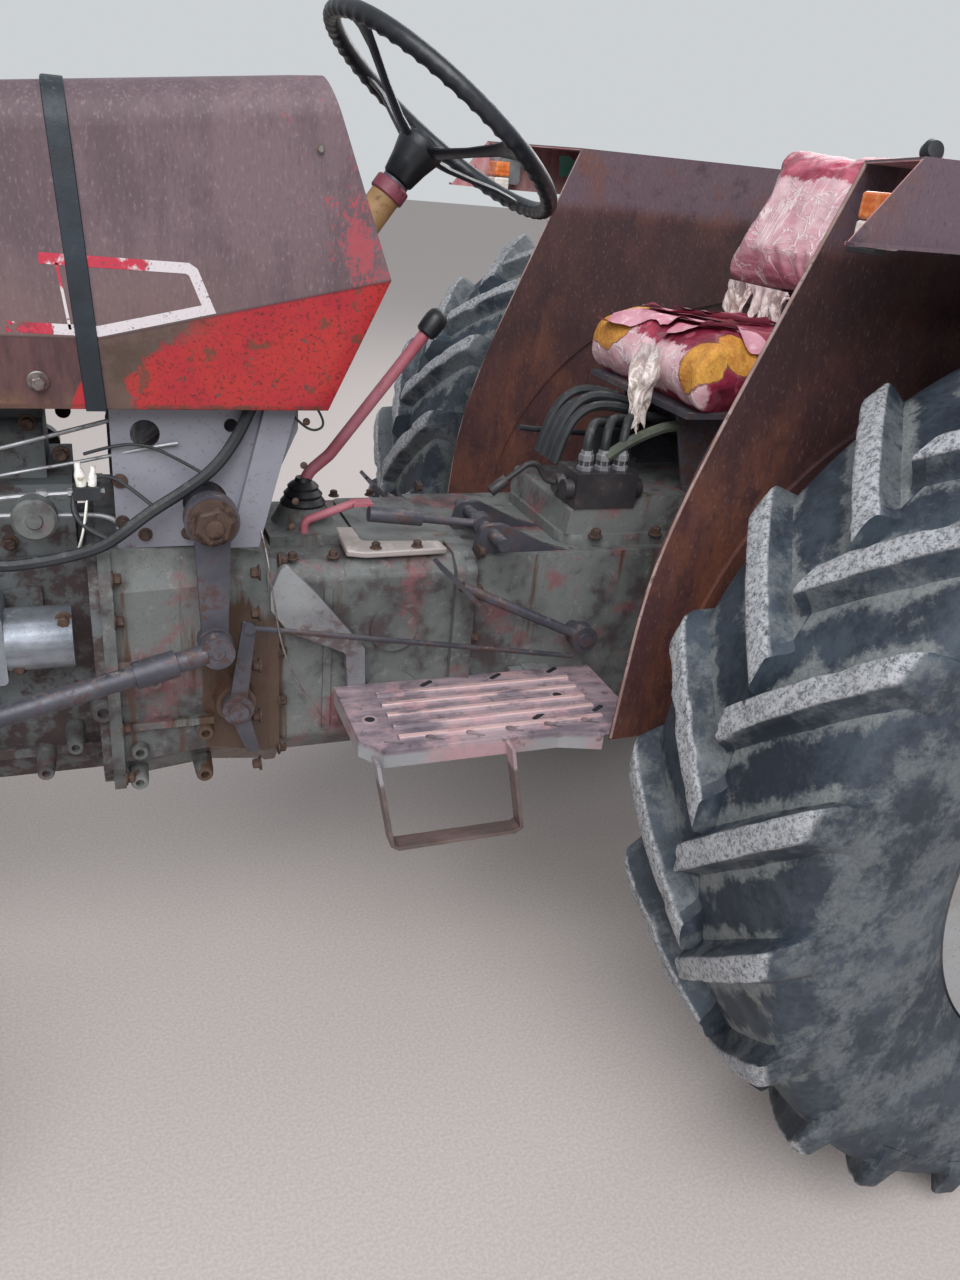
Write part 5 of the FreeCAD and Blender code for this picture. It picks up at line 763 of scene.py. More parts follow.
class Tone(Enum):
    """Finishes that one general recipe covers."""

    ENGINE = Worn("engine_enamel", "6a7173", "565657", "3f2e2e", 0.46, "857d7a", 0.3, 38.0,
                  0.6, relief=0.5, slot="engine_grey")
    PUMP = Worn("pump_alloy", "a5abb4", "868b94", "4b4a50", 0.24, "9c9a98", 0.2, 60.0,
                0.42, 0.75, slot="pump_alloy")
    EXHAUST = Worn("exhaust_black", "3a3534", "55453e", "6b4632", 0.42, "7a716b", 0.25, 60.0,
                   0.75, slot="exhaust_black")
    RADIATOR = Worn("radiator_black", "2c2d30", "3c3c3f", "574c45", 0.25, "7c756f", 0.3, 50.0,
                    0.6, slot="radiator_black")
    GRILLE = Worn("grille_black", "26272a", "35363a", "4d4540", 0.2, "77716c", 0.2, 70.0,
                  0.55, slot="grille_black")
    # The panel's second tone, named faded, is its colour in shade, mixed in as random blotches: painted shade.
    PANEL = Worn("panel_grey", "84858f", "73737e", "57424a", 0.2, "9a9594", 0.2, 26.0,
                 0.5, relief=0.15, slot="panel_grey")
    LEVER = Worn("lever_paint", "a04e5c", "b5717d", "6b3a42", 0.2, "c09ca0", 0.2, 50.0,
                 0.55, relief=0.2, slot="lever_red")
    KNOB = Worn("knob_black", "101215", "1a1d21", "2b2e32", 0.15, "4a4c50", 0.15, 90.0,
                0.45, relief=0.2, slot="black_steel")
    BLACK_STEEL = Worn("black_steel", "2b2a2e", "3d3a3c", "5a4238", 0.3, "77706c", 0.3, 60.0,
                       0.55, 0.2, slot="black_steel")
    DARK_STEEL = Worn("dark_steel", "474750", "5b5a62", "4a322d", 0.42, "8c8483", 0.3, 55.0,
                      0.5, 0.45, slot="dark_steel")
    LIGHT_ALLOY = Worn("light_alloy", "9fa2a5", "8a8b8f", "5a4a49", 0.3, "b5aeab", 0.3, 55.0,
                       0.48, 0.6, slot="light_alloy")
    HOSE = Worn("hose_rubber", "1d2024", "2c2f33", "3d3d3c", 0.25, "6a6865", 0.35, 80.0,
                0.6, relief=0.25, slot="hose_rubber")
    RIM_SILVER = Worn("rim_silver", "9a9c9e", "85837f", "6a4434", 0.32, "8f8781", 0.3, 40.0,
                      0.5, 0.35, slot="rim_silver")
    RIM_RED = Worn("rim_red", "8f2f30", "77393a", "4f2f28", 0.34, "8a7770", 0.3, 40.0,
                   0.58, slot="rim_red")
    WHEEL_BLACK = Worn("wheel_black", "12151a", "1d2128", "2c2f35", 0.2, "474b52", 0.2, 70.0,
                       0.4, relief=0.2, slot="wheel_black")
    STRAP = Worn("strap_black", "151e26", "1e2933", "343a3f", 0.2, "5b6267", 0.25, 120.0,
                 0.55, relief=0.3)
    FASTENER = Worn("fastener_steel", "8d8a88", "706a68", "5b3a2e", 0.42, "a09a98", 0.3, 160.0,
                    0.45, 0.7)
    RUSTY = Worn("rusty_steel", "47362f", "5a4439", "2b2120", 0.45, "776a64", 0.3, 80.0,
                 0.75, 0.2, relief=0.5)
    WORN_EDGE = Worn("worn_edge", "8a6f6a", "a38d89", "5b4443", 0.3, "b3a19d", 0.2, 120.0, 0.55, relief=0.2)
    COLLAR = Worn("collar_maroon", "6b2a3a", "7d3d4b", "3c1f27", 0.25, "8d7377", 0.2, 90.0, 0.5, relief=0.2)
    COLUMN = Worn("column_tan", "a5835a", "8f6e49", "5c4530", 0.3, "b3a087", 0.2, 90.0, 0.6, relief=0.2)
    # Near black for the slots and holes of the footplates: painted shade where they are open.
    SLOT_SHADE = Worn("slot_painted_shade", "17151a", "201d21", "0e0d10", 0.2, "2a272b", 0.1, 90.0, 0.8, relief=0.1)
    # The patch is green, but its green is painted lighter than its own, as painted light for the shaded recess
    # it sits in.
    PATCH_GREEN = Worn("patch_green", "74ccb6", "8fd6c4", "a08078", 0.25, "b4cfc5", 0.2, 90.0,
                       0.6, relief=0.1)
    OLIVE_HOSE = Worn("olive_hose", "3b4139", "50564b", "2c2c28", 0.25, "75776c", 0.3, 90.0, 0.6, relief=0.25)
    PALE_COVER = Worn("pale_cover", "a39b98", "8d8583", "5f5250", 0.3, "bcb3af", 0.4, 45.0,
                      0.55, 0.3)

    def material(self) -> bpy.types.Material:
        """The material of this finish."""
        return self.value.material()

    @property
    def slot(self) -> Optional[str]:
        """The record's slot for this finish."""
        return self.value.slot


# Meshes


class Shape:
    """A mesh in the making, drawn in metres in the tractor's frame."""

    def __init__(self) -> None:
        """Start an empty mesh."""
        self.mesh = bmesh.new()

    def points(self, places: Iterable[Point]) -> list:
        """New vertices at a row of places."""
        return [self.mesh.verts.new(Vector(place)) for place in places]

    def ring(self, centre: Point, first: Vector, second: Vector, radius: float, sides: int) -> list:
        """Points of a circle, or one point when the radius is nothing.

        Args:
            centre: Middle of the circle.
            first: Direction of its first point.
            second: Direction a quarter turn on.
            radius: Its radius.
            sides: Number of points.

        Returns:
            The new vertices.
        """
        centre = Vector(centre)
        if radius < 1e-6:
            return [self.mesh.verts.new(centre)]
        turns = [2 * math.pi * number / sides for number in range(sides)]
        arms = [math.cos(turn) * first + math.sin(turn) * second for turn in turns]
        return self.points([centre + radius * arm for arm in arms])

    def between(self, first: list, second: list) -> None:
        """Faces between two rings, either of which may be a single point."""
        count = max(len(first), len(second))
        for number in range(count):
            after = (number + 1) % count
            if len(first) == 1:
                corners = [first[0], second[after], second[number]]
            elif len(second) == 1:
                corners = [first[number], first[after], second[0]]
            else:
                corners = [first[number], first[after], second[after], second[number]]
            self.mesh.faces.new(corners)

    def skin(self, rings: list, capped: bool = True) -> "Shape":
        """Faces along a row of rings, with a cap at each end."""
        for first, second in zip(rings, rings[1:]):
            self.between(first, second)
        if capped:
            for ring, flip in ((rings[0], True), (rings[-1], False)):
                if len(ring) > 2:
                    self.mesh.faces.new(ring[::-1] if flip else ring)
        return self

    def loop(self, rings: list) -> "Shape":
        """Faces along a row of rings that ends where it starts."""
        return self.skin(rings + rings[:1], capped=False)

    def grid(self, rows: list) -> "Shape":
        """Faces between open rows of points."""
        for first, second in zip(rows, rows[1:]):
            for number in range(len(first) - 1):
                self.mesh.faces.new((first[number], first[number + 1], second[number + 1], second[number]))
        return self

    def turned(self, foot: Point, axis: Point, profile: Iterable[Point], sides: int = 24) -> "Shape":
        """A solid of revolution.

        Args:
            foot: Where the axis starts.
            axis: Its direction.
            profile: Pairs of distance along the axis and radius.
            sides: Number of sides.

        Returns:
            This shape.
        """
        along = Vector(axis).normalized()
        first = along.orthogonal().normalized()
        second = along.cross(first)
        return self.skin([self.ring(Vector(foot) + along * step, first, second, radius, sides)
                          for step, radius in profile])

    def bolt(self, foot: Point, axis: Point, across: float = 0.019, washer: bool = True) -> "Shape":
        """A hexagon head, domed a little, on its washer.

        Args:
            foot: Point of the surface that it stands on.
            axis: Outward direction.
            across: Width over the corners of the head.
            washer: Whether a washer lies under it.

        Returns:
            This shape.
        """
        half = across / 2
        base = 0.14 * across if washer else 0.0
        sink = -0.05 * across
        if washer:
            rim = 0.72 * across
            self.turned(foot, axis, ((sink, rim), (base - 0.001, rim), (base, 0.66 * across)), 20)
        top = base + 0.62 * across
        head = ((base - 0.0006, half), (base + 0.52 * across, half), (top, 0.8 * half), (top, 0.0))
        return self.turned(foot, axis, head, 6)

    def prism(self, corners: Sequence[Point], run: Point) -> "Shape":
        """A polygon pushed along a vector."""
        shift = Vector(run)
        return self.skin([self.points(corners), self.points([Vector(corner) + shift for corner in corners])])

    def bar(self, sections: Sequence[Sequence[Point]]) -> "Shape":
        """A skin over sections of equal count, closed at both ends."""
        return self.skin([self.points(section) for section in sections])

    def wire(self, route: Sequence[Point], radius: float, smooth: int = 8) -> "Shape":
        """A round tube along a smooth curve through given control points.

        Args:
            route: Control points.
            radius: The tube's radius.
            smooth: Steps of the curve per control point.

        Returns:
            This shape.
        """
        curve = bpy.data.curves.new("route", "CURVE")
        curve.dimensions = "3D"
        curve.bevel_depth = radius
        curve.bevel_resolution = 2
        curve.use_fill_caps = True
        spline = curve.splines.new("NURBS")
        spline.points.add(len(route) - 1)
        for point, place in zip(spline.points, route):
            point.co = (*place, 1.0)
        spline.order_u = 3
        spline.use_endpoint_u = True
        spline.resolution_u = smooth
        carrier = bpy.data.objects.new("route", curve)
        made = bpy.data.meshes.new_from_object(carrier)
        self.mesh.from_mesh(made)
        bpy.data.objects.remove(carrier)
        bpy.data.curves.remove(curve)
        bpy.data.meshes.remove(made)
        return self

    def piece(self, name: str, finish: Union[Finish, Tone], body: str = "chassis", ease: float = 0.0,
              smooth: float = 35.0) -> bpy.types.Object:
        """Turn the mesh into a piece of the tractor.

        Args:
            name: Name of the piece.
            finish: Its finish.
            body: The body that it rides on.
            ease: Width of the bevel on its edges.
            smooth: Angle in degrees below which faces blend.

        Returns:
            The object.
        """
        bmesh.ops.remove_doubles(self.mesh, verts=self.mesh.verts, dist=1e-6)
        bmesh.ops.recalc_face_normals(self.mesh, faces=self.mesh.faces)
        limit = math.radians(smooth)
        for face in self.mesh.faces:
            face.smooth = True
        for edge in self.mesh.edges:
            edge.smooth = len(edge.link_faces) == 2 and edge.calc_face_angle(0.0) < limit
        data = bpy.data.meshes.new(name)
        self.mesh.to_mesh(data)
        self.mesh.free()
        data.materials.append(finish.material())
        piece = bpy.data.objects.new(name, data)
        bpy.context.scene.collection.objects.link(piece)
        if ease:
            soften(piece, ease)
        if finish.slot:
            finish.slot
        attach(piece, body)
        LOG.info("%s: %d faces on %s", name, len(data.polygons), body)
        return piece


def soften(piece: bpy.types.Object, width: float, segments: int = 2) -> None:
    """Round a piece's edges with a bevel.

    Args:
        piece: The object.
        width: Width of the bevel in metres.
        segments: Steps across it.
    """
    bevel = piece.modifiers.new("ease", "BEVEL")
    bevel.width = width
    bevel.segments = segments
    bevel.limit_method = "ANGLE"
    bevel.angle_limit = math.radians(32)
    bevel.harden_normals = True


def dress(node: str, finish: Union[Finish, Tone], ease: float = 0.0) -> bpy.types.Object:
    """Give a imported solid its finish, and ease its edges.

    Args:
        node: Name of the solid's node.
        finish: Its finish.
        ease: Width of the bevel in metres, or 0 for none.

    Returns:
        The node's object.
    """
    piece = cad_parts[node]
    piece.data.materials.clear()
    piece.data.materials.append(finish.material())
    if ease:
        weld = piece.modifiers.new("weld", "WELD")
        weld.merge_threshold = 0.00002
        soften(piece, ease)
    return piece


def lerp(table: Sequence[tuple[float, float]], place: float) -> float:
    """Straight line reading of a table of pairs.

    Args:
        table: Pairs of place and value, in order.
        place: Where to read.

    Returns:
        The value there, or the end value beyond the table.
    """
    if place <= table[0][0]:
        return table[0][1]
    for (low, first), (high, second) in zip(table, table[1:]):
        if place <= high:
            return first + (second - first) * (place - low) / (high - low)
    return table[-1][1]


def around_rear_axle(radius: float, out: float, count: int = 8) -> list[Point]:
    """Places spread evenly round the rear axle.

    Args:
        radius: Distance from the axle.
        out: Place across the tractor.
        count: How many there are.

    Returns:
        The places, the first of them half a pitch above level.
    """
    ahead, height = REAR_AXLE
    turns = [2 * math.pi * (number + 0.5) / count for number in range(count)]
    return [(ahead + radius * math.cos(turn), out, height + radius * math.sin(turn)) for turn in turns]


def clipped(wide: float, tall: float) -> Profile:
    """Corners of a square from -1 to 1 that are cut off at two shares of its halves."""
    return ((-1, -tall), (-wide, -1), (wide, -1), (1, -tall), (1, tall), (wide, 1), (-wide, 1), (-1, tall))


# Wheels


@dataclass
class LuggedTyre:
    """Rear tyre with long bars whose edges have chipped."""

    word: str
    side: int
    ahead: float = REAR_AXLE[0]
    out: float = 0.755
    radius: float = REAR_AXLE[1]
    half: float = 0.19
    root: float = 0.654
    bars: int = 21
    lag: float = 15.5
    phases: tuple[float, float] = (38.9, 31.9)
    crest_half: float = 0.0235
    root_half: float = 0.032
    sides: int = 168
    steps: int = 26

    def place(self, radius: float, degrees: float, along: float) -> Vector:
        """A point of the tyre by radius, angle and distance from its middle."""
        turn = math.radians(degrees)
        return Vector((self.ahead + radius * math.cos(turn), self.side * (self.out + along),
                       self.radius + radius * math.sin(turn)))

    def casing(self, shape: Shape) -> None:
        """Closed ring of the casing with its bead step and shoulder."""
        outside = ((0.1497, 0.3626), (0.1499, 0.3826), (0.158, 0.386), (0.16, 0.392), (0.168, 0.402),
                   (0.1785, 0.43), (0.1845, 0.462), (0.1885, 0.5), (0.19, 0.538), (0.1888, 0.572),
                   (0.1853, 0.598), (0.18, 0.618), (0.174, 0.632), (0.166, 0.6415), (0.15, 0.6455),
                   (0.11, 0.65), (0.055, 0.6532), (0.0, 0.654))
        inside = ((-0.121, 0.3626), (-0.168, 0.47), (-0.168, 0.56), (-0.14, 0.61), (0.0, 0.632),
                  (0.14, 0.61), (0.168, 0.56), (0.168, 0.47), (0.121, 0.3626))
        mirrored = [(-along, radius) for along, radius in outside[-2::-1]]
        turns = [360 * number / self.sides for number in range(self.sides)]
        rings = []
        for along, radius in (*outside, *mirrored, *inside):
            rings.append(shape.points([self.place(radius, turn, along) for turn in turns]))
        shape.loop(rings)

    def bar(self, shape: Shape, phase: float, towards: int, seed: int) -> None:
        """One bar from the middle of the tread to the shoulder.

        Args:
            shape: Where it is built.
            phase: Angle at the tread's middle, in degrees.
            towards: The side of the tyre that it runs to.
            seed: Start of its noise.
        """
        crests = ((-0.05, self.radius), (0.5, self.radius - 0.002), (0.86, self.radius - 0.007),
                  (0.93, self.radius - 0.014), (0.965, self.radius - 0.026), (0.985, self.radius - 0.052))
        roots = ((-0.05, self.root - 0.004), (0.5, self.root - 0.006), (0.86, self.root - 0.018),
                 (0.965, self.root - 0.056), (0.985, self.root - 0.062))
        heights = (0.0, 0.08, 0.24, 0.58, 0.86, 0.96, 1.0, 1.0, 1.0)
        widths = (1.42, 1.14, 1.0, 0.93, 0.88, 0.82, 0.68, 0.38, 0.0)
        shift = Vector((seed * 1.7, seed * 0.9, seed * 2.3))
        rings = []
        for step in range(self.steps + 1):
            share = -0.06 + 1.045 * step / self.steps
            crest, root = lerp(crests, share), lerp(roots, share)
            middle = phase + self.lag * share
            along = towards * share * self.half
            row = []
            for sign, order in ((-1, range(9)), (1, range(7, -1, -1))):
                for number in order:
                    height = heights[number]
                    half = self.root_half + (self.crest_half - self.root_half) * height
                    half = half * widths[number] / 0.88
                    reach = root + (crest - root) * height
                    offset = math.degrees(sign * half / reach)
                    point = self.place(reach, middle + offset, along)
                    probe = (point + shift) * 16.0
                    chip = max(0.0, noise.noise(probe * 2.3) - 0.18) * 0.011 * height
                    chip += max(0.0, noise.noise(probe * 0.9) - 0.32) * 0.02 * height
                    jitter = noise.noise(probe * 1.4 + Vector((7.0, 3.0, 1.0))) * 0.14 * height
                    row.append(self.place(reach - chip, middle + offset + jitter, along))
            rings.append(shape.points(row))
        shape.grid(rings)
        for ring in (rings[0][::-1], rings[-1]):
            shape.mesh.faces.new(ring)

    def build(self) -> None:
        """Casing and both rows of bars as one piece."""
        shape = Shape()
        self.casing(shape)
        for towards, phase in zip((-1, 1), self.phases):
            for number in range(self.bars):
                self.bar(shape, phase + 360 * number / self.bars, towards, number + 40 * (towards + 1))
        middle = (self.ahead, self.side * self.out, self.radius)
        rubber = TreadRubber(f"rear_rubber_{self.word}", middle, self.side, self.root, self.radius, self.bars,
                             self.lag, self.phases, self.half, dusty=0.5 if self.side == LEFT else 0.9)
        piece = shape.piece(f"rear_tyre_skin_{self.word}", rubber, f"rear_wheel_{self.word}", smooth=48.0)
        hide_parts(f"rear_tyre_{self.word}")


@dataclass
class RibbedTyre:
    """Front tyre with three ribs."""

    word: str
    side: int
    ahead: float = FRONT_AXLE[0]
    out: float = 0.69
    radius: float = FRONT_AXLE[1]
    root: float = 0.379
    sides: int = 112
    wave: float = 0.0022
    waves: int = 14

    def build(self) -> None:
        """Closed ring with wavy rib edges."""
        outside = ((0.0747, 0.2086), (0.0749, 0.2206), (0.082, 0.224), (0.088, 0.24), (0.0945, 0.268),
                   (0.0975, 0.298), (0.095, 0.328), (0.0865, 0.352), (0.0725, 0.3765), (0.069, 0.3815),
                   (0.062, 0.386), (0.055, 0.3888), (0.052, 0.3872), (0.0485, 0.38), (0.042, 0.3795),
                   (0.03, 0.38), (0.0265, 0.385), (0.0225, 0.3975), (0.019, 0.3995), (0.0, 0.4))
        inside = ((-0.049, 0.2086), (-0.08, 0.29), (-0.06, 0.36), (0.06, 0.36), (0.08, 0.29),
                  (0.049, 0.2086))
        mirrored = [(-along, radius) for along, radius in outside[-2::-1]]
        shape = Shape()
        rings = []
        for along, radius in (*outside, *mirrored, *inside):
            wavy = radius > 0.378 and abs(along) > 0.015
            ring = []
            for number in range(self.sides):
                turn = 2 * math.pi * number / self.sides
                wave = self.wave * math.sin(self.waves * turn) if wavy else 0.0
                shifted = along + math.copysign(wave, along)
                ring.append((self.ahead + radius * math.cos(turn), self.side * (self.out + shifted),
                             self.radius + radius * math.sin(turn)))
            rings.append(shape.points(ring))
        shape.loop(rings)
        middle = (self.ahead, self.side * self.out, self.radius)
        rubber = TreadRubber(f"front_rubber_{self.word}", middle, self.side, self.root, self.radius)
        piece = shape.piece(f"front_tyre_skin_{self.word}", rubber, f"front_wheel_{self.word}", smooth=48.0)
        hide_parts(f"front_tyre_{self.word}")


@dataclass
class Wheels:
    """Tyres, and rims with their nuts."""

    nut_circle: float = 0.092
    nut_face: float = 0.6885
    nut_size: float = 0.03

    def nuts(self) -> None:
        """Wheel nuts on the rear hubs."""
        for word, side in SIDES:
            rear = Shape()
            for foot in around_rear_axle(self.nut_circle, side * self.nut_face):
                rear.bolt(foot, (0, side, 0), self.nut_size)
            rear.piece(f"rear_nuts_{word}", Tone.FASTENER, f"rear_wheel_{word}")

    def build(self) -> None:
        """Dress the rims and build the tyres."""
        self.nuts()
        for word, side in SIDES:
            dress(f"rear_rim_{word}", Tone.RIM_SILVER)
            dress(f"front_rim_{word}", Tone.RIM_RED)
            LuggedTyre(word, side).build()
            RibbedTyre(word, side).build()


@dataclass
class SteeringWheel:
    """Steering wheel with finger bumps under its ring, and the sleeve of its column."""

    centre: Point = (-0.018, 0.0, 1.515)
    lean: float = 35.7
    radius: float = 0.207
    grip: float = 0.0125
    bump: float = 0.0022
    bumps: int = 56
    first_spoke: float = 20.0
    spokes: int = 4
    steps: int = 280
    round_steps: int = 16

    def frame(self) -> tuple[Vector, Vector, Vector]:
        """Directions ahead in the ring's plane, across it, and out of it."""
        lean = math.radians(self.lean)
        ahead = Vector((math.cos(lean), 0, math.sin(lean)))
        above = Vector((-math.sin(lean), 0, math.cos(lean)))
        return ahead, Vector((0, 1, 0)), above

    def ring(self, shape: Shape) -> None:
        """Round ring with scalloped bumps on its under side."""
        first, second, above = self.frame()
        rings = []
        for number in range(self.steps):
            turn = 2 * math.pi * number / self.steps
            out = math.cos(turn) * first + math.sin(turn) * second
            swell = self.bump * max(0.0, math.cos(self.bumps * turn))
            row = []
            for step in range(self.round_steps):
                angle = 2 * math.pi * step / self.round_steps
                reach = self.grip + swell * max(0.0, -math.sin(angle))
                point = Vector(self.centre) + out * (self.radius + reach * math.cos(angle))
                row.append(point + above * (reach * math.sin(angle)))
            rings.append(shape.points(row))
        shape.loop(rings)

    def spoke(self, shape: Shape, degrees: float) -> None:
        """Flat spoke that widens where it meets the ring."""
        first, second, above = self.frame()
        turn = math.radians(degrees)
        out = math.cos(turn) * first + math.sin(turn) * second
        across = above.cross(out)
        stations = ((0.02, 0.015, 0.06, 0.006), (0.06, 0.0105, 0.05, 0.005), (0.11, 0.0095, 0.032, 0.0045),
                    (0.155, 0.012, 0.014, 0.0042), (0.182, 0.019, 0.006, 0.0042), (0.203, 0.034, 0.002, 0.005))
        sections = []
        for reach, half, drop, thick in stations:
            middle = Vector(self.centre) + out * reach - above * drop
            sections.append([middle + across * (half * side) + above * (thick * lift)
                             for side, lift in clipped(0.6, 0.3)])
        shape.bar(sections)

    def build(self) -> None:
        """Ring, spokes and hub on the wheel; collar and sleeve on the tractor."""
        above = self.frame()[2]
        black = Shape()
        self.ring(black)
        for number in range(self.spokes):
            self.spoke(black, self.first_spoke + 360 * number / self.spokes)
        hub = ((-0.118, 0.021), (-0.114, 0.025), (-0.086, 0.03), (-0.064, 0.036), (-0.052, 0.038),
               (-0.047, 0.035), (-0.046, 0.024), (-0.041, 0.022), (-0.04, 0.0))
        black.turned(self.centre, above, hub, 40)
        piece = black.piece("steering_wheel_skin", Tone.WHEEL_BLACK, "steering_wheel", smooth=50.0)
        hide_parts("steering_wheel")
        collar = ((-0.146, 0.0265), (-0.144, 0.028), (-0.126, 0.028), (-0.124, 0.0265))
        Shape().turned(self.centre, above, collar, 36).piece("column_collar", Tone.COLLAR)
        sleeve = ((-0.26, 0.024), (-0.145, 0.024))
        Shape().turned(self.centre, above, sleeve, 36).piece("column_sleeve", Tone.COLUMN)


# Engine side and castings


@dataclass
class EngineSide:
    """Fuel pipes, loom, connectors and bosses between the engine and the bulkhead."""

    pipe: float = 0.0032
    loom_radius: float = 0.0085
    case_side: float = 0.2145
    block_side: float = 0.13
    case_top: float = 0.88
    boss_side: float = 0.205
    plate_side: float = 0.1852
    rear_plate_side: float = 0.2012
    steer_shaft: tuple[float, float] = (0.369, 0.972)

    def pipes(self) -> None:
        """Pale steel pipes that run from the pump to the bulkhead, with their unions."""
        routes = (
            (1.0, ((0.86, 0.15, 0.975), (0.74, 0.158, 1.02), (0.636, 0.16, 1.047), (0.558, 0.16, 1.068),
                   (0.479, 0.17, 1.092), (0.43, 0.172, 1.108))),
            (0.8, ((0.86, 0.158, 0.955), (0.75, 0.164, 0.985), (0.64, 0.165, 1.011), (0.536, 0.172, 1.03),
                   (0.429, 0.192, 1.059), (0.405, 0.193, 1.062))),
            (1.3, ((0.84, 0.17, 0.94), (0.75, 0.178, 0.97), (0.642, 0.18, 0.983), (0.575, 0.18, 0.987),
                   (0.53, 0.18, 0.989))),
            (1.2, ((0.86, 0.165, 0.925), (0.75, 0.17, 0.948), (0.645, 0.17, 0.955), (0.56, 0.17, 0.952),
                   (0.505, 0.172, 0.953), (0.492, 0.172, 0.94))),
        )
        steel = Shape()
        for share, route in routes:
            steel.wire(route, self.pipe * share)
        union = ((-0.007, 0.0062), (0.0, 0.0075), (0.007, 0.0062))
        for place in ((0.588, 0.18, 0.9875), (0.548, 0.18, 0.988)):
            steel.turned(place, (1, 0, 0), union, 6)
        end = ((0, 0.009), (0.012, 0.009), (0.013, 0.006), (0.022, 0.006))
        steel.turned((0.528, 0.18, 0.989), (-1, 0, 0.1), end, 6)
        steel.piece("fuel_pipes", Tone.LIGHT_ALLOY)

    def loom(self) -> None:
        """Black wiring loom down the bulkhead, with its branches, a thin wire and pale leads."""
        trunk = ((0.292, 0.192, 1.135), (0.309, 0.202, 1.104), (0.327, 0.206, 1.069), (0.357, 0.212, 1.03),
                 (0.399, 0.217, 1.000), (0.449, 0.222, 0.971), (0.484, 0.226, 0.944), (0.518, 0.226, 0.921),
                 (0.585, 0.212, 0.9), (0.66, 0.205, 0.89), (0.74, 0.19, 0.9))
        branches = (
            (0.0024, ((0.372, 0.212, 1.022), (0.41, 0.205, 1.045), (0.45, 0.197, 1.062), (0.49, 0.194, 1.06),
                      (0.53, 0.185, 1.045))),
            (0.0028, ((0.44, 0.222, 0.976), (0.47, 0.205, 1.000), (0.5, 0.196, 1.02), (0.52, 0.19, 1.012))),
            (0.0019, ((0.262, 0.182, 1.122), (0.245, 0.184, 1.103), (0.217, 0.19, 1.077), (0.195, 0.19, 1.084),
                      (0.202, 0.184, 1.106), (0.216, 0.18, 1.124))),
            (0.0045, ((0.5, 0.226, 0.932), (0.535, 0.215, 0.945), (0.552, 0.2, 0.972), (0.545, 0.19, 0.99))),
        )
        black = Shape()
        black.wire(trunk, self.loom_radius, 10)
        for radius, route in branches:
            black.wire(route, radius)
        plug = ((0.512, 0.176, 0.984), (0.548, 0.176, 0.984), (0.548, 0.204, 0.984), (0.512, 0.204, 0.984))
        black.prism(plug, (0, 0, 0.018))
        black.piece("wiring_loom", Tone.HOSE)
        thin = ((0.292, 0.196, 0.935), (0.287, 0.222, 0.913), (0.281, 0.24, 0.85), (0.268, 0.25, 0.753),
                (0.235, 0.252, 0.675), (0.198, 0.25, 0.621))
        Shape().wire(thin, 0.0016).piece("earth_wire", Tone.FASTENER)
        self.leads()

    def leads(self) -> None:
        """Three pale leads that end in two small plastic caps."""
        pale = Shape()
        for lift, sway in ((0.0, 0.0), (0.006, 0.004), (-0.005, -0.003)):
            pale.wire(((0.548, 0.2 + sway, 0.905 + lift), (0.54, 0.212 + sway, 0.935),
                       (0.533, 0.208 + sway, 0.965 + lift), (0.53, 0.2, 0.988)), 0.0016)
        large = ((0, 0.007), (0.016, 0.0075), (0.026, 0.0045), (0.034, 0.0045))
        small = ((0, 0.006), (0.014, 0.006), (0.02, 0.0035), (0.028, 0.0035))
        pale.turned((0.536, 0.192, 1.002), (0.1, 0, 1), large, 12)
        pale.turned((0.522, 0.192, 1.002), (-0.1, 0, 1), small, 12)
        plastic = Worn("lead_plastic", "d8d2b8", "e8e6e2", "8a7f62", 0.25, relief=0.1, rough=0.4)
        pale.piece("pale_leads", plastic)

    def bosses(self) -> None:
        """Drilled bosses, plugs and studs on the side of the clutch housing and the engine."""
        drilled = ((0.532, 0.656, 0.017), (0.483, 0.579, 0.013), (0.486, 0.524, 0.013), (0.383, 0.603, 0.013),
                   (0.386, 0.526, 0.013), (0.455, 0.7, 0.011), (0.575, 0.6, 0.012), (0.62, 0.56, 0.012))
        studs = ((0.6, 1.075), (0.56, 1.03), (0.64, 0.9), (0.575, 0.81), (0.64, 0.74), (0.575, 0.69))
        large = ((-0.02, 0.03), (0.006, 0.03), (0.01, 0.026), (0.01, 0.012), (0.014, 0.01), (0.014, 0))
        cast = Shape()
        steel = Shape()
        for side in BOTH_SIDES:
            for ahead, height, radius in drilled:
                boss = ((-0.055, radius * 1.25), (-0.004, radius * 1.1), (0.009, radius), (0.011, radius * 0.9),
                        (0.011, radius * 0.5), (0.001, radius * 0.46), (0.001, 0.0))
                cast.turned((ahead, side * self.case_side, height), (0, side, 0), boss, 28)
            cast.turned((0.6, side * self.boss_side, 0.96), (0, side, 0), large, 32)
            for ahead, height in studs:
                out = self.case_side if height < self.case_top else self.block_side
                steel.bolt((ahead, side * out, height), (0, side, 0), 0.017)
        cast.piece("drilled_bosses", CastGrey())
        steel.piece("engine_studs", Tone.RUSTY)

    def bulkhead(self) -> None:
        """Plug, screws and rivets on the bulkhead's plates."""
        plug = ((0, 0.0105), (0.0022, 0.0105), (0.003, 0.008), (0.003, 0))
        rivet = ((0, 0.0055), (0.003, 0.005), (0.0045, 0.003), (0.005, 0))
        rust = Shape()
        for side in BOTH_SIDES:
            rust.turned((0.485, side * self.plate_side, 1.006), (0, side, 0), plug, 24)
            for ahead, height in ((0.485, 0.945), (0.395, 0.925), (0.33, 0.93), (0.455, 0.925)):
                rust.bolt((ahead, side * self.plate_side, height), (0, side, 0), 0.014)
            for ahead, height in ((0.225, 1.095), (0.245, 0.935), (0.228, 1.03), (0.24, 0.975)):
                rust.turned((ahead, side * self.rear_plate_side, height), (0, side, 0), rivet, 14)
        rust.piece("bulkhead_rivets", Tone.RUSTY)

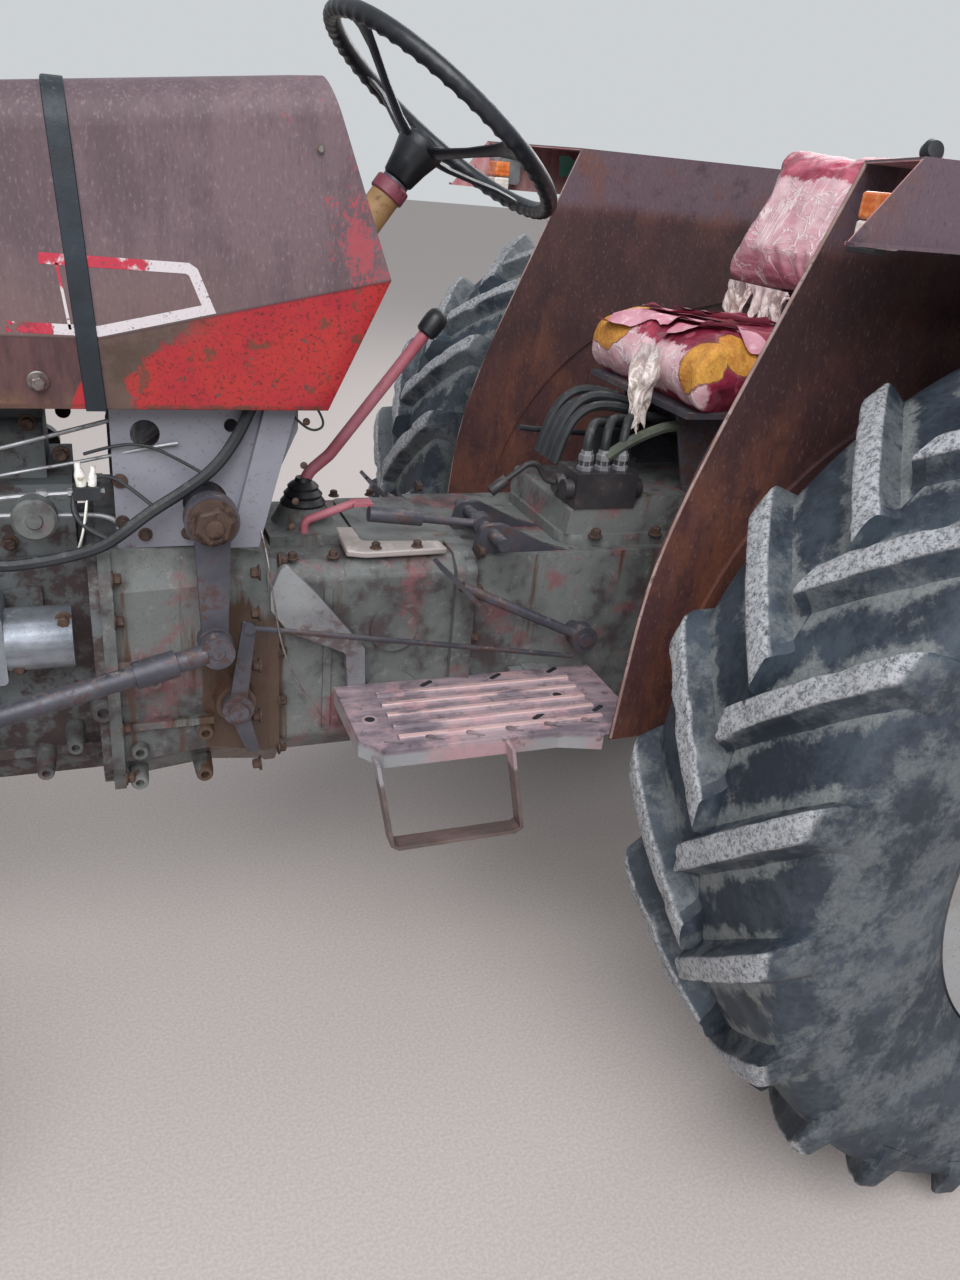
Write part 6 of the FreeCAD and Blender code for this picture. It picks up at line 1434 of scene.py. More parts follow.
    def steering_nuts(self) -> None:
        """Washer, nut and shaft end outside each drop arm."""
        parts = (
            (0.277, ((0, 0.034), (0.004, 0.034), (0.0045, 0.032), (0.0045, 0.0)), 40),
            (0.2805, ((0, 0.027), (0.019, 0.027), (0.022, 0.023), (0.022, 0.0)), 6),
            (0.3025, ((-0.002, 0.0125), (0.005, 0.0125), (0.006, 0.011), (0.006, 0.0)), 20),
        )
        ahead, height = self.steer_shaft
        for word, side in SIDES:
            nut = Shape()
            for out, profile, sides in parts:
                nut.turned((ahead, side * out, height), (0, side, 0), profile, sides)
            nut.piece(f"steering_nut_{word}", Tone.RUSTY)

    def build(self) -> None:
        """Build everything between the engine and the bulkhead."""
        self.pipes()
        self.loom()
        self.bosses()
        self.bulkhead()
        self.steering_nuts()


@dataclass
class Castings:
    """Flange bolts along the castings, and a pale cover on the gearbox."""

    bell_flanges: tuple[tuple[float, int], ...] = ((0.506, -1), (0.297, 1), (0.261, -1), (-0.069, -1))
    flange_heights: tuple[float, ...] = (0.535, 0.625, 0.715, 0.805, 0.872)
    bell_half: float = 0.2225
    gearbox_half: float = 0.18
    gearbox_from: float = 0.27
    gearbox_tops: tuple[float, ...] = (0.03, 0.1, 0.17, 0.235)
    axle_tops: tuple[float, ...] = (-0.3, -0.42, -0.55, -0.7, -0.86, -1.0)
    trumpet_circle: float = 0.148
    trumpet_face: float = 0.2005
    cover: Profile = ((0.143, 0.046), (0.001, 0.06), (-0.012, 0.09), (-0.02, 0.168), (0.12, 0.172),
                      (0.15, 0.16))
    cover_base: float = 0.8655
    cover_thick: float = 0.012

    def build(self) -> None:
        """Rows of bolt heads down each flange, bolts on the covers, and a pale cover plate."""
        steel = Shape()
        for ahead, facing in self.bell_flanges:
            half = self.bell_half if ahead > self.gearbox_from else self.gearbox_half
            for side in BOTH_SIDES:
                for height in self.flange_heights:
                    steel.bolt((ahead, side * half, height), (facing, 0, 0), 0.017)
        for side in BOTH_SIDES:
            for ahead in self.gearbox_tops:
                on_cover = side == LEFT and ahead < 0.15
                lift = self.cover_base + self.cover_thick if on_cover else 0.8662
                steel.bolt((ahead, side * 0.156, lift), UP, 0.014)
            for ahead in self.axle_tops:
                steel.bolt((ahead, side * 0.15, 0.8802), UP, 0.018)
            for foot in around_rear_axle(self.trumpet_circle, side * self.trumpet_face):
                steel.bolt(foot, (0, side, 0), 0.02)
        steel.piece("casting_bolts", Tone.RUSTY)
        plate = [(ahead, side, self.cover_base) for ahead, side in self.cover]
        Shape().prism(plate, (0, 0, self.cover_thick)).piece("gearbox_cover", Tone.PALE_COVER, ease=0.004)


@dataclass
class Controls:
    """Boots, knobs, grips and fittings of the driver's controls."""

    base: Point = (0.189, 0.0, 0.9053)
    bend: Point = (0.145, 0.0, 0.989)
    end: Point = (-0.017, 0.0, 1.201)
    plate_top: float = 0.655
    valve_rear: float = -0.351
    valve_pitch: float = 0.034
    hose_pitch: float = 0.026
    slot_half: float = 0.014
    slot_half_width: float = 0.0042

    def lever(self) -> None:
        """Knob and bellows of the gear lever."""
        run = (Vector(self.end) - Vector(self.bend)).normalized()
        knob = ((0, 0.0135), (0.003, 0.0172), (0.014, 0.0185), (0.03, 0.0188), (0.04, 0.0165), (0.046, 0.01),
                (0.048, 0))
        bellows = ((0.0, 0.0375), (0.004, 0.0385), (0.01, 0.034), (0.013, 0.031), (0.018, 0.033),
                   (0.023, 0.0285), (0.026, 0.0255), (0.031, 0.0265), (0.036, 0.0215), (0.04, 0.015),
                   (0.046, 0.0125))
        black = Shape().turned(Vector(self.end) - run * 0.012, run, knob, 32)
        black.turned(self.base, UP, bellows, 36).piece("lever_rubber", Tone.KNOB)

    def fittings(self) -> None:
        """Row of pipe unions on the valve."""
        nut = ((0, 0.015), (0.01, 0.015), (0.0115, 0.0125))
        union = ((0.0115, 0.0118), (0.02, 0.0118), (0.02, 0.0138), (0.03, 0.0138), (0.0315, 0.0115),
                 (0.038, 0.0105))
        silver = Shape()
        for number in range(3):
            place = (self.valve_rear + self.valve_pitch * number, 0.108, 0.986)
            silver.turned(place, UP, nut, 6)
            silver.turned(place, UP, union, 6)
        silver.piece("valve_fittings", Tone.LIGHT_ALLOY)

    def seat_hoses(self) -> None:
        """Hoses under the seat with their reservoir, and an olive one beside them."""
        hoses = Shape()
        for number in range(4):
            side, rise = -0.062 + self.hose_pitch * number, 0.012 * (number % 2)
            hoses.wire(((-0.268, side, 0.975), (-0.282, side, 1.04), (-0.318, side, 1.09 - rise),
                        (-0.375, side, 1.094 - rise), (-0.45, side, 1.07 - rise), (-0.56, side + 0.01, 1.02),
                        (-0.66, side + 0.02, 0.955)), 0.0088, 10)
        pot = ((0, 0.04), (0.085, 0.04), (0.092, 0.043), (0.1, 0.043), (0.104, 0.038), (0.105, 0.0))
        hoses.turned((-0.425, -0.075, 0.925), UP, pot, 36)
        hoses.wire(((-0.425, -0.11, 0.995), (-0.33, -0.1, 1.003), (-0.26, -0.085, 1.012),
                    (-0.232, -0.08, 1.016)), 0.0055)
        hoses.piece("seat_hoses", Tone.HOSE)
        olive = ((-0.318, 0.113, 1.012), (-0.345, 0.111, 1.03), (-0.39, 0.106, 1.05), (-0.44, 0.1, 1.064),
                 (-0.5, 0.09, 1.062), (-0.57, 0.07, 1.035), (-0.63, 0.05, 0.985))
        Shape().wire(olive, 0.0098, 10).piece("olive_hose", Tone.OLIVE_HOSE)

    def footplates(self) -> None:
        """Slots and the holes of the drilled rings as thin dark sheets, painted shade where the footplates are
        open, and the drilled rings.
        """
        slots = ((-0.107, 0.218), (-0.216, 0.214), (-0.127, 0.363), (-0.237, 0.358), (0.02, 0.222))
        ring = ((-0.001, 0.0135), (0.0012, 0.0125), (0.0016, 0.01), (0.0012, 0.0085), (0.0004, 0.008),
                (0.0004, 0.0))
        hole = ((0.0, 0.0078), (0.0009, 0.0078), (0.0009, 0.0))
        dark = Shape()
        rings = Shape()
        run = Vector((-0.83, -0.55, 0)).normalized()
        across = Vector((-run.y, run.x, 0))
        for side in BOTH_SIDES:
            for ahead, out in slots:
                corners = []
                for along, wide in clipped(0.8, 0.5):
                    corner = Vector((ahead, out, self.plate_top)) + run * (self.slot_half * along)
                    corner = corner + across * (self.slot_half_width * wide)
                    corners.append((corner.x, side * corner.y, corner.z))
                # A thin dark sheet for each slot: painted shade.
                dark.prism(corners, (0, 0, 0.0005))
            for ahead, out in ((0.143, 0.321), (-0.188, 0.302)):
                foot = (ahead, side * out, self.plate_top)
                rings.turned(foot, UP, ring, 28)
                # A dark disc inside the ring: painted shade in the hole.
                dark.turned(foot, UP, hole, 24)
        dark.piece("footplate_slots", Tone.SLOT_SHADE)
        rings.piece("footplate_rings", FootplatePaint("ring_paint", top=0.7))

    def build(self) -> None:
        """Fit the lever, the valve, the hoses and the footplates."""
        self.lever()
        self.fittings()
        self.seat_hoses()
        self.footplates()


# Seat


def drape(name: str, finish: Union[Finish, Tone],
          place: Callable[[float, float], Vector], counts: tuple[int, int]) -> bpy.types.Object:
    """A thin sheet laid out by a rule.

    Args:
        name: Name of the piece.
        finish: Its finish.
        place: Gives the point for shares of the width and the length.
        counts: Number of faces across and along.

    Returns:
        The object.
    """
    shape = Shape()
    across, along = counts
    rows = [shape.points([place(number / across, step / along) for number in range(across + 1)])
            for step in range(along + 1)]
    piece = shape.grid(rows).piece(name, finish, smooth=80.0)
    return piece


@dataclass
class Flap:
    """One torn strip of vinyl that lies on the cushion and curls along its near edge."""

    number: int
    surface: BVHTree
    start: tuple[float, float]
    end: tuple[float, float]
    wide: float
    long: float
    lift: float
    top: float = 1.217
    lowest: float = 1.196
    clear: float = 0.003

    def place(self, u: float, v: float) -> Vector:
        """A point of the strip by its shares of the width and of the length."""
        number = self.number
        run = Vector((self.end[0] - self.start[0], self.end[1] - self.start[1], 0)).normalized()
        across = Vector((run.y, -run.x, 0))
        taper = 1.0 - 0.35 * noise.noise(Vector((v * 5, number, 0.5))) - 0.25 * v
        sway = 0.012 * noise.noise(Vector((v * 4.0, number * 3.1, 2.0)))
        point = Vector((*self.start, self.top)) + run * (self.long * v)
        point = point + across * (self.wide * taper * (u - 0.2) + sway)
        curl = self.lift * (u ** 2) * (0.9 + 0.9 * noise.noise(Vector((v * 7, number * 1.7, 0))))
        under = self.surface.ray_cast(Vector((point.x, point.y, 2.0)), Vector((0, 0, -1)))[0]
        lies = max(under.z if under else 0.0, self.lowest)
        point.z = lies + self.clear + curl + 0.0015 * math.sin(9 * v + number)
        return point


@dataclass
class Seat:
    """Burst cushion and backrest, filled out by a short cloth simulation."""

    voxel: float = 0.006
    shrink: float = 0.965
    pressure: float = 4.0
    frames: int = 20
    most: float = 0.022

    def puff(self, node: str, name: str, finish: Finish) -> bpy.types.Object:
        """Swell a copy of a solid cushion under inner pressure.

        Args:
            node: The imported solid.
            name: Name of the piece.
            finish: Its finish.

        Returns:
            The swollen cushion.
        """
        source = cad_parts[node]
        data = source.data.copy()
        data.transform(source.matrix_world)
        low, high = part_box(node)
        centre = 0.5 * (Vector(low) + Vector(high))
        data.transform(Matrix.Translation(centre) @ Matrix.Scale(self.shrink, 4) @ Matrix.Translation(-centre))
        piece = bpy.data.objects.new(name, data)
        bpy.context.scene.collection.objects.link(piece)
        remesh = piece.modifiers.new("remesh", "REMESH")
        remesh.mode = "VOXEL"
        remesh.voxel_size = self.voxel
        self.bake(piece)
        self.swell(piece)
        for vertex in piece.data.vertices:
            point = vertex.co
            fold = noise.noise(Vector((point.x * 9, point.y * 5, point.z * 16))) * 0.006
            fold += noise.noise(point * 34.0) * 0.0025
            vertex.co = point + vertex.normal * fold
        piece.data.materials.clear()
        piece.data.materials.append(finish.material())
        for polygon in piece.data.polygons:
            polygon.use_smooth = True
        finer = piece.modifiers.new("finer", "SUBSURF")
        finer.levels = finer.render_levels = 1
        finish.slot
        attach(piece, "chassis")
        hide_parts(node)
        LOG.info("%s: %d faces", name, len(piece.data.polygons))
        return piece

    def bake(self, piece: bpy.types.Object) -> None:
        """Replace a piece's mesh with what its modifiers make of it."""
        depsgraph = bpy.context.evaluated_depsgraph_get()
        depsgraph.update()
        made = bpy.data.meshes.new_from_object(piece.evaluated_get(depsgraph))
        piece.modifiers.clear()
        piece.data = made

    def swell(self, piece: bpy.types.Object) -> None:
        """Run the pressure simulation and keep its last frame, with each point's motion capped."""
        rest = [vertex.co.copy() for vertex in piece.data.vertices]
        cloth = piece.modifiers.new("cloth", "CLOTH")
        cloth.settings.use_pressure = True
        cloth.settings.uniform_pressure_force = self.pressure
        cloth.settings.effector_weights.gravity = 0.0
        cloth.point_cache.frame_start = 1
        cloth.point_cache.frame_end = self.frames
        scene = bpy.context.scene
        for number in range(1, self.frames + 1):
            scene.frame_set(number)
        self.bake(piece)
        scene.frame_set(1)
        for vertex, start in zip(piece.data.vertices, rest):
            motion = vertex.co - start
            if motion.length > self.most:
                vertex.co = start + motion * (self.most / motion.length)

    def flaps(self, cushion: bpy.types.Object) -> None:
        """Long torn strips of vinyl curling along the cushion's top."""
        vinyl = Worn("torn_vinyl", "d39cab", "bf7486", "7d3148", 0.24, "eed6da", 0.35, 60.0, 0.5,
                     relief=0.3, slot="seat_vinyl")
        plans = (
            ((-0.436, -0.17), (-0.56, 0.11), 0.06, 0.3, 0.01),
            ((-0.5, -0.13), (-0.64, 0.06), 0.055, 0.24, 0.013),
            ((-0.455, 0.02), (-0.56, 0.185), 0.05, 0.2, 0.014),
            ((-0.6, -0.16), (-0.72, 0.12), 0.06, 0.3, 0.008),
        )
        surface = BVHTree.FromObject(cushion, bpy.context.evaluated_depsgraph_get())
        for number, plan in enumerate(plans, start=1):
            flap = Flap(number, surface, *plan)
            drape(f"vinyl_flap_{number}", vinyl, flap.place, (8, 40))

    def film(self, cushion: bpy.types.Object, backrest: bpy.types.Object) -> None:
        """Film rag that hangs over the cushion's front, and the fringe under the backrest."""

        def rag(u: float, v: float) -> Vector:
            """A gathered rag, narrow at its top."""
            end = 0.8 + 0.2 * noise.noise(Vector((u * 5.0, 0.3, 0.0)))
            gather = 0.5 + 0.5 * math.sin(math.pi * min(1.0, v + 0.25))
            side = 0.078 + 0.08 * (u - 0.5) * gather + 0.012 * noise.noise(Vector((v * 5, 1.0, u)))
            ahead = -0.392 + 0.013 * math.sin(12 * u + 3 * v) * min(1.0, 2.5 * v) + 0.01 * v
            return Vector((ahead, side + 0.012 * v, 1.2 - 0.172 * v * end))

        def fringe(u: float, v: float) -> Vector:
            """A ragged edge with points of unequal length."""
            jag = 0.62 + 0.5 * noise.noise(Vector((u * 4.3, 0.7, 0.0)))
            jag = jag + 0.6 * noise.noise(Vector((u * 15.0, 2.7, 0.0)))
            side = -0.19 + 0.2 * u
            ahead = -0.704 + 0.01 * math.sin(40 * u + 2 * v) * v - 0.004 * v
            sway = 0.006 * noise.noise(Vector((u * 8, v * 4, 0)))
            return Vector((ahead, side + sway, 1.29 - 0.085 * v * max(0.15, min(1.0, jag))))

        drape("film_rag", ClearFilm(), rag, (24, 30))
        drape("film_fringe", ClearFilm(), fringe, (60, 16))

    def build(self) -> None:
        """Cushion, backrest and their tatters."""
        bursts = (((-0.44, -0.15, 1.215), 0.07), ((-0.425, 0.175, 1.195), 0.052),
                  ((-0.5, 0.185, 1.205), 0.04))
        cover = SeatCover("cushion_cover", film_rear=-0.445, burst=bursts)
        cushion = self.puff("seat_cushion", "cushion", cover)
        cover = SeatCover("backrest_cover", "b4566b", "86203a", film_top=1.485, film_rear=-0.95, blush_top=1.36)
        backrest = self.puff("seat_back", "backrest", cover)
        self.flaps(cushion)
        self.film(cushion, backrest)
        knob = ((0, 0.01), (0.006, 0.017), (0.018, 0.019), (0.026, 0.014), (0.028, 0.0))
        Shape().turned((-0.775, 0.196, 1.53), (0.2, 0.9, 0.3), knob, 28).piece("backrest_knob", Tone.KNOB)
        dress("seat_frame", Tone.DARK_STEEL, 0.001)


# Fenders


@dataclass
class Fenders:
    """Lamps, worn front edges, creases and bolts of the fenders."""

    face: float = 0.4385
    edge_side: float = 0.4395
    lip: float = 0.0026
    crease: float = 0.0014
    lamp_sides: tuple[float, float] = (0.597, 0.645)
    patch_side: float = -0.6757

    def panel(self, side: int, ahead: float, deep: float, bottom: float, top: float) -> Shape:
        """A block as wide as the lamp, by its rear face, depth and heights."""
        low, high = sorted(side * out for out in self.lamp_sides)
        corners = ((ahead, low, bottom), (ahead, high, bottom), (ahead, high, top), (ahead, low, top))
        return Shape().prism(corners, (deep, 0, 0))

    def lamps(self, side: int, word: str) -> None:
        """Two-coloured lens in front of the lamp's box."""
        lenses = (("amber", "c8642a", "dc8a52", 1.434, 1.464), ("white", "cfc6bb", "e2dcd3", 1.404, 1.433))
        for name, base, faded, bottom, top in lenses:
            lens = self.panel(side, -0.372, 0.034, bottom, top)
            lens.piece(f"lens_{name}_{word}", LampLens(f"lens_{name}", base, faded), ease=0.004)
        sill = self.panel(side, -0.352, 0.018, 1.398, 1.404)
        sill.piece(f"lens_sill_{word}", Tone.BLACK_STEEL, ease=0.001)

    def patch(self) -> None:
        """Plain green patch on the inner face of the right fender's outer sheet, painted a lighter green as
        painted light for the shaded recess it sits in.
        """
        outline = ((-0.519, 1.487), (-0.541, 1.49), (-0.559, 1.48), (-0.567, 1.462), (-0.563, 1.447),
                   (-0.545, 1.445), (-0.524, 1.446), (-0.5215, 1.466))
        corners = [(ahead, self.patch_side, height) for ahead, height in outline]
        Shape().prism(corners, (0, 0.0006, 0)).piece("green_patch", Tone.PATCH_GREEN)

    def edges(self, side: int) -> Shape:
        """Rolled lip down the front edge and a crease along the top."""
        front = ((-0.2215, 0.648), (-0.23, 0.77), (-0.239, 0.88), (-0.257, 0.97), (-0.297, 1.095),
                 (-0.38, 1.3), (-0.464, 1.5))
        top = ((-0.478, 1.444), (-0.62, 1.446), (-0.76, 1.447), (-0.91, 1.447))
        worn = Shape()
        for route, out, radius in ((front, self.edge_side, self.lip), (top, self.face, self.crease)):
            worn.wire([(ahead, side * out, height) for ahead, height in route], radius)
        return worn

    def build(self) -> None:
        """Dress the sheets and add lamps, edges and bolts."""
        steel = Shape()
        for word, side in SIDES:
            dress(f"fender_{word}", FenderPaint(), 0.001)
            self.lamps(side, word)
            self.edges(side).piece(f"fender_edge_{word}", Tone.WORN_EDGE)
            for ahead, height in ((-0.62, 1.1), (-1.05, 1.3), (-1.25, 1.05)):
                steel.bolt((ahead, side * self.face, height), (0, -side, 0), 0.016)
        steel.piece("fender_bolts", Tone.RUSTY)
        self.patch()


@dataclass
class Front:
    """Headlamp glasses with their bezels, and the clamps of the silencer."""

    face: float = 1.6706
    side: float = 0.128
    height: float = 1.2
    radius: float = 0.066
    dome: float = 0.014
    pipe_ahead: float = 0.849
    pipe_side: float = -0.15
    clamp_heights: tuple[float, float] = (1.556, 1.838)

    def headlamp(self, word: str, side: int, glass: Finish) -> None:
        """A domed glass and a rolled bezel."""
        foot = (self.face, side * self.side, self.height)
        clear = self.radius * 0.9
        dome = [(self.dome * (1.0 - (step / 8) ** 2), clear * step / 8) for step in range(8, -1, -1)]
        dome = Shape().turned(foot, (1, 0, 0), [(-0.002, clear)] + dome, 48)
        dome.piece(f"headlamp_glass_{word}", glass)
        rim = ((-0.012, 1.005), (-0.01, 1.03), (0.000, 1.035), (0.005, 1.0), (0.006, 0.95), (0.003, 0.9),
               (-0.003, 0.89))
        bezel = Shape()
        rings = []
        for step, share in rim:
            centre = (self.face + step, foot[1], foot[2])
            rings.append(bezel.ring(centre, Vector((0, 1, 0)), Vector(UP), self.radius * share, 56))
        bezel.loop(rings).piece(f"headlamp_bezel_{word}", Tone.FASTENER, smooth=60.0)

    def clamps(self) -> None:
        """Two bolted bands round the silencer."""
        band = ((-0.008, 0.057), (-0.008, 0.0605), (0.008, 0.0605), (0.008, 0.057))
        clamps = Shape()
        for height in self.clamp_heights:
            clamps.turned((self.pipe_ahead, self.pipe_side, height), UP, band, 40)
            clamps.bolt((self.pipe_ahead + 0.055, self.pipe_side + 0.018, height), (0, 1, 0), 0.012)
        clamps.piece("silencer_clamps", Tone.RUSTY)

    def build(self) -> None:
        """Both headlamps, and the silencer's clamps."""
        glass = LampLens("headlamp_glass", "aab2b6", "c9cdce")
        for word, side in SIDES:
            self.headlamp(word, side, glass)
        self.clamps()


# Bonnet


@dataclass
class Bonnet:
    """Bonnet sheet with its strap, stripe and side bolts."""

    half: float = 0.25
    tuck: float = 0.236
    bottom: float = 1.119
    fold: float = 1.212
    back: float = 0.211
    back_top: float = 1.537
    fall: float = 0.12
    turn: float = 0.05
    crown: float = 0.008
    strap_top_ahead: float = 0.532
    strap_low_ahead: float = 0.509
    strap_width: float = 0.026
    strap_thick: float = 0.0028
    strap_clear: float = 0.0006
    panel_side: float = 0.2425
    painted_side: float = 0.25035
    line_half: float = 0.0066

    def outline(self, ahead: float, proud: float) -> list[tuple[float, float]]:
        """Half of the cross section from the lower edge to the crown, as pairs of side and height."""
        top = self.back_top - self.fall * (ahead - self.back) + proud
        half = self.half + proud
        points = [(self.tuck + proud, self.bottom - 0.002), (half, self.fold), (half, top - self.turn - proud)]
        turn = self.turn + proud
        for step in range(1, 6):
            angle = math.radians(18 * step)
            points.append((half - turn + turn * math.cos(angle), top - turn + turn * math.sin(angle)))
        points.append((0.5 * (half - turn), top + 0.5 * self.crown))
        points.append((0.0, top + self.crown))
        return points

    def strap(self) -> None:
        """Dark strap over the bonnet, which leans back towards its lower ends."""
        middle = 0.5 * (self.strap_top_ahead + self.strap_low_ahead)
        inner = self.outline(middle, self.strap_clear)
        outer = self.outline(middle, self.strap_clear + self.strap_thick)
        half = self.strap_width / 2
        top = max(height for _, height in inner)
        lean = (self.strap_top_ahead - self.strap_low_ahead) / (top - self.bottom)
        rings = []
        for side, pairs in ((LEFT, zip(inner, outer)), (RIGHT, list(zip(inner, outer))[-2::-1])):
            for (near_side, near_height), (far_side, far_height) in pairs:
                ahead = self.strap_low_ahead + lean * (near_height - self.bottom)
                rings.append([
                    (ahead - half, side * near_side, near_height),
                    (ahead + half, side * near_side, near_height),
                    (ahead + half - 0.001, side * far_side, far_height),
                    (ahead - half + 0.001, side * far_side, far_height),
                ])
        Shape().bar(rings).piece("bonnet_strap", Tone.STRAP)

    def bolts(self) -> None:
        """Bolts with washers in both side panels."""
        lower, tilt = self.panel_side, -0.15
        plan = ((0.576, lower, 1.156, tilt, 0.019), (0.222, self.half, 1.452, 0.0, 0.008),
                (1.18, lower, 1.156, tilt, 0.019), (1.43, lower, 1.156, tilt, 0.014))
        steel = Shape()
        for side in BOTH_SIDES:
            for ahead, out, height, lean, across in plan:
                steel.bolt((ahead, side * out, height), (0, side, lean), across)
        steel.piece("bonnet_bolts", Tone.FASTENER)

    def stripe(self) -> None:
        """Painted line around a hollow panel above the fold, on both sides."""
        path = ((0.562, 1.305), (0.3885, 1.302), (0.3815, 1.2975), (0.3635, 1.253), (0.499, 1.221),
                (0.606, 1.2235))
        bar = ((0.544, 1.3), (0.5405, 1.3), (0.531, 1.222), (0.5345, 1.222))
        path = [Vector(point) for point in path]
        normals = []
        for before, after in zip(path, path[1:]):
            run = (after - before).normalized()
            normals.append(Vector((-run.y, run.x)))
        edges = []
        for point, first, second in zip(path, normals[:1] + normals, normals + normals[-1:]):
            mitre = (first + second).normalized()
            reach = self.line_half / max(0.3, mitre.dot(first))
            edges.append((point + mitre * reach, point - mitre * reach))
        faces = [(one, two, four, three) for (one, two), (three, four) in zip(edges, edges[1:])]
        for word, side in SIDES:
            shape = Shape()
            for face in (*faces, bar):
                corners = [(ahead, side * self.painted_side, height) for ahead, height in face]
                shape.mesh.faces.new(shape.points(corners))
            shape.piece(f"bonnet_stripe_{word}", StripePaint())

    def build(self) -> None:
        """Dress the sheet and add what is on it."""
        dress("hood", BonnetPaint(), 0.0009)
        dress("nose", BonnetPaint(), 0.0009)
        self.strap()
        self.stripe()
        self.bolts()


# Light and camera


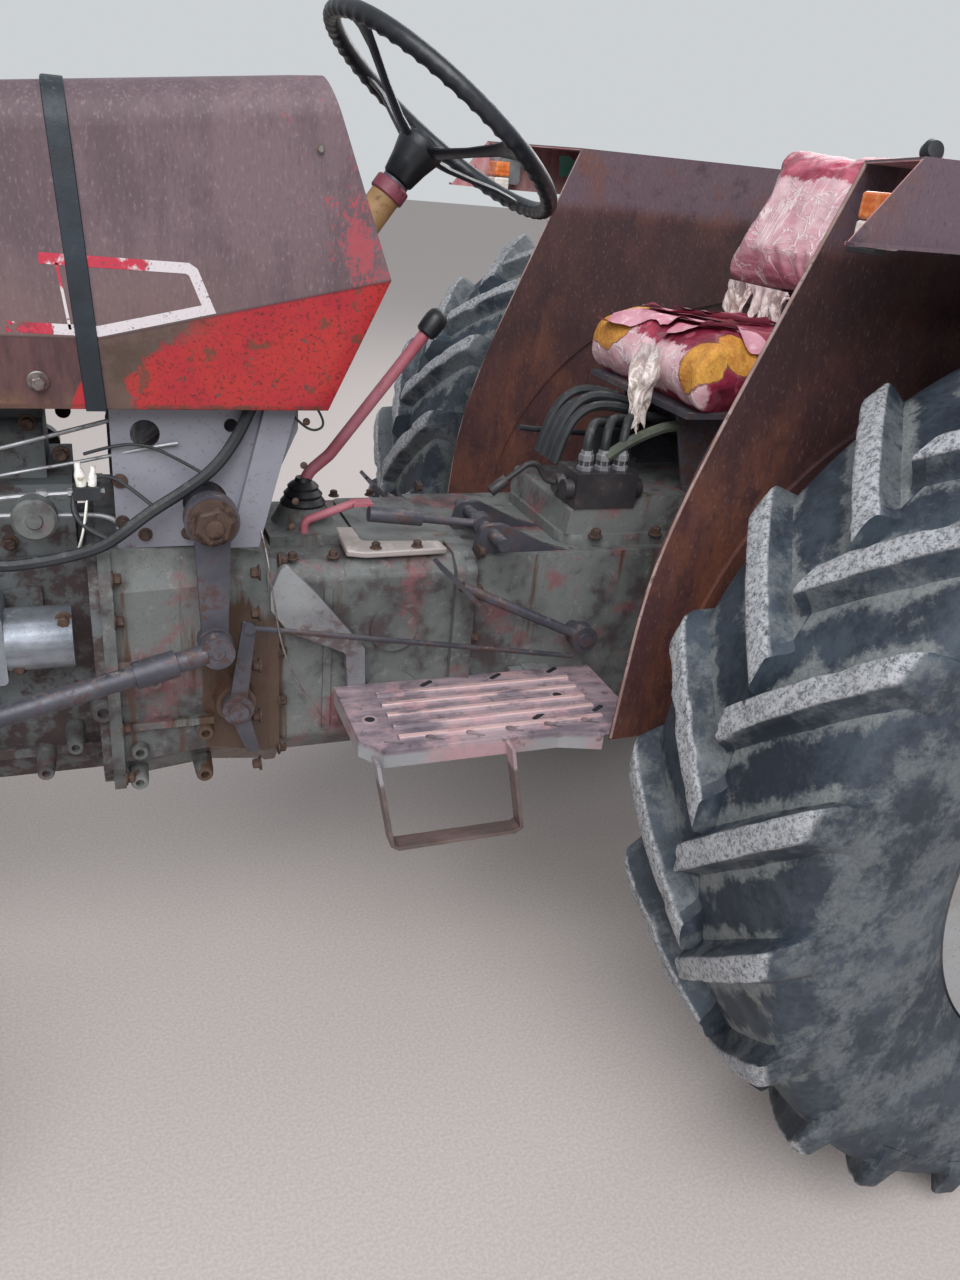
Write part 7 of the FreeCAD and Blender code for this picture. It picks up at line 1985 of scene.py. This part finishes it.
@dataclass
class Studio:
    """Pale floor, soft light and the camera at the photograph's place."""

    eye: Point = (0.513, 1.641, 1.451)
    yaw: float = 22.35
    pitch: float = 25.18
    roll: float = 5.53
    focal: float = 1003.7
    width: int = 960
    height: int = 1280
    floor_half: float = 40.0
    sky: Colour = (0.93, 0.96, 1.0, 1.0)
    sky_strength: float = 0.62
    backdrop: str = "cdd1d4"
    aim: Point = (0.0, 0.0, 0.8)

    def camera(self) -> None:
        """Camera whose long side spans the image height."""
        yaw, pitch, roll = (math.radians(angle) for angle in (self.yaw, self.pitch, self.roll))
        flat = math.cos(pitch)
        forward = Vector((-math.sin(yaw) * flat, -math.cos(yaw) * flat, -math.sin(pitch)))
        level = forward.cross(Vector(UP)).normalized()
        above = level.cross(forward)
        right = math.cos(roll) * level + math.sin(roll) * above
        upward = math.cos(roll) * above - math.sin(roll) * level
        data = bpy.data.cameras.new("camera")
        data.sensor_fit = "AUTO"
        data.sensor_width = 36.0
        data.lens = data.sensor_width * self.focal / max(self.width, self.height)
        data.clip_start = 0.02
        data.clip_end = 200.0
        camera = bpy.data.objects.new("camera", data)
        columns = Matrix((right, upward, -forward)).transposed().to_4x4()
        camera.matrix_world = Matrix.Translation(Vector(self.eye)) @ columns
        bpy.context.scene.collection.objects.link(camera)
        bpy.context.scene.camera = camera

    def floor(self) -> None:
        """Plain pale ground."""
        shader = Shader("floor")
        grain = shader.noise(180.0, 4.0, 0.6)
        material = shader.surface(shader.tones(grain.ramp(0.3, 0.7), "b3aaa7", "c2bab6"), 0.9)
        half = self.floor_half
        data = bpy.data.meshes.new("floor")
        corners = [(-half, -half, 0), (half, -half, 0), (half, half, 0), (-half, half, 0)]
        data.from_pydata(corners, [], [(0, 1, 2, 3)])
        data.materials.append(material)
        floor = bpy.data.objects.new("floor", data)
        bpy.context.scene.collection.objects.link(floor)
        floor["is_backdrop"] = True

    def world(self) -> None:
        """Even sky light, with a pale background behind the tractor."""
        world = bpy.data.worlds.new("sky")
        bpy.context.scene.world = world
        world.use_nodes = True
        nodes, links = world.node_tree.nodes, world.node_tree.links
        nodes.clear()
        skies = []
        for colour, strength in ((self.sky, self.sky_strength), (tint(self.backdrop), 1.0)):
            sky = nodes.new("ShaderNodeBackground")
            sky.inputs["Color"].default_value = colour
            sky.inputs["Strength"].default_value = strength
            skies.append(sky)
        rays = nodes.new("ShaderNodeLightPath")
        either = nodes.new("ShaderNodeMath")
        either.operation = "MAXIMUM"
        links.new(rays.outputs["Is Camera Ray"], either.inputs[0])
        links.new(rays.outputs["Is Transmission Ray"], either.inputs[1])
        choice = nodes.new("ShaderNodeMixShader")
        links.new(either.outputs[0], choice.inputs[0])
        for socket, sky in enumerate(skies, start=1):
            links.new(sky.outputs[0], choice.inputs[socket])
        out = nodes.new("ShaderNodeOutputWorld")
        links.new(choice.outputs[0], out.inputs["Surface"])

    def lamp(self, name: str, place: Point, size: float, power: float) -> None:
        """One soft square lamp that faces the tractor.

        Args:
            name: Its name.
            place: Where it hangs.
            size: Length of its sides.
            power: Its power in watts.
        """
        data = bpy.data.lights.new(name, "AREA")
        data.size = size
        data.energy = power
        lamp = bpy.data.objects.new(name, data)
        direction = Vector(self.aim) - Vector(place)
        lamp.location = place
        lamp.rotation_euler = direction.to_track_quat("-Z", "Y").to_euler()
        bpy.context.scene.collection.objects.link(lamp)

    def build(self) -> None:
        """Set the scene's light, floor and camera."""
        bpy.context.scene.view_settings.view_transform = "Standard"
        self.floor()
        self.world()
        self.lamp("key", (1.6, 4.2, 5.0), 4.5, 420.0)
        self.lamp("fill", (-4.5, -3.0, 4.5), 5.0, 260.0)
        self.camera()


def dress_plain_nodes() -> None:
    """Give the remaining solids their finishes."""
    plan = (
        (Tone.ENGINE, 0.003, ("engine",)),
        (Tone.PUMP, 0.0018, ("engine_ancillaries",)),
        (Tone.EXHAUST, 0.0, ("exhaust",)),
        (Tone.RADIATOR, 0.001, ("radiator",)),
        (CastGrey(), 0.004, ("bell_housing", "gearbox", "rear_axle_housing", "lift_cover")),
        (CastGrey("cast_axle", oil_reach=0.001), 0.003, ("front_bolster", "front_axle")),
        (Tone.GRILLE, 0.0008, ("grille",)),
        (Tone.LIGHT_ALLOY, 0.0018, ("platform_hangers", "lamps")),
        (Tone.PANEL, 0.001, ("bulkhead",)),
        (Tone.DARK_STEEL, 0.002, ("steering_gear", "hand_lever", "pedals", "clutch_shaft", "hitch",
                                  "pto_shaft", "lift_arms", "drop_arm_left", "drop_arm_right",
                                  "lower_link_left", "lower_link_right", "knuckle_left", "knuckle_right")),
        (Tone.DARK_STEEL, 0.0, ("drag_link_left", "drag_link_right", "lift_rod_left", "lift_rod_right")),
        (Tone.LEVER, 0.0, ("gear_levers",)),
        (Tone.BLACK_STEEL, 0.0012, ("spool_valve",)),
        (Tone.HOSE, 0.0, ("hoses",)),
        (FootplatePaint(), 0.0008, ("platforms",)),
    )
    for finish, ease, nodes in plan:
        for node in nodes:
            dress(node, finish, ease)


def write_sizes() -> None:
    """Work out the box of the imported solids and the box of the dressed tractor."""
    boxes = {"cad": CAD_BOX, "visual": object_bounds()}
    {name: [list(corner) for corner in box] for name, box in boxes.items()}


def main() -> None:
    """Dress the tractor, build its small parts, and light it."""
    logging.basicConfig(level=logging.INFO, format="%(message)s")
    dress_plain_nodes()
    for part in (Bonnet, EngineSide, Castings, Controls, Fenders, Front, SteeringWheel, Wheels, Seat, Studio):
        part().build()
    write_sizes()


if __name__ == "__main__":
    main()
